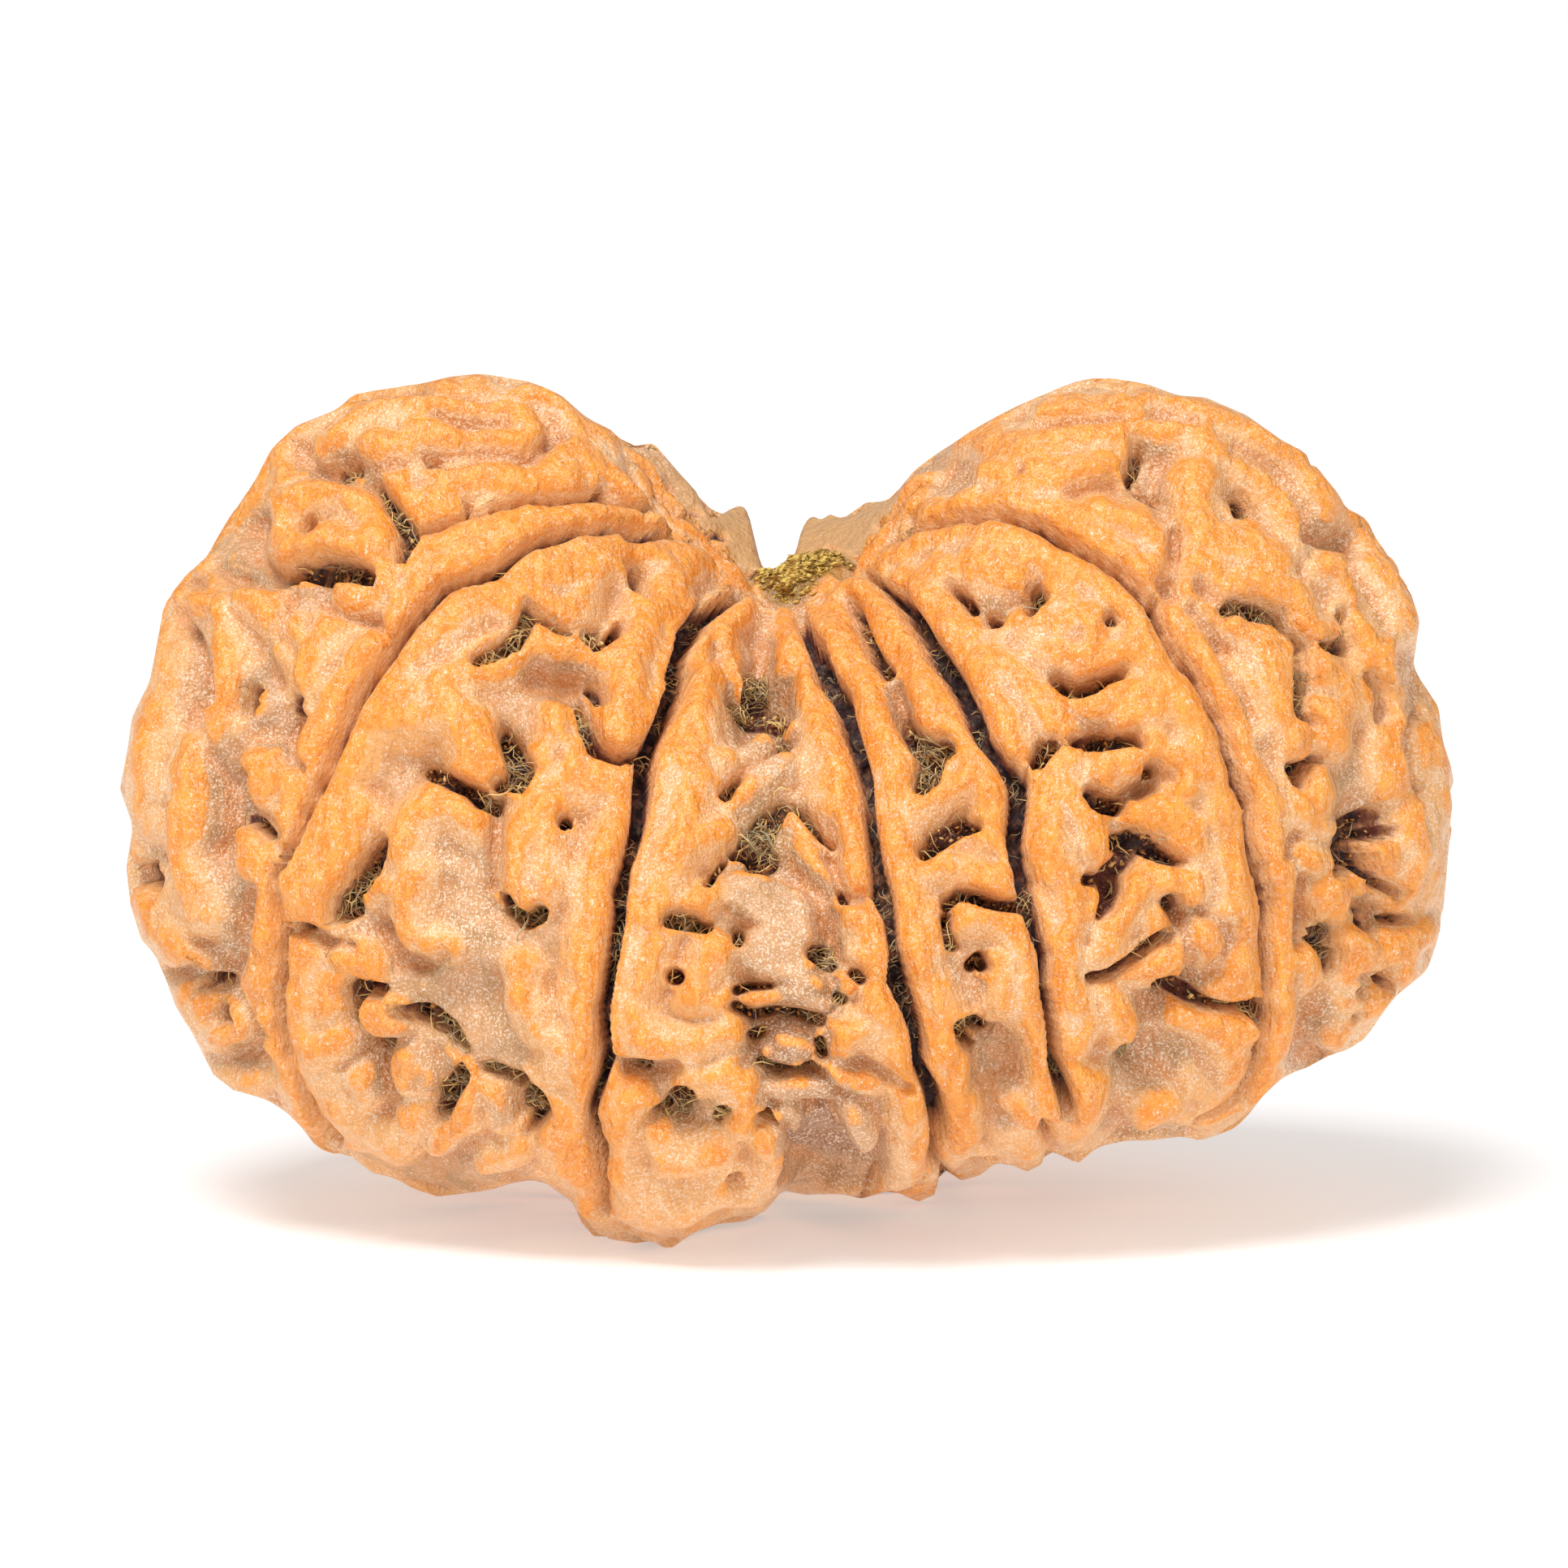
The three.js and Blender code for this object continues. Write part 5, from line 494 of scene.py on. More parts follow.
# The seed's rim as seen from the front, as across,up pairs from the saddle leftwards
RIM: Run = [
    -15,520, -55,525, -70,560, -75,630, -98,690, -130,675, -180,642, -215,720, -260,770, -320,840, -390,830,
    -420,870, -490,905, -550,960, -620,990, -700,1005, -750,1012, -820,1005, -890,988, -1000,972, -1060,960,
    -1100,925, -1200,885, -1255,835, -1295,760, -1355,675, -1380,635, -1420,564, -1480,510, -1525,450,
    -1540,360, -1560,260, -1605,170, -1615,100, -1635,0, -1603,-90, -1620,-200, -1610,-290, -1585,-370,
    -1550,-410, -1525,-470, -1500,-540, -1465,-595, -1410,-705, -1360,-745, -1280,-766, -1230,-800,
    -1190,-840, -1160,-885, -1120,-905, -1090,-897, -1020,-950, -960,-965, -920,-990, -860,-1010,
    -800,-1003, -730,-995, -660,-972, -605,-968, -570,-995, -520,-1030, -500,-1080, -470,-1115, -380,-1127,
    -335,-1147, -280,-1140, -240,-1110, -180,-1085, -100,-1077, -50,-1050, -10,-1000, 50,-1012, 140,-1010,
    190,-1022, 265,-1000, 330,-1030, 365,-1015, 375,-980, 380,-930, 385,-905, 420,-970, 440,-977, 480,-965,
    530,-928, 600,-955, 630,-940, 645,-890, 700,-925, 725,-935, 770,-895, 860,-875, 900,-880, 985,-868,
    1030,-880, 1110,-850, 1145,-815, 1180,-770, 1240,-715, 1290,-700, 1340,-670, 1390,-655, 1430,-630,
    1460,-590, 1510,-520, 1550,-490, 1585,-460, 1620,-370, 1630,-260, 1640,-160, 1660,-45, 1650,20,
    1625,100, 1615,180, 1570,250, 1550,285, 1568,400, 1550,460, 1530,520, 1490,580, 1450,640, 1390,670,
    1370,710, 1330,760, 1300,805, 1240,835, 1150,900, 1050,944, 980,950, 900,980, 820,993, 770,994, 720,983,
    600,935, 500,885, 400,820, 335,775, 300,735, 280,695, 210,692, 150,650, 110,667, 70,658, 50,625, 40,575,
    20,540,
]


class Side(Enum):
    """The four sides whose outlines shape the bean."""

    LEFT = "left"
    RIGHT = "right"
    FRONT = "front"
    BACK = "back"


OUTLINES = {Side.LEFT: LEFT_OUTLINE, Side.RIGHT: RIGHT_OUTLINE,
            Side.FRONT: FRONT_OUTLINE, Side.BACK: BACK_OUTLINE}


def points_of(run: Run, size: int = 3) -> Stroke:
    """Splits a run of hundredths into points of some numbers each, in millimetres."""
    return [[value / 100 for value in run[at:at + size]] for at in range(0, len(run), size)]


def ease(values: np.ndarray) -> np.ndarray:
    """Returns a smooth step from 0 to 1."""
    share = np.clip(values, 0.0, 1.0)
    return share * share * (3.0 - 2.0 * share)


def plateau(distance: np.ndarray) -> np.ndarray:
    """Returns 1 well within a distance of 1 and 0 well beyond it, with a soft edge between."""
    return np.exp(-np.minimum(distance, 3.0) ** 4)


def unit(vectors: np.ndarray) -> np.ndarray:
    """Returns the vectors scaled to length 1."""
    return vectors / np.maximum(np.linalg.norm(vectors, axis=-1, keepdims=True), TINY)


def ring_smoothed(ring: np.ndarray, rounds: int) -> np.ndarray:
    """Averages each entry of a closed ring with its two neighbours.

    Args:
        ring: the entries, of which the last is next to the first.
        rounds: how often they are averaged.

    Returns:
        The smoothed entries.
    """
    for _ in range(rounds):
        ring = (np.roll(ring, 1) + ring + np.roll(ring, -1)) / 3.0
    return ring


def directions_of(shares: np.ndarray, azimuths: np.ndarray) -> np.ndarray:
    """Turns shares of the way down and azimuths into unit directions.

    Args:
        shares: 0 at the stem pole, 1 at the underside's pole.
        azimuths: radians from the front, growing towards +X.

    Returns:
        Unit vectors, one for each pair.
    """
    polar = math.pi * shares
    level = np.sin(polar)
    return np.stack([level * np.sin(azimuths), -level * np.cos(azimuths), np.cos(polar)], axis=-1)


def direction_grid(shares: np.ndarray, azimuths: np.ndarray) -> np.ndarray:
    """Returns the unit directions of every share with every azimuth."""
    return directions_of(*np.meshgrid(shares, azimuths, indexing="ij"))


@dataclass
class Sight:
    """The line of sight that the front strokes and the rim are laid out on."""

    elevation: float = math.radians(9.0)
    distance: float = 400.0
    frame_width: float = 38.64
    sensor: float = 36.0

    @property
    def forward(self) -> np.ndarray:
        """Unit vector from the eye into the picture."""
        return np.array([0.0, math.cos(self.elevation), -math.sin(self.elevation)])

    @property
    def up(self) -> np.ndarray:
        """Unit vector that is up on the sheet."""
        return np.array([0.0, math.sin(self.elevation), math.cos(self.elevation)])

    def spots(self, points: np.ndarray) -> np.ndarray:
        """Returns where points show on the sheet, as (across, up)."""
        scale = self.distance / (self.distance + points @ self.forward)
        return np.stack([points[..., 0] * scale, (points @ self.up) * scale], axis=-1)


SIGHT = Sight()


@dataclass
class Rim:
    """Brings a shape's outline on the sheet to the rim, and leaves its middle alone."""

    # The spot that the outline is measured from, in how many directions, and points on each rim stretch
    middle: Span = (0.0, -3.0)
    turns: int = 720
    samples: int = 24
    # Directions to each side over which the farthest crest counts, and how often that is smoothed
    window: int = 8
    rounds: int = 24
    # Share of the way out at which the shape starts to give, and where the far underside keeps its own level
    calm: float = 0.6
    kept_below: Span = (-5.0, 3.0)
    kept_behind: Span = (-2.2, 3.6)

    def __post_init__(self) -> None:
        """Measures the rim once, as drawn and as the envelope of its crests."""
        line = points_of(RIM, 2)
        ends = np.array([*line, line[0]])
        fine = [np.linspace(start, end, self.samples, endpoint=False) for start, end in zip(ends, ends[1:])]
        self.drawn = self.reach(np.concatenate(fine))
        crests = [np.roll(self.drawn, turn) for turn in range(-self.window, self.window + 1)]
        self.crests = ring_smoothed(np.max(crests, axis=0), self.rounds)

    def polar(self, spots: np.ndarray) -> tuple[np.ndarray, np.ndarray]:
        """Measures spots from the middle.

        Args:
            spots: spots on the sheet.

        Returns:
            How far each one lies from the middle, and its direction as a place in the table.
        """
        away = spots - np.array(self.middle)
        turn = np.arctan2(away[..., 0], away[..., 1]) / (2.0 * math.pi)
        return np.linalg.norm(away, axis=-1), turn % 1.0 * self.turns

    def reach(self, spots: np.ndarray) -> np.ndarray:
        """Measures how far spots reach out.

        Args:
            spots: spots on the sheet.

        Returns:
            The farthest distance in each direction, taken from its neighbours where no spot lies.
        """
        distance, place = self.polar(spots)
        table = np.zeros(self.turns)
        np.maximum.at(table, np.floor(place).astype(int) % self.turns, distance)
        return np.maximum(table, np.maximum(np.roll(table, 1), np.roll(table, -1)) * (table == 0))

    def read(self, table: np.ndarray, place: np.ndarray) -> np.ndarray:
        """Reads a table of directions between its entries."""
        return np.interp(place, np.arange(self.turns + 1), np.append(table, table[0]))

    def moved(self, points: np.ndarray, factors: np.ndarray) -> np.ndarray:
        """Scales points about the middle, along the sheet.

        Args:
            points: points in space.
            factors: one factor for each point.

        Returns:
            The moved points.
        """
        away = SIGHT.spots(points) - np.array(self.middle)
        shift = away * (factors - 1.0)[..., None]
        return points + shift[..., :1] * np.array([1.0, 0.0, 0.0]) + shift[..., 1:] * SIGHT.up

    def fitted(self, points: np.ndarray, reached: np.ndarray) -> np.ndarray:
        """Moves a smooth shape so that its outline follows the envelope of the rim's crests.

        Args:
            points: points of the shape.
            reached: the shape's own outline, as reach returns it.

        Returns:
            The moved points.
        """
        distance, place = self.polar(SIGHT.spots(points))
        own = self.read(reached, place)
        low, low_fade = self.kept_below
        behind, behind_fade = self.kept_behind
        kept = ease((low - points[..., 2]) / low_fade) * ease((points[..., 1] - behind) / behind_fade)
        share = ease((distance / own - self.calm) / (1.0 - self.calm)) * (1.0 - kept)
        return self.moved(points, 1.0 + (self.read(self.crests, place) / own - 1.0) * share)

    def trimmed(self, points: np.ndarray, slack: float) -> np.ndarray:
        """Draws in whatever stands out past the drawn rim.

        Args:
            points: points of the shape.
            slack: distance inside the rim at which they start to be drawn in.

        Returns:
            The moved points.
        """
        distance, place = self.polar(SIGHT.spots(points))
        over = np.maximum(distance - self.read(self.drawn, place) + slack, 0.0)
        inner = distance - (over - slack * (1.0 - np.exp(-over / slack)))
        return self.moved(points, inner / np.maximum(distance, TINY))


@dataclass
class Bean:
    """The smooth bean that the relief is raised from."""

    # How much the right half of the underside rises, per millimetre across, and from where on the way down
    underside_tilt: float = 0.12
    tilt_zone: Span = (0.6, 0.35)
    # How finely the outlines and the bean's reach on the sheet are sampled
    outline_steps: int = 400
    span_steps: int = 40
    reach_grid: tuple[int, int] = (241, 721)
    reach_rounds: int = 4
    # How near to a pole the sideways direction is taken as +X
    pole: float = 0.001

    def __post_init__(self) -> None:
        """Samples the four outlines and measures the bean's own reach once."""
        self.tables = {side: self._smooth(points_of(run, 2)) for side, run in OUTLINES.items()}
        self.rim = Rim()
        rows, columns = self.reach_grid
        around = direction_grid(np.linspace(0.0, 1.0, rows), np.linspace(0.0, 2.0 * math.pi, columns))
        reached = self.rim.reach(SIGHT.spots(self.plain_points(around)).reshape(-1, 2))
        self.reached = ring_smoothed(reached, self.reach_rounds)

    def _smooth(self, points: Stroke) -> np.ndarray:
        """Runs a centripetal spline through outline points.

        Args:
            points: the outline in millimetres.

        Returns:
            Evenly spaced samples along the curve.
        """
        knots = np.array(points)
        padded = np.vstack([2 * knots[0] - knots[1], knots, 2 * knots[-1] - knots[-2]])
        curve = []
        for start in range(len(knots) - 1):
            p = padded[start:start + 4]
            t = self._lengths(np.sqrt(np.linalg.norm(np.diff(p, axis=0), axis=1)))
            s = np.linspace(t[1], t[2], self.span_steps, endpoint=False)[:, None]
            first = [self._blend(s, (t[k], t[k + 1]), (p[k], p[k + 1])) for k in range(3)]
            second = [self._blend(s, (t[k], t[k + 2]), (first[k], first[k + 1])) for k in range(2)]
            curve.append(self._blend(s, (t[1], t[2]), second))
        line = np.vstack([*curve, knots[-1:]])
        length = self._lengths(np.linalg.norm(np.diff(line, axis=0), axis=1))
        even = np.linspace(0.0, length[-1], self.outline_steps + 1)
        return np.stack([np.interp(even, length, line[:, axis]) for axis in (0, 1)], axis=1)

    @staticmethod
    def _lengths(steps: np.ndarray) -> np.ndarray:
        """Returns the running total of steps, from 0."""
        return np.concatenate([[0.0], np.cumsum(steps)])

    @staticmethod
    def _blend(at: np.ndarray, span: Span, ends: Sequence[np.ndarray]) -> np.ndarray:
        """Returns what lies between two ends at places within a span."""
        return ((span[1] - at) * ends[0] + (at - span[0]) * ends[1]) / (span[1] - span[0])

    def points(self, directions: np.ndarray) -> np.ndarray:
        """Returns the bean's surface point for each unit direction, fitted to the rim."""
        return self.rim.fitted(self.plain_points(directions), self.reached)

    def plain_points(self, directions: np.ndarray) -> np.ndarray:
        """Makes the bean from the four outlines alone.

        Args:
            directions: unit vectors.

        Returns:
            The surface point for each one.
        """
        level = np.hypot(directions[..., 0], directions[..., 1])
        safe = np.maximum(level, TINY)
        across = np.where(level > TINY, directions[..., 0] / safe, 0.0)
        towards = np.where(level > TINY, -directions[..., 1] / safe, 1.0)
        place = np.arctan2(level, directions[..., 2]) / math.pi * self.outline_steps
        grid = np.arange(self.outline_steps + 1)
        read = {side: [np.interp(place, grid, table[:, axis]) for axis in (0, 1)]
                for side, table in self.tables.items()}
        end_out, end_up = (np.where(across < 0, read[Side.LEFT][k], read[Side.RIGHT][k]) for k in (0, 1))
        deep_out, deep_up = (np.where(towards < 0, read[Side.BACK][k], read[Side.FRONT][k]) for k in (0, 1))
        out = 1.0 / np.hypot(across / np.maximum(end_out, TINY), towards / np.maximum(deep_out, TINY))
        late = ease((place / self.outline_steps - self.tilt_zone[0]) / self.tilt_zone[1])
        tilt = self.underside_tilt * np.maximum(out * across, 0.0) * towards ** 2 * late
        up = end_up * across ** 2 + deep_up * towards ** 2 + tilt
        return np.stack([out * across, -out * towards, up], axis=-1)

    def normals(self, directions: np.ndarray, step: float = 0.012) -> np.ndarray:
        """Measures which way the bean faces, from four points a small step away.

        Args:
            directions: unit vectors.
            step: how far away those points lie, in radians.

        Returns:
            The outward normal for each direction.
        """
        side = np.stack([-directions[..., 1], directions[..., 0], np.zeros(directions.shape[:-1])], axis=-1)
        side = np.where(np.linalg.norm(side, axis=-1, keepdims=True) < self.pole, [1.0, 0.0, 0.0], side)
        side = unit(side)
        rise = unit(np.cross(directions, side))
        spans = [self.points(unit(directions + step * way)) - self.points(unit(directions - step * way))
                 for way in (side, rise)]
        return unit(np.cross(*spans))


BEAN = Bean()


@dataclass
class Noise:
    """Smooth lattice noise with a fixed seed, from about -1 to 1."""

    seed: int
    size: int = 64
    gain: float = 1.6

    def __post_init__(self) -> None:
        """Fills the lattice."""
        self.lattice = np.random.default_rng(self.seed).uniform(-1.0, 1.0, (self.size,) * 3)

    def __call__(self, points: np.ndarray, scale: float) -> np.ndarray:
        """Reads the noise.

        Args:
            points: where to read it, in millimetres.
            scale: about how long its features are.

        Returns:
            One value for each point.
        """
        place = points / scale
        cell = np.floor(place).astype(int)
        rest = place - cell
        rest = rest * rest * rest * (rest * (rest * 6 - 15) + 10)
        total = np.zeros(points.shape[:-1])
        for corner in range(8):
            bits = np.array([corner & 1, corner >> 1 & 1, corner >> 2 & 1])
            weight = np.prod(np.where(bits, rest, 1.0 - rest), axis=-1)
            index = (cell + bits) % self.size
            total += weight * self.lattice[index[..., 0], index[..., 1], index[..., 2]]
        return total * self.gain


def paint(sheet: np.ndarray, spots: np.ndarray, ends: np.ndarray, widths: Span) -> None:
    """Raises a field to how far each spot lies inside one round-ended segment.

    Args:
        sheet: the part of the field to raise, changed in place.
        spots: coordinates of its cells.
        ends: the two ends of the segment.
        widths: half widths at the two ends.
    """
    start, span = ends[0], ends[1] - ends[0]
    share = np.clip((spots - start) @ span / max(float(span @ span), TINY), 0.0, 1.0)
    away = np.linalg.norm(spots - start - share[..., None] * span, axis=-1)
    np.maximum(sheet, widths[0] + (widths[1] - widths[0]) * share - away, out=sheet)


def read_grid(grid: np.ndarray, places: np.ndarray, wraps: bool) -> np.ndarray:
    """Reads a grid between its cells.

    Args:
        grid: values in two dimensions.
        places: positions in cells, one pair for each reading.
        wraps: whether the second dimension joins up with itself.

    Returns:
        One value for each place.
    """
    rows, columns = grid.shape
    row = np.clip(places[..., 0], 0, rows - LAST_CELL)
    column = places[..., 1] % columns if wraps else np.clip(places[..., 1], 0, columns - LAST_CELL)
    r0, c0 = np.floor(row).astype(int), np.floor(column).astype(int)
    c0 %= columns
    r1, c1 = r0 + 1, (c0 + 1) % columns
    fr, fc = row - r0, column - np.floor(column)
    return (grid[r0, c0] * (1 - fr) * (1 - fc) + grid[r1, c0] * fr * (1 - fc)
            + grid[r0, c1] * (1 - fr) * fc + grid[r1, c1] * fr * fc)


@dataclass
class FrontSheet:
    """Fields of the front strokes on a fine grid of the sight sheet."""

    cell: float = 0.04
    low: Span = (-17.6, -12.6)
    high: Span = (17.6, 11.6)
    # Where the sides start to turn away and over how much, and how far pits there are moved out and widened
    side: Span = (10.5, 2.5)
    lean: float = 0.28
    widen: float = 0.35
    # How far outside their strokes hollows and knobs start, and over how much they get to their level
    hollow_edge: Span = (0.4, 0.8)
    knob_edge: Span = (0.38, 0.5)
    knob_drop: float = 1.2

    def __post_init__(self) -> None:
        """Paints every family of strokes."""
        across, up = (np.arange(low, high, self.cell) for low, high in zip(self.low, self.high))
        self.grid = np.stack(np.meshgrid(across, up, indexing="ij"), axis=-1)
        hollow = np.zeros(self.grid.shape[:2])
        for under, run in HOLLOWS:
            np.maximum(hollow, under * self._inside(run, self.hollow_edge), out=hollow)
        knob = np.full(self.grid.shape[:2], NOWHERE)
        for under, run in KNOBS:
            np.maximum(knob, -under - self.knob_drop * (1.0 - self._inside(run, self.knob_edge)), out=knob)
        self.fields = {
            "ridge": self._painted(map(points_of, RIDGES)),
            "groove": self._painted(map(points_of, GROOVES)),
            "pit": self._painted(map(self._leaned, PITS)),
            "fold": self._painted(map(points_of, FOLDS)),
            "hollow": hollow,
            "knob": knob,
        }

    def _inside(self, run: Run, edge: Span) -> np.ndarray:
        """Returns 1 inside a stroke and 0 outside its soft edge."""
        return ease((self._painted([points_of(run)]) + edge[0]) / edge[1])

    def _leaned(self, run: Run) -> Stroke:
        """Moves a stroke outward and widens it where the seed's sides turn away from the camera.

        Args:
            run: the stroke's numbers.

        Returns:
            Its points.
        """
        path = []
        for x, z, width in points_of(run):
            turn = min(max((abs(x) - self.side[0]) / self.side[1], 0.0), 1.0)
            path.append([x + math.copysign(self.lean * turn, x), z, width * (1.0 + self.widen * turn)])
        return path

    def _painted(self, strokes: Iterable[Stroke]) -> np.ndarray:
        """Paints strokes into one field.

        Args:
            strokes: the strokes, of which one with a single point gives a round spot.

        Returns:
            How far each cell lies inside any of them.
        """
        sheet = np.full(self.grid.shape[:2], -REACH)
        for path in strokes:
            knots = path if len(path) > 1 else [path[0], path[0]]
            for first, second in zip(knots, knots[1:]):
                ends = np.array([first[:2], second[:2]])
                widest = max(first[2], second[2]) + REACH
                start = ((ends.min(axis=0) - widest - self.low) / self.cell).astype(int)
                stop = ((ends.max(axis=0) + widest - self.low) / self.cell).astype(int) + 2
                part = tuple(slice(max(a, 0), max(b, 0)) for a, b in zip(start, stop))
                paint(sheet[part], self.grid[part], ends, (first[2], second[2]))
        return sheet

    def read(self, name: str, spots: np.ndarray) -> np.ndarray:
        """Returns a field at spots of the sheet."""
        return read_grid(self.fields[name], (spots - np.array(self.low)) / self.cell, wraps=False)


@dataclass
class FarSheet:
    """Fields of the far side's strokes on a grid of share down and azimuth.

    Places across a face are shares of its width, from the line that the ridge or pit belongs to.
    """

    # Azimuths in degrees of the lines between the far faces, and what fixes the random draws
    lines: tuple[float, ...] = (79, 103, 128, 154, 181, 206, 231, 256, 280)
    seed: int = 20417
    rows: int = 560
    columns: int = 1120
    # The line that opens into the notch behind the stem, how much wider it is, and down to where
    notch_line: int = 4
    notch_width: float = 0.5
    notch_end: float = 0.25
    # Stretches of each line, and how far it wanders in degrees, slowly and quickly
    steps: int = 26
    sways: Span = (2.2, 1.1)
    # Chances of a break in a lip, a branch from it, a plate in the middle of a face and else a pit
    lip_break: float = 0.2
    branch_chance: float = 0.55
    plate_chance: float = 0.5
    pit_chance: float = 0.75
    # The front lines carried on under the seed: stretches, share of the way, and how far off their lips are
    under_steps: int = 7
    under_share: float = 0.87
    under_aside: float = 0.075
    # Shortest way from pole to pole in millimetres, which bounds the rows that a stroke can reach
    half_way: float = 20.0

    def __post_init__(self) -> None:
        """Draws the strokes by their rule and paints them."""
        azimuths = np.arange(self.columns) * 2.0 * math.pi / self.columns
        self.grid = BEAN.points(direction_grid(np.linspace(0.0, 1.0, self.rows), azimuths))
        self.state = self.seed
        grooves, ridges, pits = self._strokes()
        self.fields = {
            "ridge": self._painted(ridges),
            "groove": self._painted(grooves),
            "pit": self._painted(pits),
        }

    def _draw(self, least: float = 0.0, spread: float = 1.0) -> float:
        """Returns the next repeatable number from least to least + spread."""
        self.state = (self.state * DRAW_FACTOR + DRAW_STEP) % DRAW_RANGE
        return least + spread * (self.state / DRAW_RANGE)

    def _strokes(self) -> tuple[list[Stroke], list[Stroke], list[Stroke]]:
        """Draws all far strokes.

        Returns:
            Lines, ridges and pits, as paths of [share, azimuth, half width].
        """
        self.wanders = [(self._draw(0, 6.28), self._draw(0, 6.28), self._draw(5, 4)) for _ in self.lines]
        grooves = [self._line(line) for line in range(len(self.lines))]
        ridges, pits = [], []
        for face in range(len(self.lines) - 1):
            for side in (1, -1):
                ridges += self._lips(face, side)
            for step in range(self.steps):
                self._fill(face, 0.14 + 0.72 * step / self.steps, ridges, pits)
        for run in GROOVES:
            self._carry_under(points_of(run)[-1], grooves, ridges)
        return grooves, ridges, pits

    def _wander(self, line: int, share: float) -> float:
        """Returns a line's azimuth in degrees at a share of the way down."""
        first, second, pace = self.wanders[line]
        slow, quick = math.sin(pace * share + first), math.sin(17 * share + second)
        return self.lines[line] + self.sways[0] * slow + self.sways[1] * quick

    def _line(self, line: int) -> Stroke:
        """Draws one line.

        Args:
            line: its number.

        Returns:
            Its path.
        """
        notch = self.notch_width if line == self.notch_line else 0.0
        path = []
        for step in range(self.steps + 1):
            share = 0.035 + 0.895 * step / self.steps
            extra = notch * max(1.0 - share / self.notch_end, 0.0)
            path.append([share, self._wander(line, share), self._draw(0.08, 0.08) + extra])
        return path

    def _lips(self, face: int, side: int) -> list[Stroke]:
        """Draws the broken lip along one side of a face, with the branches that leave it.

        Args:
            face: the face's number.
            side: 1 for its first line, -1 for its second.

        Returns:
            The paths of the lip's pieces and the branches.
        """
        paths: list[Stroke] = []
        lip: Stroke = []
        for step in range(self.steps + 1):
            share = 0.025 + 0.915 * step / self.steps
            left, right = self._wander(face, share), self._wander(face + 1, share)
            edge, across = (left, right - left) if side == 1 else (right, left - right)
            azimuth = edge + across * self._draw(0.17, 0.07)
            lip.append([share, azimuth, self._draw(0.26, 0.2)])
            if self._draw() < self.lip_break and len(lip) > 2:
                paths.append(lip)
                lip = []
            if self._draw() < self.branch_chance and 0.16 < share < 0.86:
                end = edge + across * self._draw(0.28, 0.34)
                drop = self._draw(0.02, 0.03)
                paths.append([[share, azimuth, 0.34], [share + drop, end, self._draw(0.26, 0.16)]])
        if len(lip) > 1:
            paths.append(lip)
        return paths

    def _fill(self, face: int, share: float, ridges: list[Stroke], pits: list[Stroke]) -> None:
        """Draws a plate, a pit or nothing in the middle of a face.

        Args:
            face: the face's number.
            share: how far down.
            ridges: takes up a plate.
            pits: takes up a pit.
        """
        left, right = self._wander(face, share), self._wander(face + 1, share)
        middle = left + (right - left) * self._draw(0.38, 0.24)
        if self._draw() < self.plate_chance:
            end = middle + (right - left) * self._draw(-0.06, 0.12)
            ridges.append([[share, middle, self._draw(0.3, 0.2)],
                           [share + 0.03, end, self._draw(0.24, 0.2)]])
        elif self._draw() < self.pit_chance:
            end = middle + (right - left) * self._draw(-0.15, 0.3)
            pits.append([[share, middle, self._draw(0.14, 0.16)],
                         [share + 0.02, end, self._draw(0.12, 0.14)]])

    def _carry_under(self, seen_end: list[float], grooves: list[Stroke], ridges: list[Stroke]) -> None:
        """Carries a front line on from its seen end to the underside's pole, with a lip on each side.

        Args:
            seen_end: the line's last point on the sight sheet.
            grooves: takes up the line.
            ridges: takes up the lips.
        """
        around = direction_grid(np.linspace(0.3, 0.99, 140), np.radians(np.arange(-90, 91)))
        facing = -(BEAN.normals(around) @ SIGHT.forward)
        away = np.linalg.norm(SIGHT.spots(BEAN.points(around)) - np.array(seen_end[:2]), axis=-1)
        away[facing < 0.05] = np.inf
        end = around[np.unravel_index(np.argmin(away), away.shape)]
        pole = np.array([0.0, 0.0, -1.0])
        path: Stroke = []
        lips: list[Stroke] = [[], []]
        for step in range(self.under_steps + 1):
            direction = unit(end + (pole - end) * self.under_share * step / self.under_steps)
            path.append([*self._place(direction), self._draw(0.1, 0.08)])
            aside = unit(np.cross(direction, pole)) * self.under_aside
            for lip, side in zip(lips, (1, -1)):
                lip.append([*self._place(unit(direction + side * aside)), self._draw(0.3, 0.25)])
        grooves.append(path)
        ridges.extend(lips)

    @staticmethod
    def _place(direction: np.ndarray) -> tuple[float, float]:
        """Returns a direction as (share, azimuth in degrees)."""
        share = math.acos(max(-1.0, min(1.0, float(direction[2])))) / math.pi
        return share, math.degrees(math.atan2(direction[0], -direction[1]))

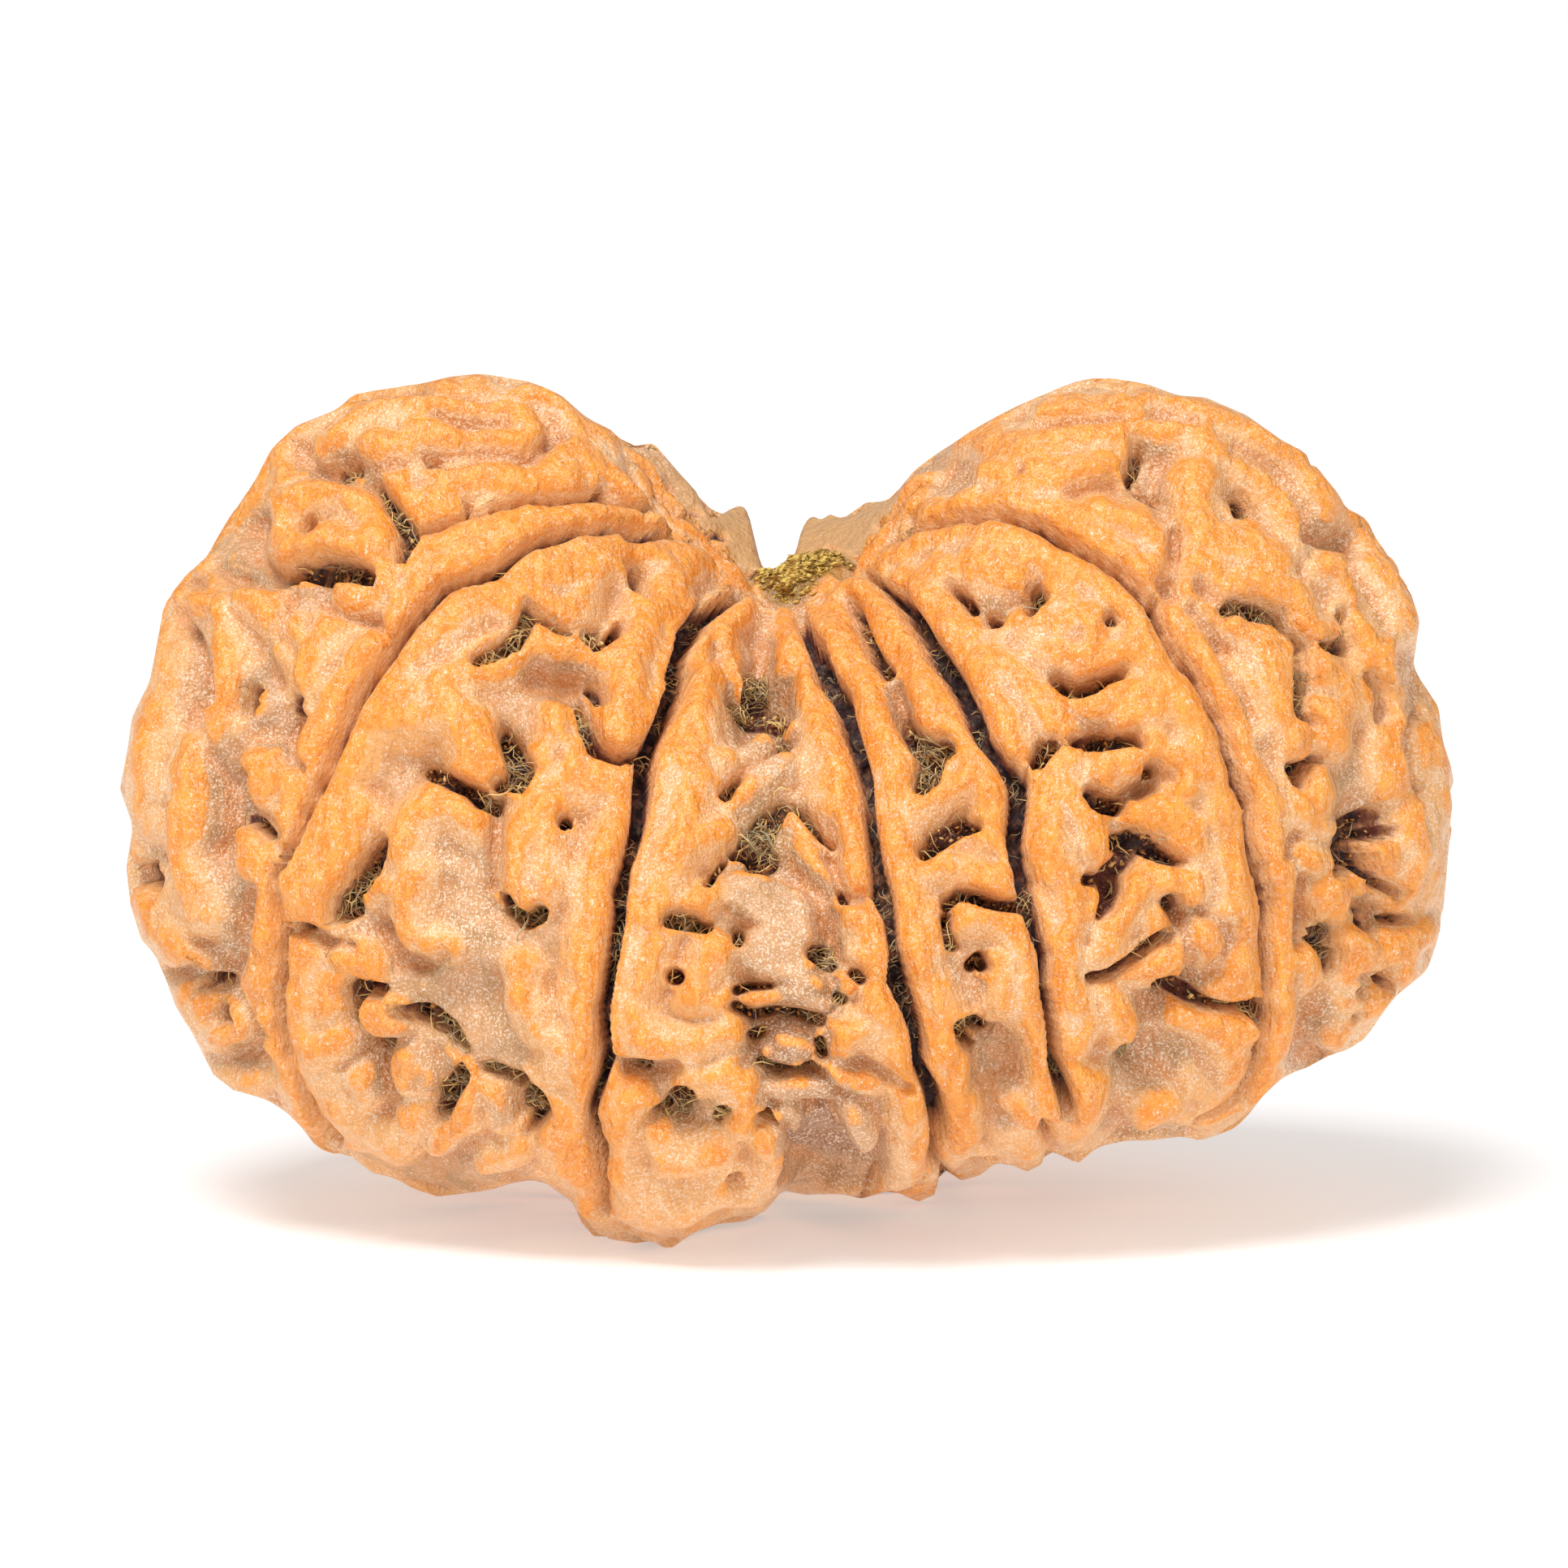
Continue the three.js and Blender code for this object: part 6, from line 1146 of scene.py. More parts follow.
    def _painted(self, strokes: list[Stroke]) -> np.ndarray:
        """Paints strokes into one field, measured over the bean in millimetres.

        Args:
            strokes: the strokes.

        Returns:
            How far each cell lies inside any of them.
        """
        sheet = np.full(self.grid.shape[:2], -REACH)
        for path in strokes:
            for pair in zip(path, path[1:]):
                shares, turns, widths = zip(*pair)
                ends = BEAN.points(directions_of(np.array(shares), np.radians(turns)))
                reach = max(widths) + REACH
                low = max(int((min(shares) - reach / self.half_way) * self.rows), 0)
                high = min(int((max(shares) + reach / self.half_way) * self.rows) + 2, self.rows)
                narrowest = max(np.hypot(ends[:, 0], ends[:, 1]).min() * 0.6, 0.4)
                spread = min(math.degrees(reach / narrowest), 180.0)
                columns = np.arange(int((min(turns) - spread) / 360.0 * self.columns),
                                    int((max(turns) + spread) / 360.0 * self.columns) + 2)
                if len(columns) >= self.columns:
                    columns = np.arange(self.columns)
                window = np.ix_(np.arange(low, high), columns % self.columns)
                part = sheet[window]
                paint(part, self.grid[window], ends, widths)
                sheet[window] = part
        return sheet

    def read(self, name: str, directions: np.ndarray) -> np.ndarray:
        """Reads a field.

        Args:
            name: which one.
            directions: unit vectors.

        Returns:
            One value for each direction.
        """
        share = np.arccos(np.clip(directions[..., 2], -1.0, 1.0)) / math.pi
        azimuth = np.arctan2(directions[..., 0], -directions[..., 1]) / (2.0 * math.pi)
        places = np.stack([share * (self.rows - 1), azimuth % 1.0 * self.columns], axis=-1)
        return read_grid(self.fields[name], places, wraps=True)


@dataclass
class Relief:
    """Heights of the stone's surface over the smooth bean, in millimetres.

    A noise layer is given as its strength, the length of its features and a shift that sets it apart.
    """

    # How far the floors of valleys, lines, pits and folds lie under the crests
    valley_depth: float = 0.72
    groove_depth: float = 1.4
    pit_depth: float = 1.25
    fold_depth: float = 0.4
    # How far from a fold's middle it starts, and how much deeper pits in hollows are, by the hollow
    fold_reach: float = 0.26
    hollow_pits: float = 0.4
    # Ridges: where they start and end to climb, the outer level, and how far crests are domed
    ridge_foot: float = -0.42
    ridge_top: float = 0.22
    level: float = 0.1
    dome: float = 0.24
    dome_start: float = -0.05
    dome_width: float = 0.5
    # Land that holds up the rims of lines and pits, by how much and how far round them, and the outline
    holds: dict[str, Span] = field(default_factory=lambda: {"groove": (0.45, 0.35), "pit": (0.22, 0.25)})
    rim_hold: float = 0.9
    rim_reach: float = 0.3
    # Rounded lips of the cuts, and the walls of pits and lines
    lip_start: float = -0.28
    lip_drop: float = 0.17
    pit_wall: Span = (-0.08, 0.05)
    line_wall: Span = (-0.02, 0.05)
    # How far the land is rounded off between neighbours, and how near the lower pole it is calm
    soften: float = 0.6
    calm_underside: float = 0.1
    # The pith lump: middle, radius across, half thickness and height
    pith_across: float = 0.4
    pith_back: float = 0.35
    pith_radius: float = 1.15
    pith_thickness: float = 0.75
    pith_height: float = 0.48
    # The bare zone behind the stem: middle, radius, level and how far it evens out the relief
    bare_back: float = 1.5
    bare_radius: float = 2.6
    bare_level: float = -0.2
    bare_share: float = 0.85
    # Noise that bends the strokes, how much of it the front takes, and the noise in land and cuts
    bend_layers: tuple[Layer, ...] = ((0.12, 1.5, 0.0), (0.07, 0.7, 0.0))
    bend_shifts: tuple[float, ...] = (0.0, 37.0, 71.0)
    front_bend: float = 0.35
    mean_radius: float = 13.0
    swell_layers: tuple[Layer, ...] = ((0.08, 2.3, 0.0), (0.09, 1.1, 9.0), (0.06, 0.55, 5.0),
                                       (0.025, 0.3, 3.0))
    # Where the front sheet takes over from the far one, by how squarely the bean faces the camera
    seen: Span = (0.04, 0.18)

    def __post_init__(self) -> None:
        """Paints both sheets and sets up the noise."""
        self.front = FrontSheet()
        self.far = FarSheet()
        self.noise = Noise(7)
        LOG.info("stroke fields painted")

    def thicket(self, points: np.ndarray) -> np.ndarray:
        """Returns where fibres grow thick, above 0, and where few grow, below 0."""
        return 1.6 * self.noise(points + 21.0, 1.3)

    def layered(self, points: np.ndarray, layers: tuple[Layer, ...]) -> np.ndarray:
        """Returns the sum of some noise layers at points."""
        return sum(strength * self.noise(points + shift, size) for strength, size, shift in layers)

    def sample(self, directions: np.ndarray) -> dict[str, np.ndarray]:
        """Reads everything about the surface at unit directions.

        The front strokes are read twice: once for the ridges, and then the rest where a place that deep
        shows on the sheet.

        Args:
            directions: unit vectors.

        Returns:
            Base points, normals and the fields that the heights and the finish are made of.
        """
        points = BEAN.points(directions)
        normals = BEAN.normals(directions)
        bend = [self.layered(points + shift, self.bend_layers) for shift in self.bend_shifts]
        bend = np.stack(bend, axis=-1)
        towards = -(normals @ SIGHT.forward)
        swayed = points + self.front_bend * bend
        spots = SIGHT.spots(swayed)
        raw = self.front.read("ridge", spots)
        ridge = raw + self.rim_hold * ease(1.0 - towards / self.rim_reach)
        for name, (hold, reach) in self.holds.items():
            ridge += hold * ease(1.0 + self.front.read(name, spots) / reach)
        crest, crown = self._crest(ridge), self._crown(raw)
        sunk = self.valley_depth * (1.0 - crest) + self.dome * crest * (1.0 - crown) - self.level
        spots = SIGHT.spots(swayed - normals * sunk[:, None])
        front = {name: self.front.read(name, spots) for name in self.front.fields if name != "ridge"}
        front.update(ridge=ridge, raw=raw)
        bent = unit(directions + bend / self.mean_radius)
        far = {name: self.far.read(name, bent) for name in self.far.fields}
        nowhere = np.full(len(points), NOWHERE)
        far.update(raw=far["ridge"], hollow=np.zeros(len(points)), knob=nowhere, fold=nowhere)
        first, second = self._masks(front), self._masks(far)
        facing = ease((towards - self.seen[0]) / self.seen[1])
        out = {key: first[key] * facing + second[key] * (1 - facing) for key in first}
        from_stem = np.hypot(points[:, 0], points[:, 1] - self.bare_back) / self.bare_radius
        bare = np.where(directions[:, 2] > 0, plateau(from_stem) * ease(points[:, 1]), 0.0)
        out.update(points=points, normals=normals, facing=facing, bare=bare)
        return out

    def _masks(self, read: dict[str, np.ndarray]) -> dict[str, np.ndarray]:
        """Turns stroke fields into the land's height and the masks of what is cut into it.

        Args:
            read: how far each point lies inside ridges, lines and pits, with hollows and knobs.

        Returns:
            The land, the crest and its crown, the cuts, the rounded lip and how strongly corners gather.
        """
        crest, crown = self._crest(read["ridge"]), self._crown(read["raw"])
        land = np.maximum(-(self.valley_depth + read["hollow"]) * (1.0 - crest), read["knob"])
        land += self.level - self.dome * crest * (1.0 - crown)
        deepest = np.maximum(read["groove"], read["pit"])
        near = np.minimum(np.abs(read["groove"]), np.abs(read["pit"]))
        pull = 4.2 * np.exp(-(near / 0.22) ** 2) + 0.8 * np.exp(-((read["ridge"] + 0.1) / 0.35) ** 2)
        pull += 1.2 * np.exp(-np.minimum(read["fold"] / 0.2, 0.0) ** 2)
        return {
            "land": land,
            "crest": crest,
            "crown": crown,
            "hollow": read["hollow"],
            "fold": ease(1.0 + read["fold"] / self.fold_reach),
            "line": self._wall(read["groove"], self.line_wall),
            "hole": self._wall(read["pit"], self.pit_wall),
            "lip": np.clip((deepest - self.lip_start) / -self.lip_start, 0.0, 1.0) ** 2,
            "pull": pull,
        }

    def _crown(self, inside: np.ndarray) -> np.ndarray:
        """Returns how near each point lies to the middle of a ridge's crest, 0 at its edge."""
        return ease((inside - self.dome_start) / self.dome_width)

    def _crest(self, inside: np.ndarray) -> np.ndarray:
        """Returns how far up a ridge each point lies, 0 at its foot and 1 on its crest."""
        climb = np.clip((inside - self.ridge_foot) / (self.ridge_top - self.ridge_foot), 0.0, 1.0)
        return np.sin(0.5 * math.pi * ease(climb))

    @staticmethod
    def _wall(inside: np.ndarray, span: Span) -> np.ndarray:
        """Returns how far down a cut's wall each point lies, 0 at its lip and 1 at its foot."""
        return ease((inside - span[0]) / (span[1] - span[0]))

    def heights(self, read: dict[str, np.ndarray], ball: "Ball") -> np.ndarray:
        """Adds the rounded land, the cuts and the small swells up to one height for each corner.

        Args:
            read: what sample returned, to which the pith and the depth are added.
            ball: the mesh, which rounds the land off between neighbours.

        Returns:
            Heights in millimetres along the normals.
        """
        points, above = read["points"], ball.directions[:, 2]
        land = read["land"] - self.lip_drop * read["lip"]
        land = (1.0 - self.soften) * land + self.soften * ball.average(land)
        height = land + self.layered(points, self.swell_layers) - self.fold_depth * read["fold"]
        rough = 0.2 * self.noise(points, 0.4)
        height += (np.minimum(height, rough - self.groove_depth) - height) * read["line"]
        pit_floor = rough - self.pit_depth - self.hollow_pits * read["hollow"]
        height += (np.minimum(height, pit_floor) - height) * read["hole"]
        height += (self.bare_level - height) * self.bare_share * read["bare"]
        from_pole = math.pi - np.arccos(np.clip(above, -1, 1))
        height *= ease((from_pole - self.calm_underside) / self.calm_underside)
        from_pith = np.hypot((points[:, 0] - self.pith_across) / self.pith_radius,
                             (points[:, 1] - self.pith_back) / self.pith_thickness)
        lump = np.where(above > 0, plateau(from_pith), 0.0)
        # The depth under the crests, which darkens the finish: partly the valleys' stain, partly painted
        # shade
        read.update(pith=lump, depth=read["hollow"] + 0.4 * read["fold"] - land)
        return height + (self.pith_height - height) * lump


class Ball:
    """A sphere of near-even triangles whose corners can be gathered where the relief is steep."""

    def __init__(self, cuts: int) -> None:
        """Splits each face of an icosahedron into cuts x cuts triangles.

        Args:
            cuts: how many parts each edge is split into.
        """
        golden = (1 + math.sqrt(5)) / 2
        corners = unit(np.array([[-1, golden, 0], [1, golden, 0], [-1, -golden, 0], [1, -golden, 0],
                                 [0, -1, golden], [0, 1, golden], [0, -1, -golden], [0, 1, -golden],
                                 [golden, 0, -1], [golden, 0, 1], [-golden, 0, -1], [-golden, 0, 1]]))
        faces = [[0, 11, 5], [0, 5, 1], [0, 1, 7], [0, 7, 10], [0, 10, 11], [1, 5, 9], [5, 11, 4],
                 [11, 10, 2], [10, 7, 6], [7, 1, 8], [3, 9, 4], [3, 4, 2], [3, 2, 6], [3, 6, 8],
                 [3, 8, 9], [4, 9, 5], [2, 4, 11], [6, 2, 10], [8, 6, 7], [9, 8, 1]]
        rows, columns = np.meshgrid(np.arange(cuts + 1), np.arange(cuts + 1), indexing="ij")
        keep = rows + columns <= cuts
        numbers = np.full((cuts + 1, cuts + 1), -1)
        numbers[keep] = np.arange(keep.sum())
        weights = np.stack([cuts - rows[keep] - columns[keep], rows[keep], columns[keep]], axis=1) / cuts
        small = []
        for row in range(cuts):
            for column in range(cuts - row):
                below, beside = numbers[row + 1, column], numbers[row, column + 1]
                small.append([numbers[row, column], below, beside])
                if column < cuts - row - 1:
                    small.append([below, numbers[row + 1, column + 1], beside])
        points = np.concatenate([unit(weights @ corners[face]) for face in faces])
        triangles = np.concatenate([np.array(small) + index * keep.sum() for index in range(len(faces))])
        _, first, back = np.unique(np.round(points, 6), axis=0, return_index=True, return_inverse=True)
        self.directions = points[first]
        self.triangles = back.reshape(-1)[triangles]
        sides = [self.triangles[:, pair] for pair in ([0, 1], [1, 2], [2, 0])]
        self.edges = np.unique(np.sort(np.concatenate(sides), axis=1), axis=0)

    def average(self, values: np.ndarray, weights: np.ndarray | None = None) -> np.ndarray:
        """Averages each corner over its neighbours.

        Args:
            values: one row for each corner.
            weights: one weight for each edge, all 1 if left out.

        Returns:
            Averages in the shape of the values.
        """
        count = len(self.directions)
        strength = np.tile(np.ones(len(self.edges)) if weights is None else weights, 2)
        table = values.reshape(count, -1)
        corner = self.edges.ravel(order="F")
        total = np.bincount(corner, strength, count)
        result = np.empty_like(table)
        for axis in range(table.shape[1]):
            other = table[self.edges[:, ::-1], axis].ravel(order="F")
            result[:, axis] = np.bincount(corner, other * strength, count) / total
        return result.reshape(values.shape)

    def gather(self, relief: Relief, steps: int, refresh: int = 4, stride: float = 0.6) -> None:
        """Moves corners towards the steep places.

        Args:
            relief: what says how strongly corners gather.
            steps: how many small moves to make.
            refresh: after how many moves the relief is read again.
            stride: share of the way to the neighbours' average that a move goes.
        """
        for step in range(steps):
            if step % refresh == 0:
                read = relief.sample(self.directions)
                pull = (1.0 + read["pull"]) * (1.0 + 0.4 * read["facing"])
            weights = pull[self.edges[:, 0]] + pull[self.edges[:, 1]]
            moved = self.average(self.directions, weights)
            self.directions = unit(self.directions * (1.0 - stride) + moved * stride)


class Tree:
    """Helper that adds and joins shader nodes in plain calls."""

    def __init__(self, name: str) -> None:
        """Makes a material with an empty node tree.

        Args:
            name: the material's name.
        """
        self.material = bpy.data.materials.new(name)
        self.material.use_nodes = True
        self.nodes = self.material.node_tree.nodes
        self.links = self.material.node_tree.links
        self.nodes.clear()

    def add(self, kind: str, inputs: dict | None = None, **settings: object) -> bpy.types.Node:
        """Adds a node.

        Args:
            kind: the node's type, without the ShaderNode prefix.
            inputs: values or output sockets for its inputs.
            settings: properties to set on the node.

        Returns:
            The new node.
        """
        node = self.nodes.new("ShaderNode" + kind)
        for key, value in settings.items():
            setattr(node, key, value)
        for key, value in (inputs or {}).items():
            if isinstance(value, Socket):
                self.links.new(value, node.inputs[key])
            else:
                node.inputs[key].default_value = value
        return node

    def attribute(self, name: str) -> Socket:
        """Returns the value of a mesh attribute."""
        return self.add("Attribute", attribute_name=name).outputs["Fac"]

    def math(self, operation: str, first: object, second: object = 0.0) -> Socket:
        """Returns the result of a math node."""
        return self.add("Math", {0: first, 1: second}, operation=operation).outputs[0]

    def plus(self, first: object, second: object) -> Socket:
        """Returns the sum of two values."""
        return self.math("ADD", first, second)

    def times(self, first: object, second: object) -> Socket:
        """Returns the product of two values."""
        return self.math("MULTIPLY", first, second)

    def step(self, value: object, low: float, high: float) -> Socket:
        """Returns a smooth step of a value between two limits."""
        inputs = {"Value": value, "From Min": low, "From Max": high}
        return self.add("MapRange", inputs, interpolation_type="SMOOTHSTEP").outputs["Result"]

    def mix(self, share: object, first: object, second: object) -> Socket:
        """Returns a mix of two colours."""
        return self.add("Mix", {0: share, 6: first, 7: second}, data_type="RGBA").outputs[2]

    def noise(self, scale: float, detail: float, place: Socket | None = None, bend: float = 0.0) -> Socket:
        """Returns noise with features of 1/scale metres, at a place or the object's own coordinates."""
        inputs = {"Vector": place or self.place(), "Scale": scale, "Detail": detail, "Distortion": bend}
        return self.add("TexNoise", inputs).outputs["Fac"]

    def place(self) -> Socket:
        """Returns the object's own coordinates."""
        return self.add("TexCoord").outputs["Object"]

    def stretched(self, share: float) -> Socket:
        """Returns the object's own coordinates with the upright one scaled, so that noise runs upright."""
        scaled = self.add("VectorMath", {0: self.place(), 1: (1.0, 1.0, share)}, operation="MULTIPLY")
        return scaled.outputs["Vector"]

    def bump(self, height: Socket, strength: float, distance: float, **normal: Socket) -> Socket:
        """Returns a normal that is roughened by a height."""
        inputs = {"Height": height, "Strength": strength, "Distance": distance, **normal}
        return self.add("Bump", inputs).outputs["Normal"]

    def finish(self, **inputs: object) -> bpy.types.Material:
        """Joins a plain shader with some inputs to the output.

        Args:
            inputs: the shader's inputs, with _ for each space in their names.

        Returns:
            The material.
        """
        named = {name.replace("_", " "): value for name, value in inputs.items()}
        self.add("OutputMaterial", {"Surface": self.add("BsdfPrincipled", named).outputs[0]})
        return self.material


def linear(value: int) -> float:
    """Turns one channel of a screen colour, from 0 to 255, into linear light."""
    share = value / 255.0
    return share / 12.92 if share <= 0.04045 else ((share + 0.055) / 1.055) ** 2.4


def colour(red: int, green: int, blue: int) -> Colour:
    """Turns a screen colour into a linear one."""
    return (linear(red), linear(green), linear(blue), 1.0)


@dataclass(frozen=True)
class StoneFinish:
    """Waxy seed stone: orange crests, peach slopes, frosted tan valleys and dark pits."""

    # The finish paints shade into the valleys and creases, and a sheen and glints onto the crests
    crest: Colour = colour(246, 162, 62)
    crest_deep: Colour = colour(234, 140, 38)
    slope: Colour = colour(234, 168, 98)
    slope_pale: Colour = colour(238, 182, 122)
    # The ridges' feet: painted shade in the creases
    foot: Colour = colour(216, 146, 86)
    valley: Colour = colour(208, 156, 110)
    valley_green: Colour = colour(188, 142, 96)
    # Darker valley colour that grows with depth: partly a stain, partly painted shade
    stain_and_shade: Colour = colour(168, 120, 84)
    soft: Colour = colour(206, 158, 104)
    wall: Colour = colour(198, 140, 96)
    wall_red: Colour = colour(132, 76, 64)
    pit: Colour = colour(48, 30, 36)
    pit_red: Colour = colour(126, 66, 50)
    mat: Colour = colour(112, 92, 72)
    # Pale colour of the frost specks and of the painted glints
    frost_and_glint: Colour = colour(255, 232, 206)
    pith: Colour = colour(150, 112, 50)
    # Features in a metre of the noises, from the broadest to the finest
    broad_scale: float = 330.0
    patch_scale: float = 1100.0
    streak_scale: float = 3600.0
    mat_scale: float = 5200.0
    grit_scale: float = 9000.0
    glint_scale: float = 9500.0
    speck_scale: float = 17000.0
    # Shares of a layer that covers the one below it, and of the pale lips
    layer_share: float = 0.75
    lip_share: float = 0.65
    # Bumps as strength and height in metres, and the least roughness
    grit_bump: Span = (0.5, 0.00012)
    streak_bump: Span = (0.6, 0.00025)
    roughness: float = 0.22

    def material(self) -> bpy.types.Material:
        """Builds the stone's material.

        Returns:
            The material.
        """
        tree = Tree("stone_finish")
        mix, step, plus, times = tree.mix, tree.step, tree.plus, tree.times
        rise, line, hole, depth, pith, crease_shade, bare, lip, crest = (tree.attribute(name) for name in (
            "rise", "line", "hole", "depth", "pith", "crease_shade", "bare", "lip", "crest"))
        broad = tree.noise(self.broad_scale, 3.0)
        patch = tree.noise(self.patch_scale, 4.0)
        streak = tree.noise(self.streak_scale, 4.0, tree.stretched(0.45))
        patchy = tree.math("SUBTRACT", patch, 0.5)
        streaky = tree.math("SUBTRACT", streak, 0.5)
        # Slopes, valleys and the feet of the ridges, with painted shade that grows with depth, off the
        # crests and in the creases
        slope = mix(step(plus(broad, streaky), 0.35, 0.7), self.slope, self.slope_pale)
        valley = mix(step(patch, 0.42, 0.6), self.valley, self.valley_green)
        # Valleys darken with depth: partly their own stain, partly painted shade in the recesses
        stained_and_shaded = mix(step(times(broad, depth), 0.7, 1.1), valley, self.stain_and_shade)
        low = mix(step(plus(depth, times(patchy, 0.9)), 0.35, 1.0), slope, stained_and_shaded)
        # Off the crests the colour is drawn further to the valley colours: painted shade
        sunk = mix(times(step(crest, 0.3, 0.0), self.layer_share), low, stained_and_shaded)
        soft = mix(step(bare, 0.25, 0.7), sunk, self.soft)
        # Painted shade in the creases at the ridges' feet
        crease_shaded = mix(times(step(crease_shade, 0.05, 0.9), self.layer_share), soft, self.foot)
        # Crests and lips; the crests' orange grows where the surface faces up, a painted sheen
        lift = plus(rise, plus(times(patchy, 1.6), times(streaky, 0.9)))
        orange = mix(step(streak, 0.35, 0.65), self.crest_deep, self.crest)
        crested = mix(step(lift, 0.5, 0.95), crease_shaded, orange)
        top = mix(times(step(lip, 0.25, 0.9), self.lip_share), crested, self.slope_pale)
        # Walls and floors of the cuts
        cut = tree.math("MAXIMUM", line, hole)
        grained = plus(cut, streaky)
        wall = mix(step(broad, 0.42, 0.6), self.wall, self.wall_red)
        walled = mix(step(grained, 0.3, 0.8), top, wall)
        bottom = mix(step(tree.noise(self.mat_scale, 4.0), 0.5, 0.68), self.pit, self.mat)
        reddish = mix(times(step(broad, 0.48, 0.62), hole), bottom, self.pit_red)
        holed = mix(step(grained, 0.7, 1.05), walled, reddish)
        # Frosty specks, and short pale threads that are painted glints, on all but the cuts and the bare
        # zone
        speck = step(tree.noise(self.speck_scale, 2.0), 0.54, 0.62)
        dusty = plus(0.28, times(step(lift, 1.0, 0.3), 0.45))
        frosted = times(speck, times(dusty, step(broad, 0.2, 0.6)))
        glint_noise = tree.noise(self.glint_scale, 1.0, tree.stretched(0.6), 0.9)
        ring = tree.math("ABSOLUTE", tree.math("SUBTRACT", glint_noise, 0.5))
        glint_thread = tree.math("SUBTRACT", 1.0, step(ring, 0.006, 0.028))
        glint_dashes = times(glint_thread, step(tree.noise(self.mat_scale, 2.0), 0.47, 0.56))
        frost_and_glint_marks = tree.math("MAXIMUM", frosted, times(glint_dashes, self.layer_share))
        clear = tree.math("SUBTRACT", 1.0, tree.math("MAXIMUM", step(cut, 0.2, 0.8), bare))
        with_frost_and_glints = mix(times(frost_and_glint_marks, clear), holed, self.frost_and_glint)
        grit = tree.bump(tree.noise(self.grit_scale, 3.0), *self.grit_bump)
        return tree.finish(
            Base_Color=mix(step(pith, 0.2, 0.6), with_frost_and_glints, self.pith),
            Roughness=plus(plus(self.roughness, times(patch, 0.2)), times(cut, 0.35)),
            Normal=tree.bump(streak, *self.streak_bump, Normal=grit),
            Subsurface_Weight=0.08,
            Subsurface_Scale=0.0003,
            Subsurface_Radius=(1.0, 0.6, 0.3),
        )


@dataclass(frozen=True)
class FibreFinish:
    """Dried flesh fibres, straw to olive and grey."""

    straw: Colour = colour(240, 206, 134)
    olive: Colour = colour(196, 176, 122)
    grey: Colour = colour(176, 162, 136)
    brown: Colour = colour(150, 96, 58)

    def material(self) -> bpy.types.Material:
        """Builds the fibres' material.

        Returns:
            The material.
        """
        tree = Tree("fibre_finish")
        shade = tree.attribute("shade")
        tint = tree.mix(tree.step(shade, 0.1, 0.3), self.brown, self.grey)
        tint = tree.mix(tree.step(shade, 0.3, 0.55), tint, self.olive)
        tint = tree.mix(tree.step(shade, 0.55, 0.85), tint, self.straw)
        return tree.finish(Base_Color=tint, Roughness=0.7)


@dataclass(frozen=True)
class CrumbFinish:
    """Crumbs of dried flesh in the pits, brown to amber and straw."""

    dark: Colour = colour(112, 66, 44)
    amber: Colour = colour(206, 140, 66)
    straw: Colour = colour(236, 200, 130)

    def material(self) -> bpy.types.Material:
        """Builds the crumbs' material.

        Returns:
            The material.
        """
        tree = Tree("crumb_finish")
        shade = tree.attribute("shade")
        warm = tree.mix(tree.step(shade, 0.3, 0.6), self.dark, self.amber)
        tint = tree.mix(tree.step(shade, 0.75, 0.95), warm, self.straw)
        return tree.finish(Base_Color=tint, Roughness=0.6)


@dataclass(frozen=True)
class PithFinish:
    """Crumbly dried pith of the stalk."""

    light: Colour = colour(232, 200, 106)
    deep: Colour = colour(176, 134, 58)
    grit_scale: float = 4500.0
    grit_bump: Span = (0.6, 0.0002)

    def material(self) -> bpy.types.Material:
        """Builds the pith's material.

        Returns:
            The material.
        """
        tree = Tree("pith_finish")
        shade = tree.step(tree.attribute("shade"), 0.0, 0.7)
        grit = tree.bump(tree.noise(self.grit_scale, 5.0), *self.grit_bump)
        return tree.finish(Base_Color=tree.mix(shade, self.deep, self.light), Roughness=0.8, Normal=grit)


def mesh_object(name: str, points: np.ndarray, triangles: np.ndarray, material: bpy.types.Material,
                smooth: bool = True) -> bpy.types.Object:
    """Makes a mesh object from corners in millimetres.

    Args:
        name: the piece's name.
        points: corners in millimetres.
        triangles: three corner numbers for each face.
        material: its finish.
        smooth: whether the faces shade smoothly.

    Returns:
        The new object, linked to the scene.
    """
    mesh = bpy.data.meshes.new(name)
    mesh.vertices.add(len(points))
    mesh.vertices.foreach_set("co", (points * MM).astype(np.float32).ravel())
    mesh.loops.add(triangles.size)
    mesh.loops.foreach_set("vertex_index", triangles.astype(np.int32).ravel())
    mesh.polygons.add(len(triangles))
    mesh.polygons.foreach_set("loop_start", np.arange(0, triangles.size, 3, dtype=np.int32))
    mesh.polygons.foreach_set("loop_total", np.full(len(triangles), 3, dtype=np.int32))
    mesh.update(calc_edges=True)
    mesh.validate()
    if smooth:
        mesh.shade_smooth()
    mesh.materials.append(material)
    thing = bpy.data.objects.new(name, mesh)
    bpy.context.scene.collection.objects.link(thing)
    return thing


def set_attribute(thing: bpy.types.Object, name: str, values: np.ndarray) -> None:
    """Stores one number for each corner of a mesh."""
    attribute = thing.data.attributes.new(name, "FLOAT", "POINT")
    attribute.data.foreach_set("value", values.astype(np.float32))


def litter_object(name: str, points: np.ndarray, faces: np.ndarray, material: bpy.types.Material,
                  rng: np.random.Generator) -> bpy.types.Object:
    """Makes one flat-shaded object of many like pieces, each with a random shade.

    Args:
        name: the piece's name.
        points: corners in millimetres, as pieces x corners x 3.
        faces: triangles of one piece.
        material: their finish.
        rng: source of the shades.

    Returns:
        The new object, linked to the scene.
    """
    count, corners = points.shape[:2]
    triangles = (faces[None] + np.arange(count)[:, None, None] * corners).reshape(-1, 3)
    thing = mesh_object(name, points.reshape(-1, 3), triangles, material, smooth=False)
    set_attribute(thing, "shade", np.repeat(rng.uniform(0, 1, count), corners))
    LOG.info("%s: %d pieces, %d triangles", name, count, len(triangles))
    return thing


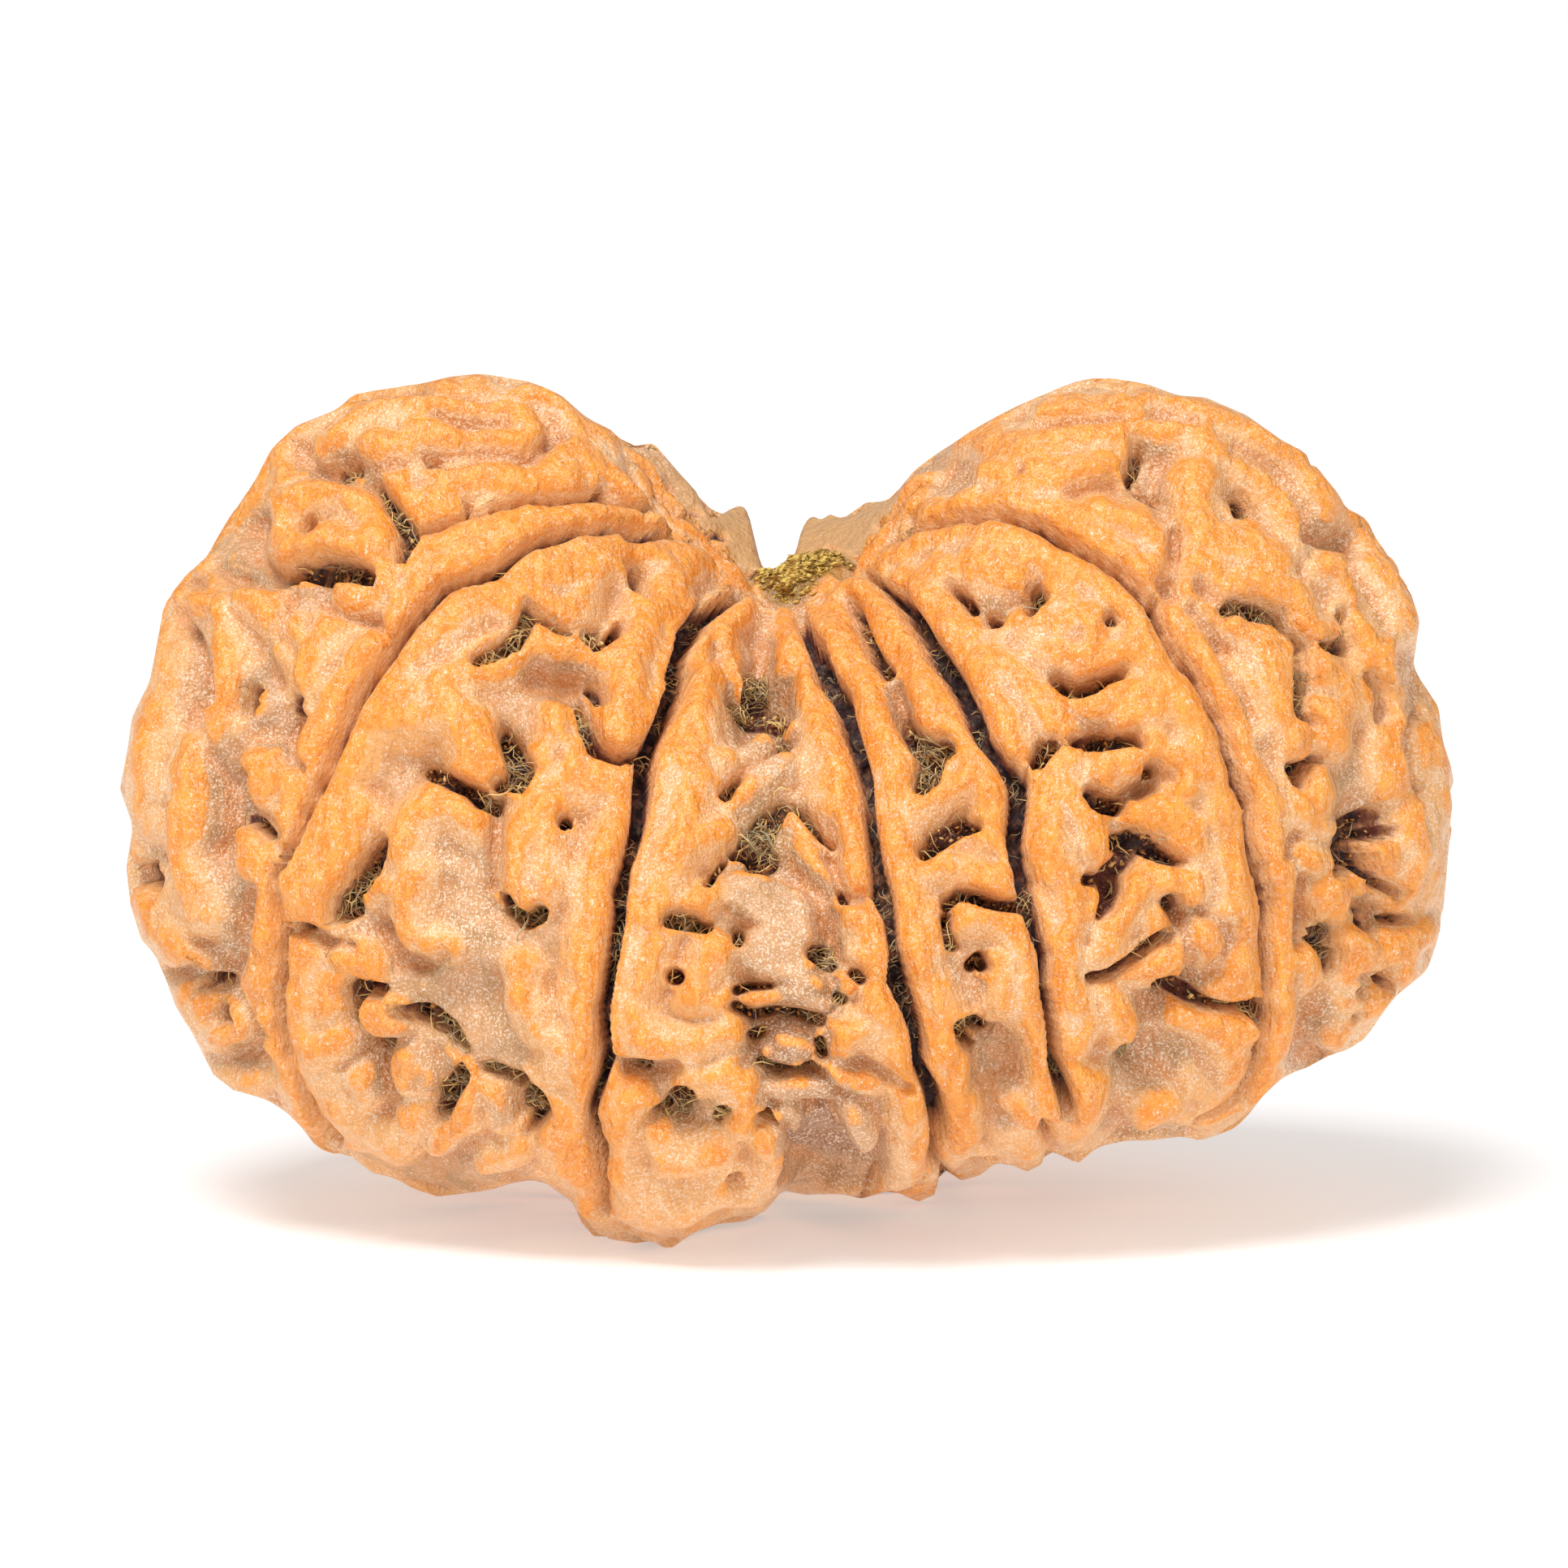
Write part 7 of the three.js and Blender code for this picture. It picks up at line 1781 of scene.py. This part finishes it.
@dataclass
class SeedStone:
    """The stone itself, as one fine mesh in place of the plain solid."""

    # How finely the ball is cut, and how its corners are gathered at the edges and on the front
    cuts: int = 98
    gather_steps: int = 24
    front_share: float = 0.27
    rim_slack: float = 0.05
    # Rounds of blurring that feet and crests stand out from, with their full height; the feet become painted
    # shade in the creases
    crease_shade: tuple[int, float] = (3, 0.1)
    rise: tuple[int, float] = (10, 0.3)
    crest_rise: float = 0.35
    # Painted sheen: how much orange a surface gains as it faces up, and the facing at which it gains none
    up_facing_sheen: Span = (0.4, 0.3)
    bare_rise: float = 1.2

    def build(self, relief: Relief) -> bpy.types.Object:
        """Builds and dresses the stone.

        Args:
            relief: the heights of its surface.

        Returns:
            The stone's object.
        """
        ball = Ball(self.cuts)
        ball.directions = unit(ball.directions + np.array([0.0, -self.front_share, 0.0]))
        ball.gather(relief, self.gather_steps)
        read = relief.sample(ball.directions)
        read["height"] = relief.heights(read, ball)
        points = read["points"] + read["normals"] * read["height"][:, None]
        points = BEAN.rim.trimmed(points, self.rim_slack)
        points[:, 2] = np.maximum(points[:, 2], REST_HEIGHT) - REST_HEIGHT
        self.shift = np.array([*(-(points.min(axis=0) + points.max(axis=0)) / 2)[:2], 0.0])
        points += self.shift
        self.relief, self.read, self.points = relief, read, points
        stone = mesh_object("seed_stone", points, ball.triangles, StoneFinish().material())
        self._dress(stone, ball)
        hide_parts("seed")
        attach(stone, "root")
        LOG.info("seed_stone: %d corners, %d triangles", len(points), len(ball.triangles))
        return stone

    def _dress(self, stone: bpy.types.Object, ball: Ball) -> None:
        """Stores the masks that the finish is made of.

        Args:
            stone: the stone's object.
            ball: its corners and their neighbours.
        """
        read = self.read
        # Crease: how far each corner lies under its lightly blurred surroundings, which the finish paints as
        # shade in the creases
        blurred = read["height"].copy()
        for _ in range(self.crease_shade[0]):
            blurred = ball.average(blurred)
        set_attribute(stone, "crease_shade", (blurred - read["height"]) / self.crease_shade[1])
        for _ in range(self.rise[0]):
            blurred = ball.average(blurred)
        normals = np.empty(len(self.points) * 3, np.float32)
        stone.data.vertices.foreach_get("normal", normals)
        upright = ball.average(ball.average(normals.reshape(-1, 3)[:, 2].astype(float)))
        # Rise: how far each corner stands over its widely blurred surroundings, with the crest masks, which
        # makes the crests orange; the next line adds a painted sheen where the surface faces up
        rise = (read["height"] - blurred) / self.rise[1] + self.crest_rise * (read["crest"] + read["crown"])
        rise = np.clip(rise + self.up_facing_sheen[0] * (upright - self.up_facing_sheen[1]), -1, 2)
        set_attribute(stone, "rise", rise - self.bare_rise * read["bare"])
        for name in ("line", "hole", "pith", "depth", "bare", "lip", "crest"):
            set_attribute(stone, name, read[name])


@dataclass
class Fibres:
    """Dried flesh fibres that lie tangled in one kind of cut."""

    name: str
    mask: str
    count: int
    length: Span = (0.25, 0.95)
    rise: Span = (0.02, 0.5)
    radius: Span = (0.008, 0.024)
    seed: int = 811
    links: int = 4
    sides: int = 3
    # How high the mask is where fibres start, and how they gather in the thickets and thin out below
    least: float = 0.3
    gather: float = 1.5
    thicket: Span = (0.35, 0.06)
    low: Span = (-9.5, 0.2)
    # How far over the floor they start and how they bend, and how far under the outer level they stay
    lift: float = 0.02
    curl: float = 0.12
    slant: float = 0.3
    cover: float = 0.2
    rim_slack: float = 0.3

    def build(self, stone: SeedStone) -> bpy.types.Object:
        """Grows the fibres from the floors of the cuts.

        Args:
            stone: the built stone.

        Returns:
            The fibres' object.
        """
        rng = np.random.default_rng(self.seed)
        roots = self._roots(stone, rng)
        normal, base = stone.read["normals"][roots], stone.read["points"][roots]
        floor = base + normal * (stone.read["height"][roots, None] + self.lift)
        path = self._paths(floor, normal, rng)
        outer = np.einsum("ijk,ik->ij", path - base[:, None, :], normal)
        path -= normal[:, None, :] * np.maximum(outer + self.cover, 0.0)[:, :, None]
        tangent = unit(np.gradient(path, axis=1))
        first = unit(np.cross(tangent, normal[:, None, :]))
        second = np.cross(tangent, first)
        ends = np.abs(np.linspace(-1, 1, self.links + 1))
        radius = rng.uniform(*self.radius, (self.count, 1)) * (1 - 0.6 * ends ** 3)
        rings = []
        for side in range(self.sides):
            angle = 2 * math.pi * side / self.sides
            rings.append(path + (first * math.cos(angle) + second * math.sin(angle)) * radius[:, :, None])
        points = BEAN.rim.trimmed(np.stack(rings, axis=2).reshape(self.count, -1, 3), self.rim_slack)
        points[..., 2] = np.maximum(points[..., 2] - REST_HEIGHT, FLOOR_GAP)
        points += stone.shift
        fibres = litter_object(self.name, points, self._faces(), FibreFinish().material(), rng)
        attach(fibres, "root")
        return fibres

    def _roots(self, stone: SeedStone, rng: np.random.Generator) -> np.ndarray:
        """Draws the corners of the stone that the fibres grow from.

        Args:
            stone: the built stone.
            rng: source of the draws.

        Returns:
            One corner number for each fibre.
        """
        points = stone.read["points"]
        weights = np.clip(stone.read[self.mask] - self.least, 0.0, 1.0) ** self.gather
        weights *= ease(self.thicket[0] + stone.relief.thicket(points)) + self.thicket[1]
        weights *= np.where(points[:, 2] > self.low[0], 1.0, self.low[1])
        return rng.choice(len(weights), self.count, p=weights / weights.sum())

    def _paths(self, floor: np.ndarray, normal: np.ndarray, rng: np.random.Generator) -> np.ndarray:
        """Draws the fibres' middle lines.

        Args:
            floor: the middle of each fibre on the floor.
            normal: which way is up there.
            rng: source of the draws.

        Returns:
            Points, as fibres x stops x 3.
        """
        aside = unit(np.cross(normal, rng.normal(size=(self.count, 3))))
        other = np.cross(normal, aside)
        length = rng.uniform(*self.length, self.count)[:, None]
        rise = rng.uniform(*self.rise, self.count)[:, None]
        curl = rng.normal(0.0, self.curl, (self.count, 1))
        wave = rng.uniform(0.0, 2 * math.pi, (self.count, 1))
        slant = rng.normal(0.0, self.slant, (self.count, 1))
        stops = []
        for t in np.linspace(0.0, 1.0, self.links + 1):
            bow = 4 * t * (1 - t)
            sway = curl * bow * length + 0.05 * np.sin(wave + 7 * t)
            lift = rise * (0.5 + 0.5 * bow + slant * (t - 0.5)) + 0.05 * np.sin(wave * 2 + 5 * t)
            stops.append(floor + aside * (t - 0.5) * length + other * sway + normal * lift)
        return np.stack(stops, axis=1)

    def _faces(self) -> np.ndarray:
        """Lists the triangles of one fibre.

        Returns:
            Three corner numbers for each, the two ends last.
        """
        faces = []
        for link in range(self.links):
            for side in range(self.sides):
                a = link * self.sides + side
                b = link * self.sides + (side + 1) % self.sides
                faces += [[a, b, a + self.sides], [b, b + self.sides, a + self.sides]]
        last = self.links * self.sides
        return np.array([*faces, [0, 2, 1], [last, last + 1, last + 2]])


@dataclass
class Crumbs:
    """Small angular crumbs that lie on the stone where one of its masks is high."""

    name: str
    mask: str
    least: float
    count: int
    size: Span
    finish: bpy.types.Material
    rise: Span = (-0.02, 0.05)
    seed: int = 409
    stretch: float = 1.0
    apart: bool = False
    thicket: Span = (0.5, 0.08)
    scatter: float = 0.04
    # Which way long crumbs lie, and how uneven they are
    lie: Span = (1.6, 0.4)
    rough: Span = (0.7, 1.3)

    def build(self, stone: SeedStone) -> bpy.types.Object:
        """Scatters the crumbs.

        Args:
            stone: the built stone.

        Returns:
            The crumbs' object.
        """
        rng = np.random.default_rng(self.seed)
        over = stone.read[self.mask] - self.least
        weights = np.clip(over, 0.0, None)
        if self.apart:
            thicket = stone.relief.thicket(stone.read["points"])
            weights *= ease(self.thicket[0] - thicket) + self.thicket[1]
        roots = rng.choice(len(weights), self.count, p=weights / weights.sum())
        room = np.clip(over[roots] / (1.0 - self.least), 0.0, 1.0)
        rise = rng.uniform(*self.rise, self.count) * room
        places = stone.points[roots] + stone.read["normals"][roots] * rise[:, None]
        places += rng.normal(0.0, self.scatter, places.shape)
        corners = np.array([[1, 0, 0], [-1, 0, 0], [0, 1, 0], [0, -1, 0], [0, 0, 1], [0, 0, -1]], float)
        faces = np.array([[0, 2, 4], [2, 1, 4], [1, 3, 4], [3, 0, 4],
                          [2, 0, 5], [1, 2, 5], [3, 1, 5], [0, 3, 5]])
        corners[:2] *= self.stretch
        axes = unit(rng.normal(size=(self.count, 3, 3)))
        axes[:, 0] = unit(axes[:, 0] + (self.stretch - 1.0) * np.array([self.lie[0], 0.0, self.lie[1]]))
        shapes = np.einsum("kj,cji->cki", corners, axes) * rng.uniform(*self.size, (self.count, 1, 1)) / 2
        shapes *= rng.uniform(*self.rough, (self.count, len(corners), 1))
        points = places[:, None, :] + shapes
        points[..., 2] = np.maximum(points[..., 2], FLOOR_GAP)
        crumbs = litter_object(self.name, points, faces, self.finish, rng)
        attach(crumbs, "root")
        return crumbs


@dataclass(frozen=True)
class SoftLight:
    """One square soft light that looks at the seed, in metres and watts."""

    name: str
    place: tuple[float, float, float]
    size: float
    power: float
    target: tuple[float, float, float] = (0.0, 0.0, 0.01)

    def hang(self) -> None:
        """Adds the light to the scene."""
        data = bpy.data.lights.new(self.name, "AREA")
        data.shape = "SQUARE"
        data.size = self.size
        data.energy = self.power
        light = bpy.data.objects.new(self.name, data)
        light.location = self.place
        sight = Vector(self.target) - Vector(self.place)
        light.rotation_euler = sight.to_track_quat("-Z", "Y").to_euler()
        bpy.context.scene.collection.objects.link(light)


@dataclass
class StudioStage:
    """Camera, soft lights and the pale floor, in metres."""

    lights: tuple[SoftLight, ...] = (SoftLight("key_light", (-0.14, -0.3, 0.6), 0.3, 4.0),
                                     SoftLight("fill_light", (0.45, -0.5, 0.3), 0.45, 0.7))
    air: float = 0.42
    white: Colour = (1.0, 1.0, 1.0, 1.0)
    floor_size: float = 6.0
    floor_tint: Colour = (0.74, 0.74, 0.74, 1.0)
    floor_glow: float = 0.4
    clip: Span = (0.01, 20.0)

    def build(self, shift: np.ndarray) -> None:
        """Sets up the stage round the seed.

        Args:
            shift: how far the seed was moved to stand over the origin, in millimetres.
        """
        self._camera(shift)
        self._floor()
        for light in self.lights:
            light.hang()
        world = bpy.data.worlds.new("studio_air")
        bpy.context.scene.world = world
        world.use_nodes = True
        background = world.node_tree.nodes["Background"]
        background.inputs["Color"].default_value = self.white
        background.inputs["Strength"].default_value = self.air
        bpy.context.scene.view_settings.view_transform = "Standard"
        LOG.info("stage set")

    def _camera(self, shift: np.ndarray) -> None:
        """Puts the camera on the line of sight.

        Args:
            shift: how far the seed was moved, in millimetres.
        """
        data = bpy.data.cameras.new("camera")
        data.sensor_width = SIGHT.sensor
        data.lens = SIGHT.sensor * SIGHT.distance / SIGHT.frame_width
        data.clip_start, data.clip_end = self.clip
        camera = bpy.data.objects.new("camera", data)
        target = (shift - np.array([0.0, 0.0, REST_HEIGHT])) * MM
        camera.location = Vector(target - SIGHT.forward * SIGHT.distance * MM)
        camera.rotation_euler = Vector(SIGHT.forward).to_track_quat("-Z", "Y").to_euler()
        bpy.context.scene.collection.objects.link(camera)
        bpy.context.scene.camera = camera

    def _floor(self) -> None:
        """Lays the pale floor just under the seed."""
        half = self.floor_size / 2
        corners = [(-half, -half, 0), (half, -half, 0), (half, half, 0), (-half, half, 0)]
        mesh = bpy.data.meshes.new("floor")
        mesh.from_pydata(corners, [], [(0, 1, 2, 3)])
        mesh.materials.append(Tree("floor_finish").finish(
            Base_Color=self.floor_tint, Roughness=0.9, Specular_IOR_Level=0.1,
            Emission_Color=self.white, Emission_Strength=self.floor_glow))
        floor = bpy.data.objects.new("floor", mesh)
        bpy.context.scene.collection.objects.link(floor)


def main() -> None:
    """Builds the seed and its stage."""
    logging.basicConfig(level=logging.INFO, format="%(name)s: %(message)s")
    relief = Relief()
    stone = SeedStone()
    stone.build(relief)
    Fibres("pit_fibres", "hole", 3900).build(stone)
    Fibres("line_fibres", "line", 1000, length=(0.2, 0.6), rise=(0.02, 0.3), radius=(0.008, 0.018),
           seed=77).build(stone)
    Crumbs("stem_pith", "pith", 0.3, 1500, (0.05, 0.15), PithFinish().material(), rise=(-0.02, 0.07),
           stretch=2.0).build(stone)
    Crumbs("pit_crumbs", "hole", 0.65, 2800, (0.06, 0.15), CrumbFinish().material(), rise=(-0.02, 0.28),
           seed=93, stretch=1.4, apart=True).build(stone)
    StudioStage().build(stone.shift)


if __name__ == "__main__":
    main()
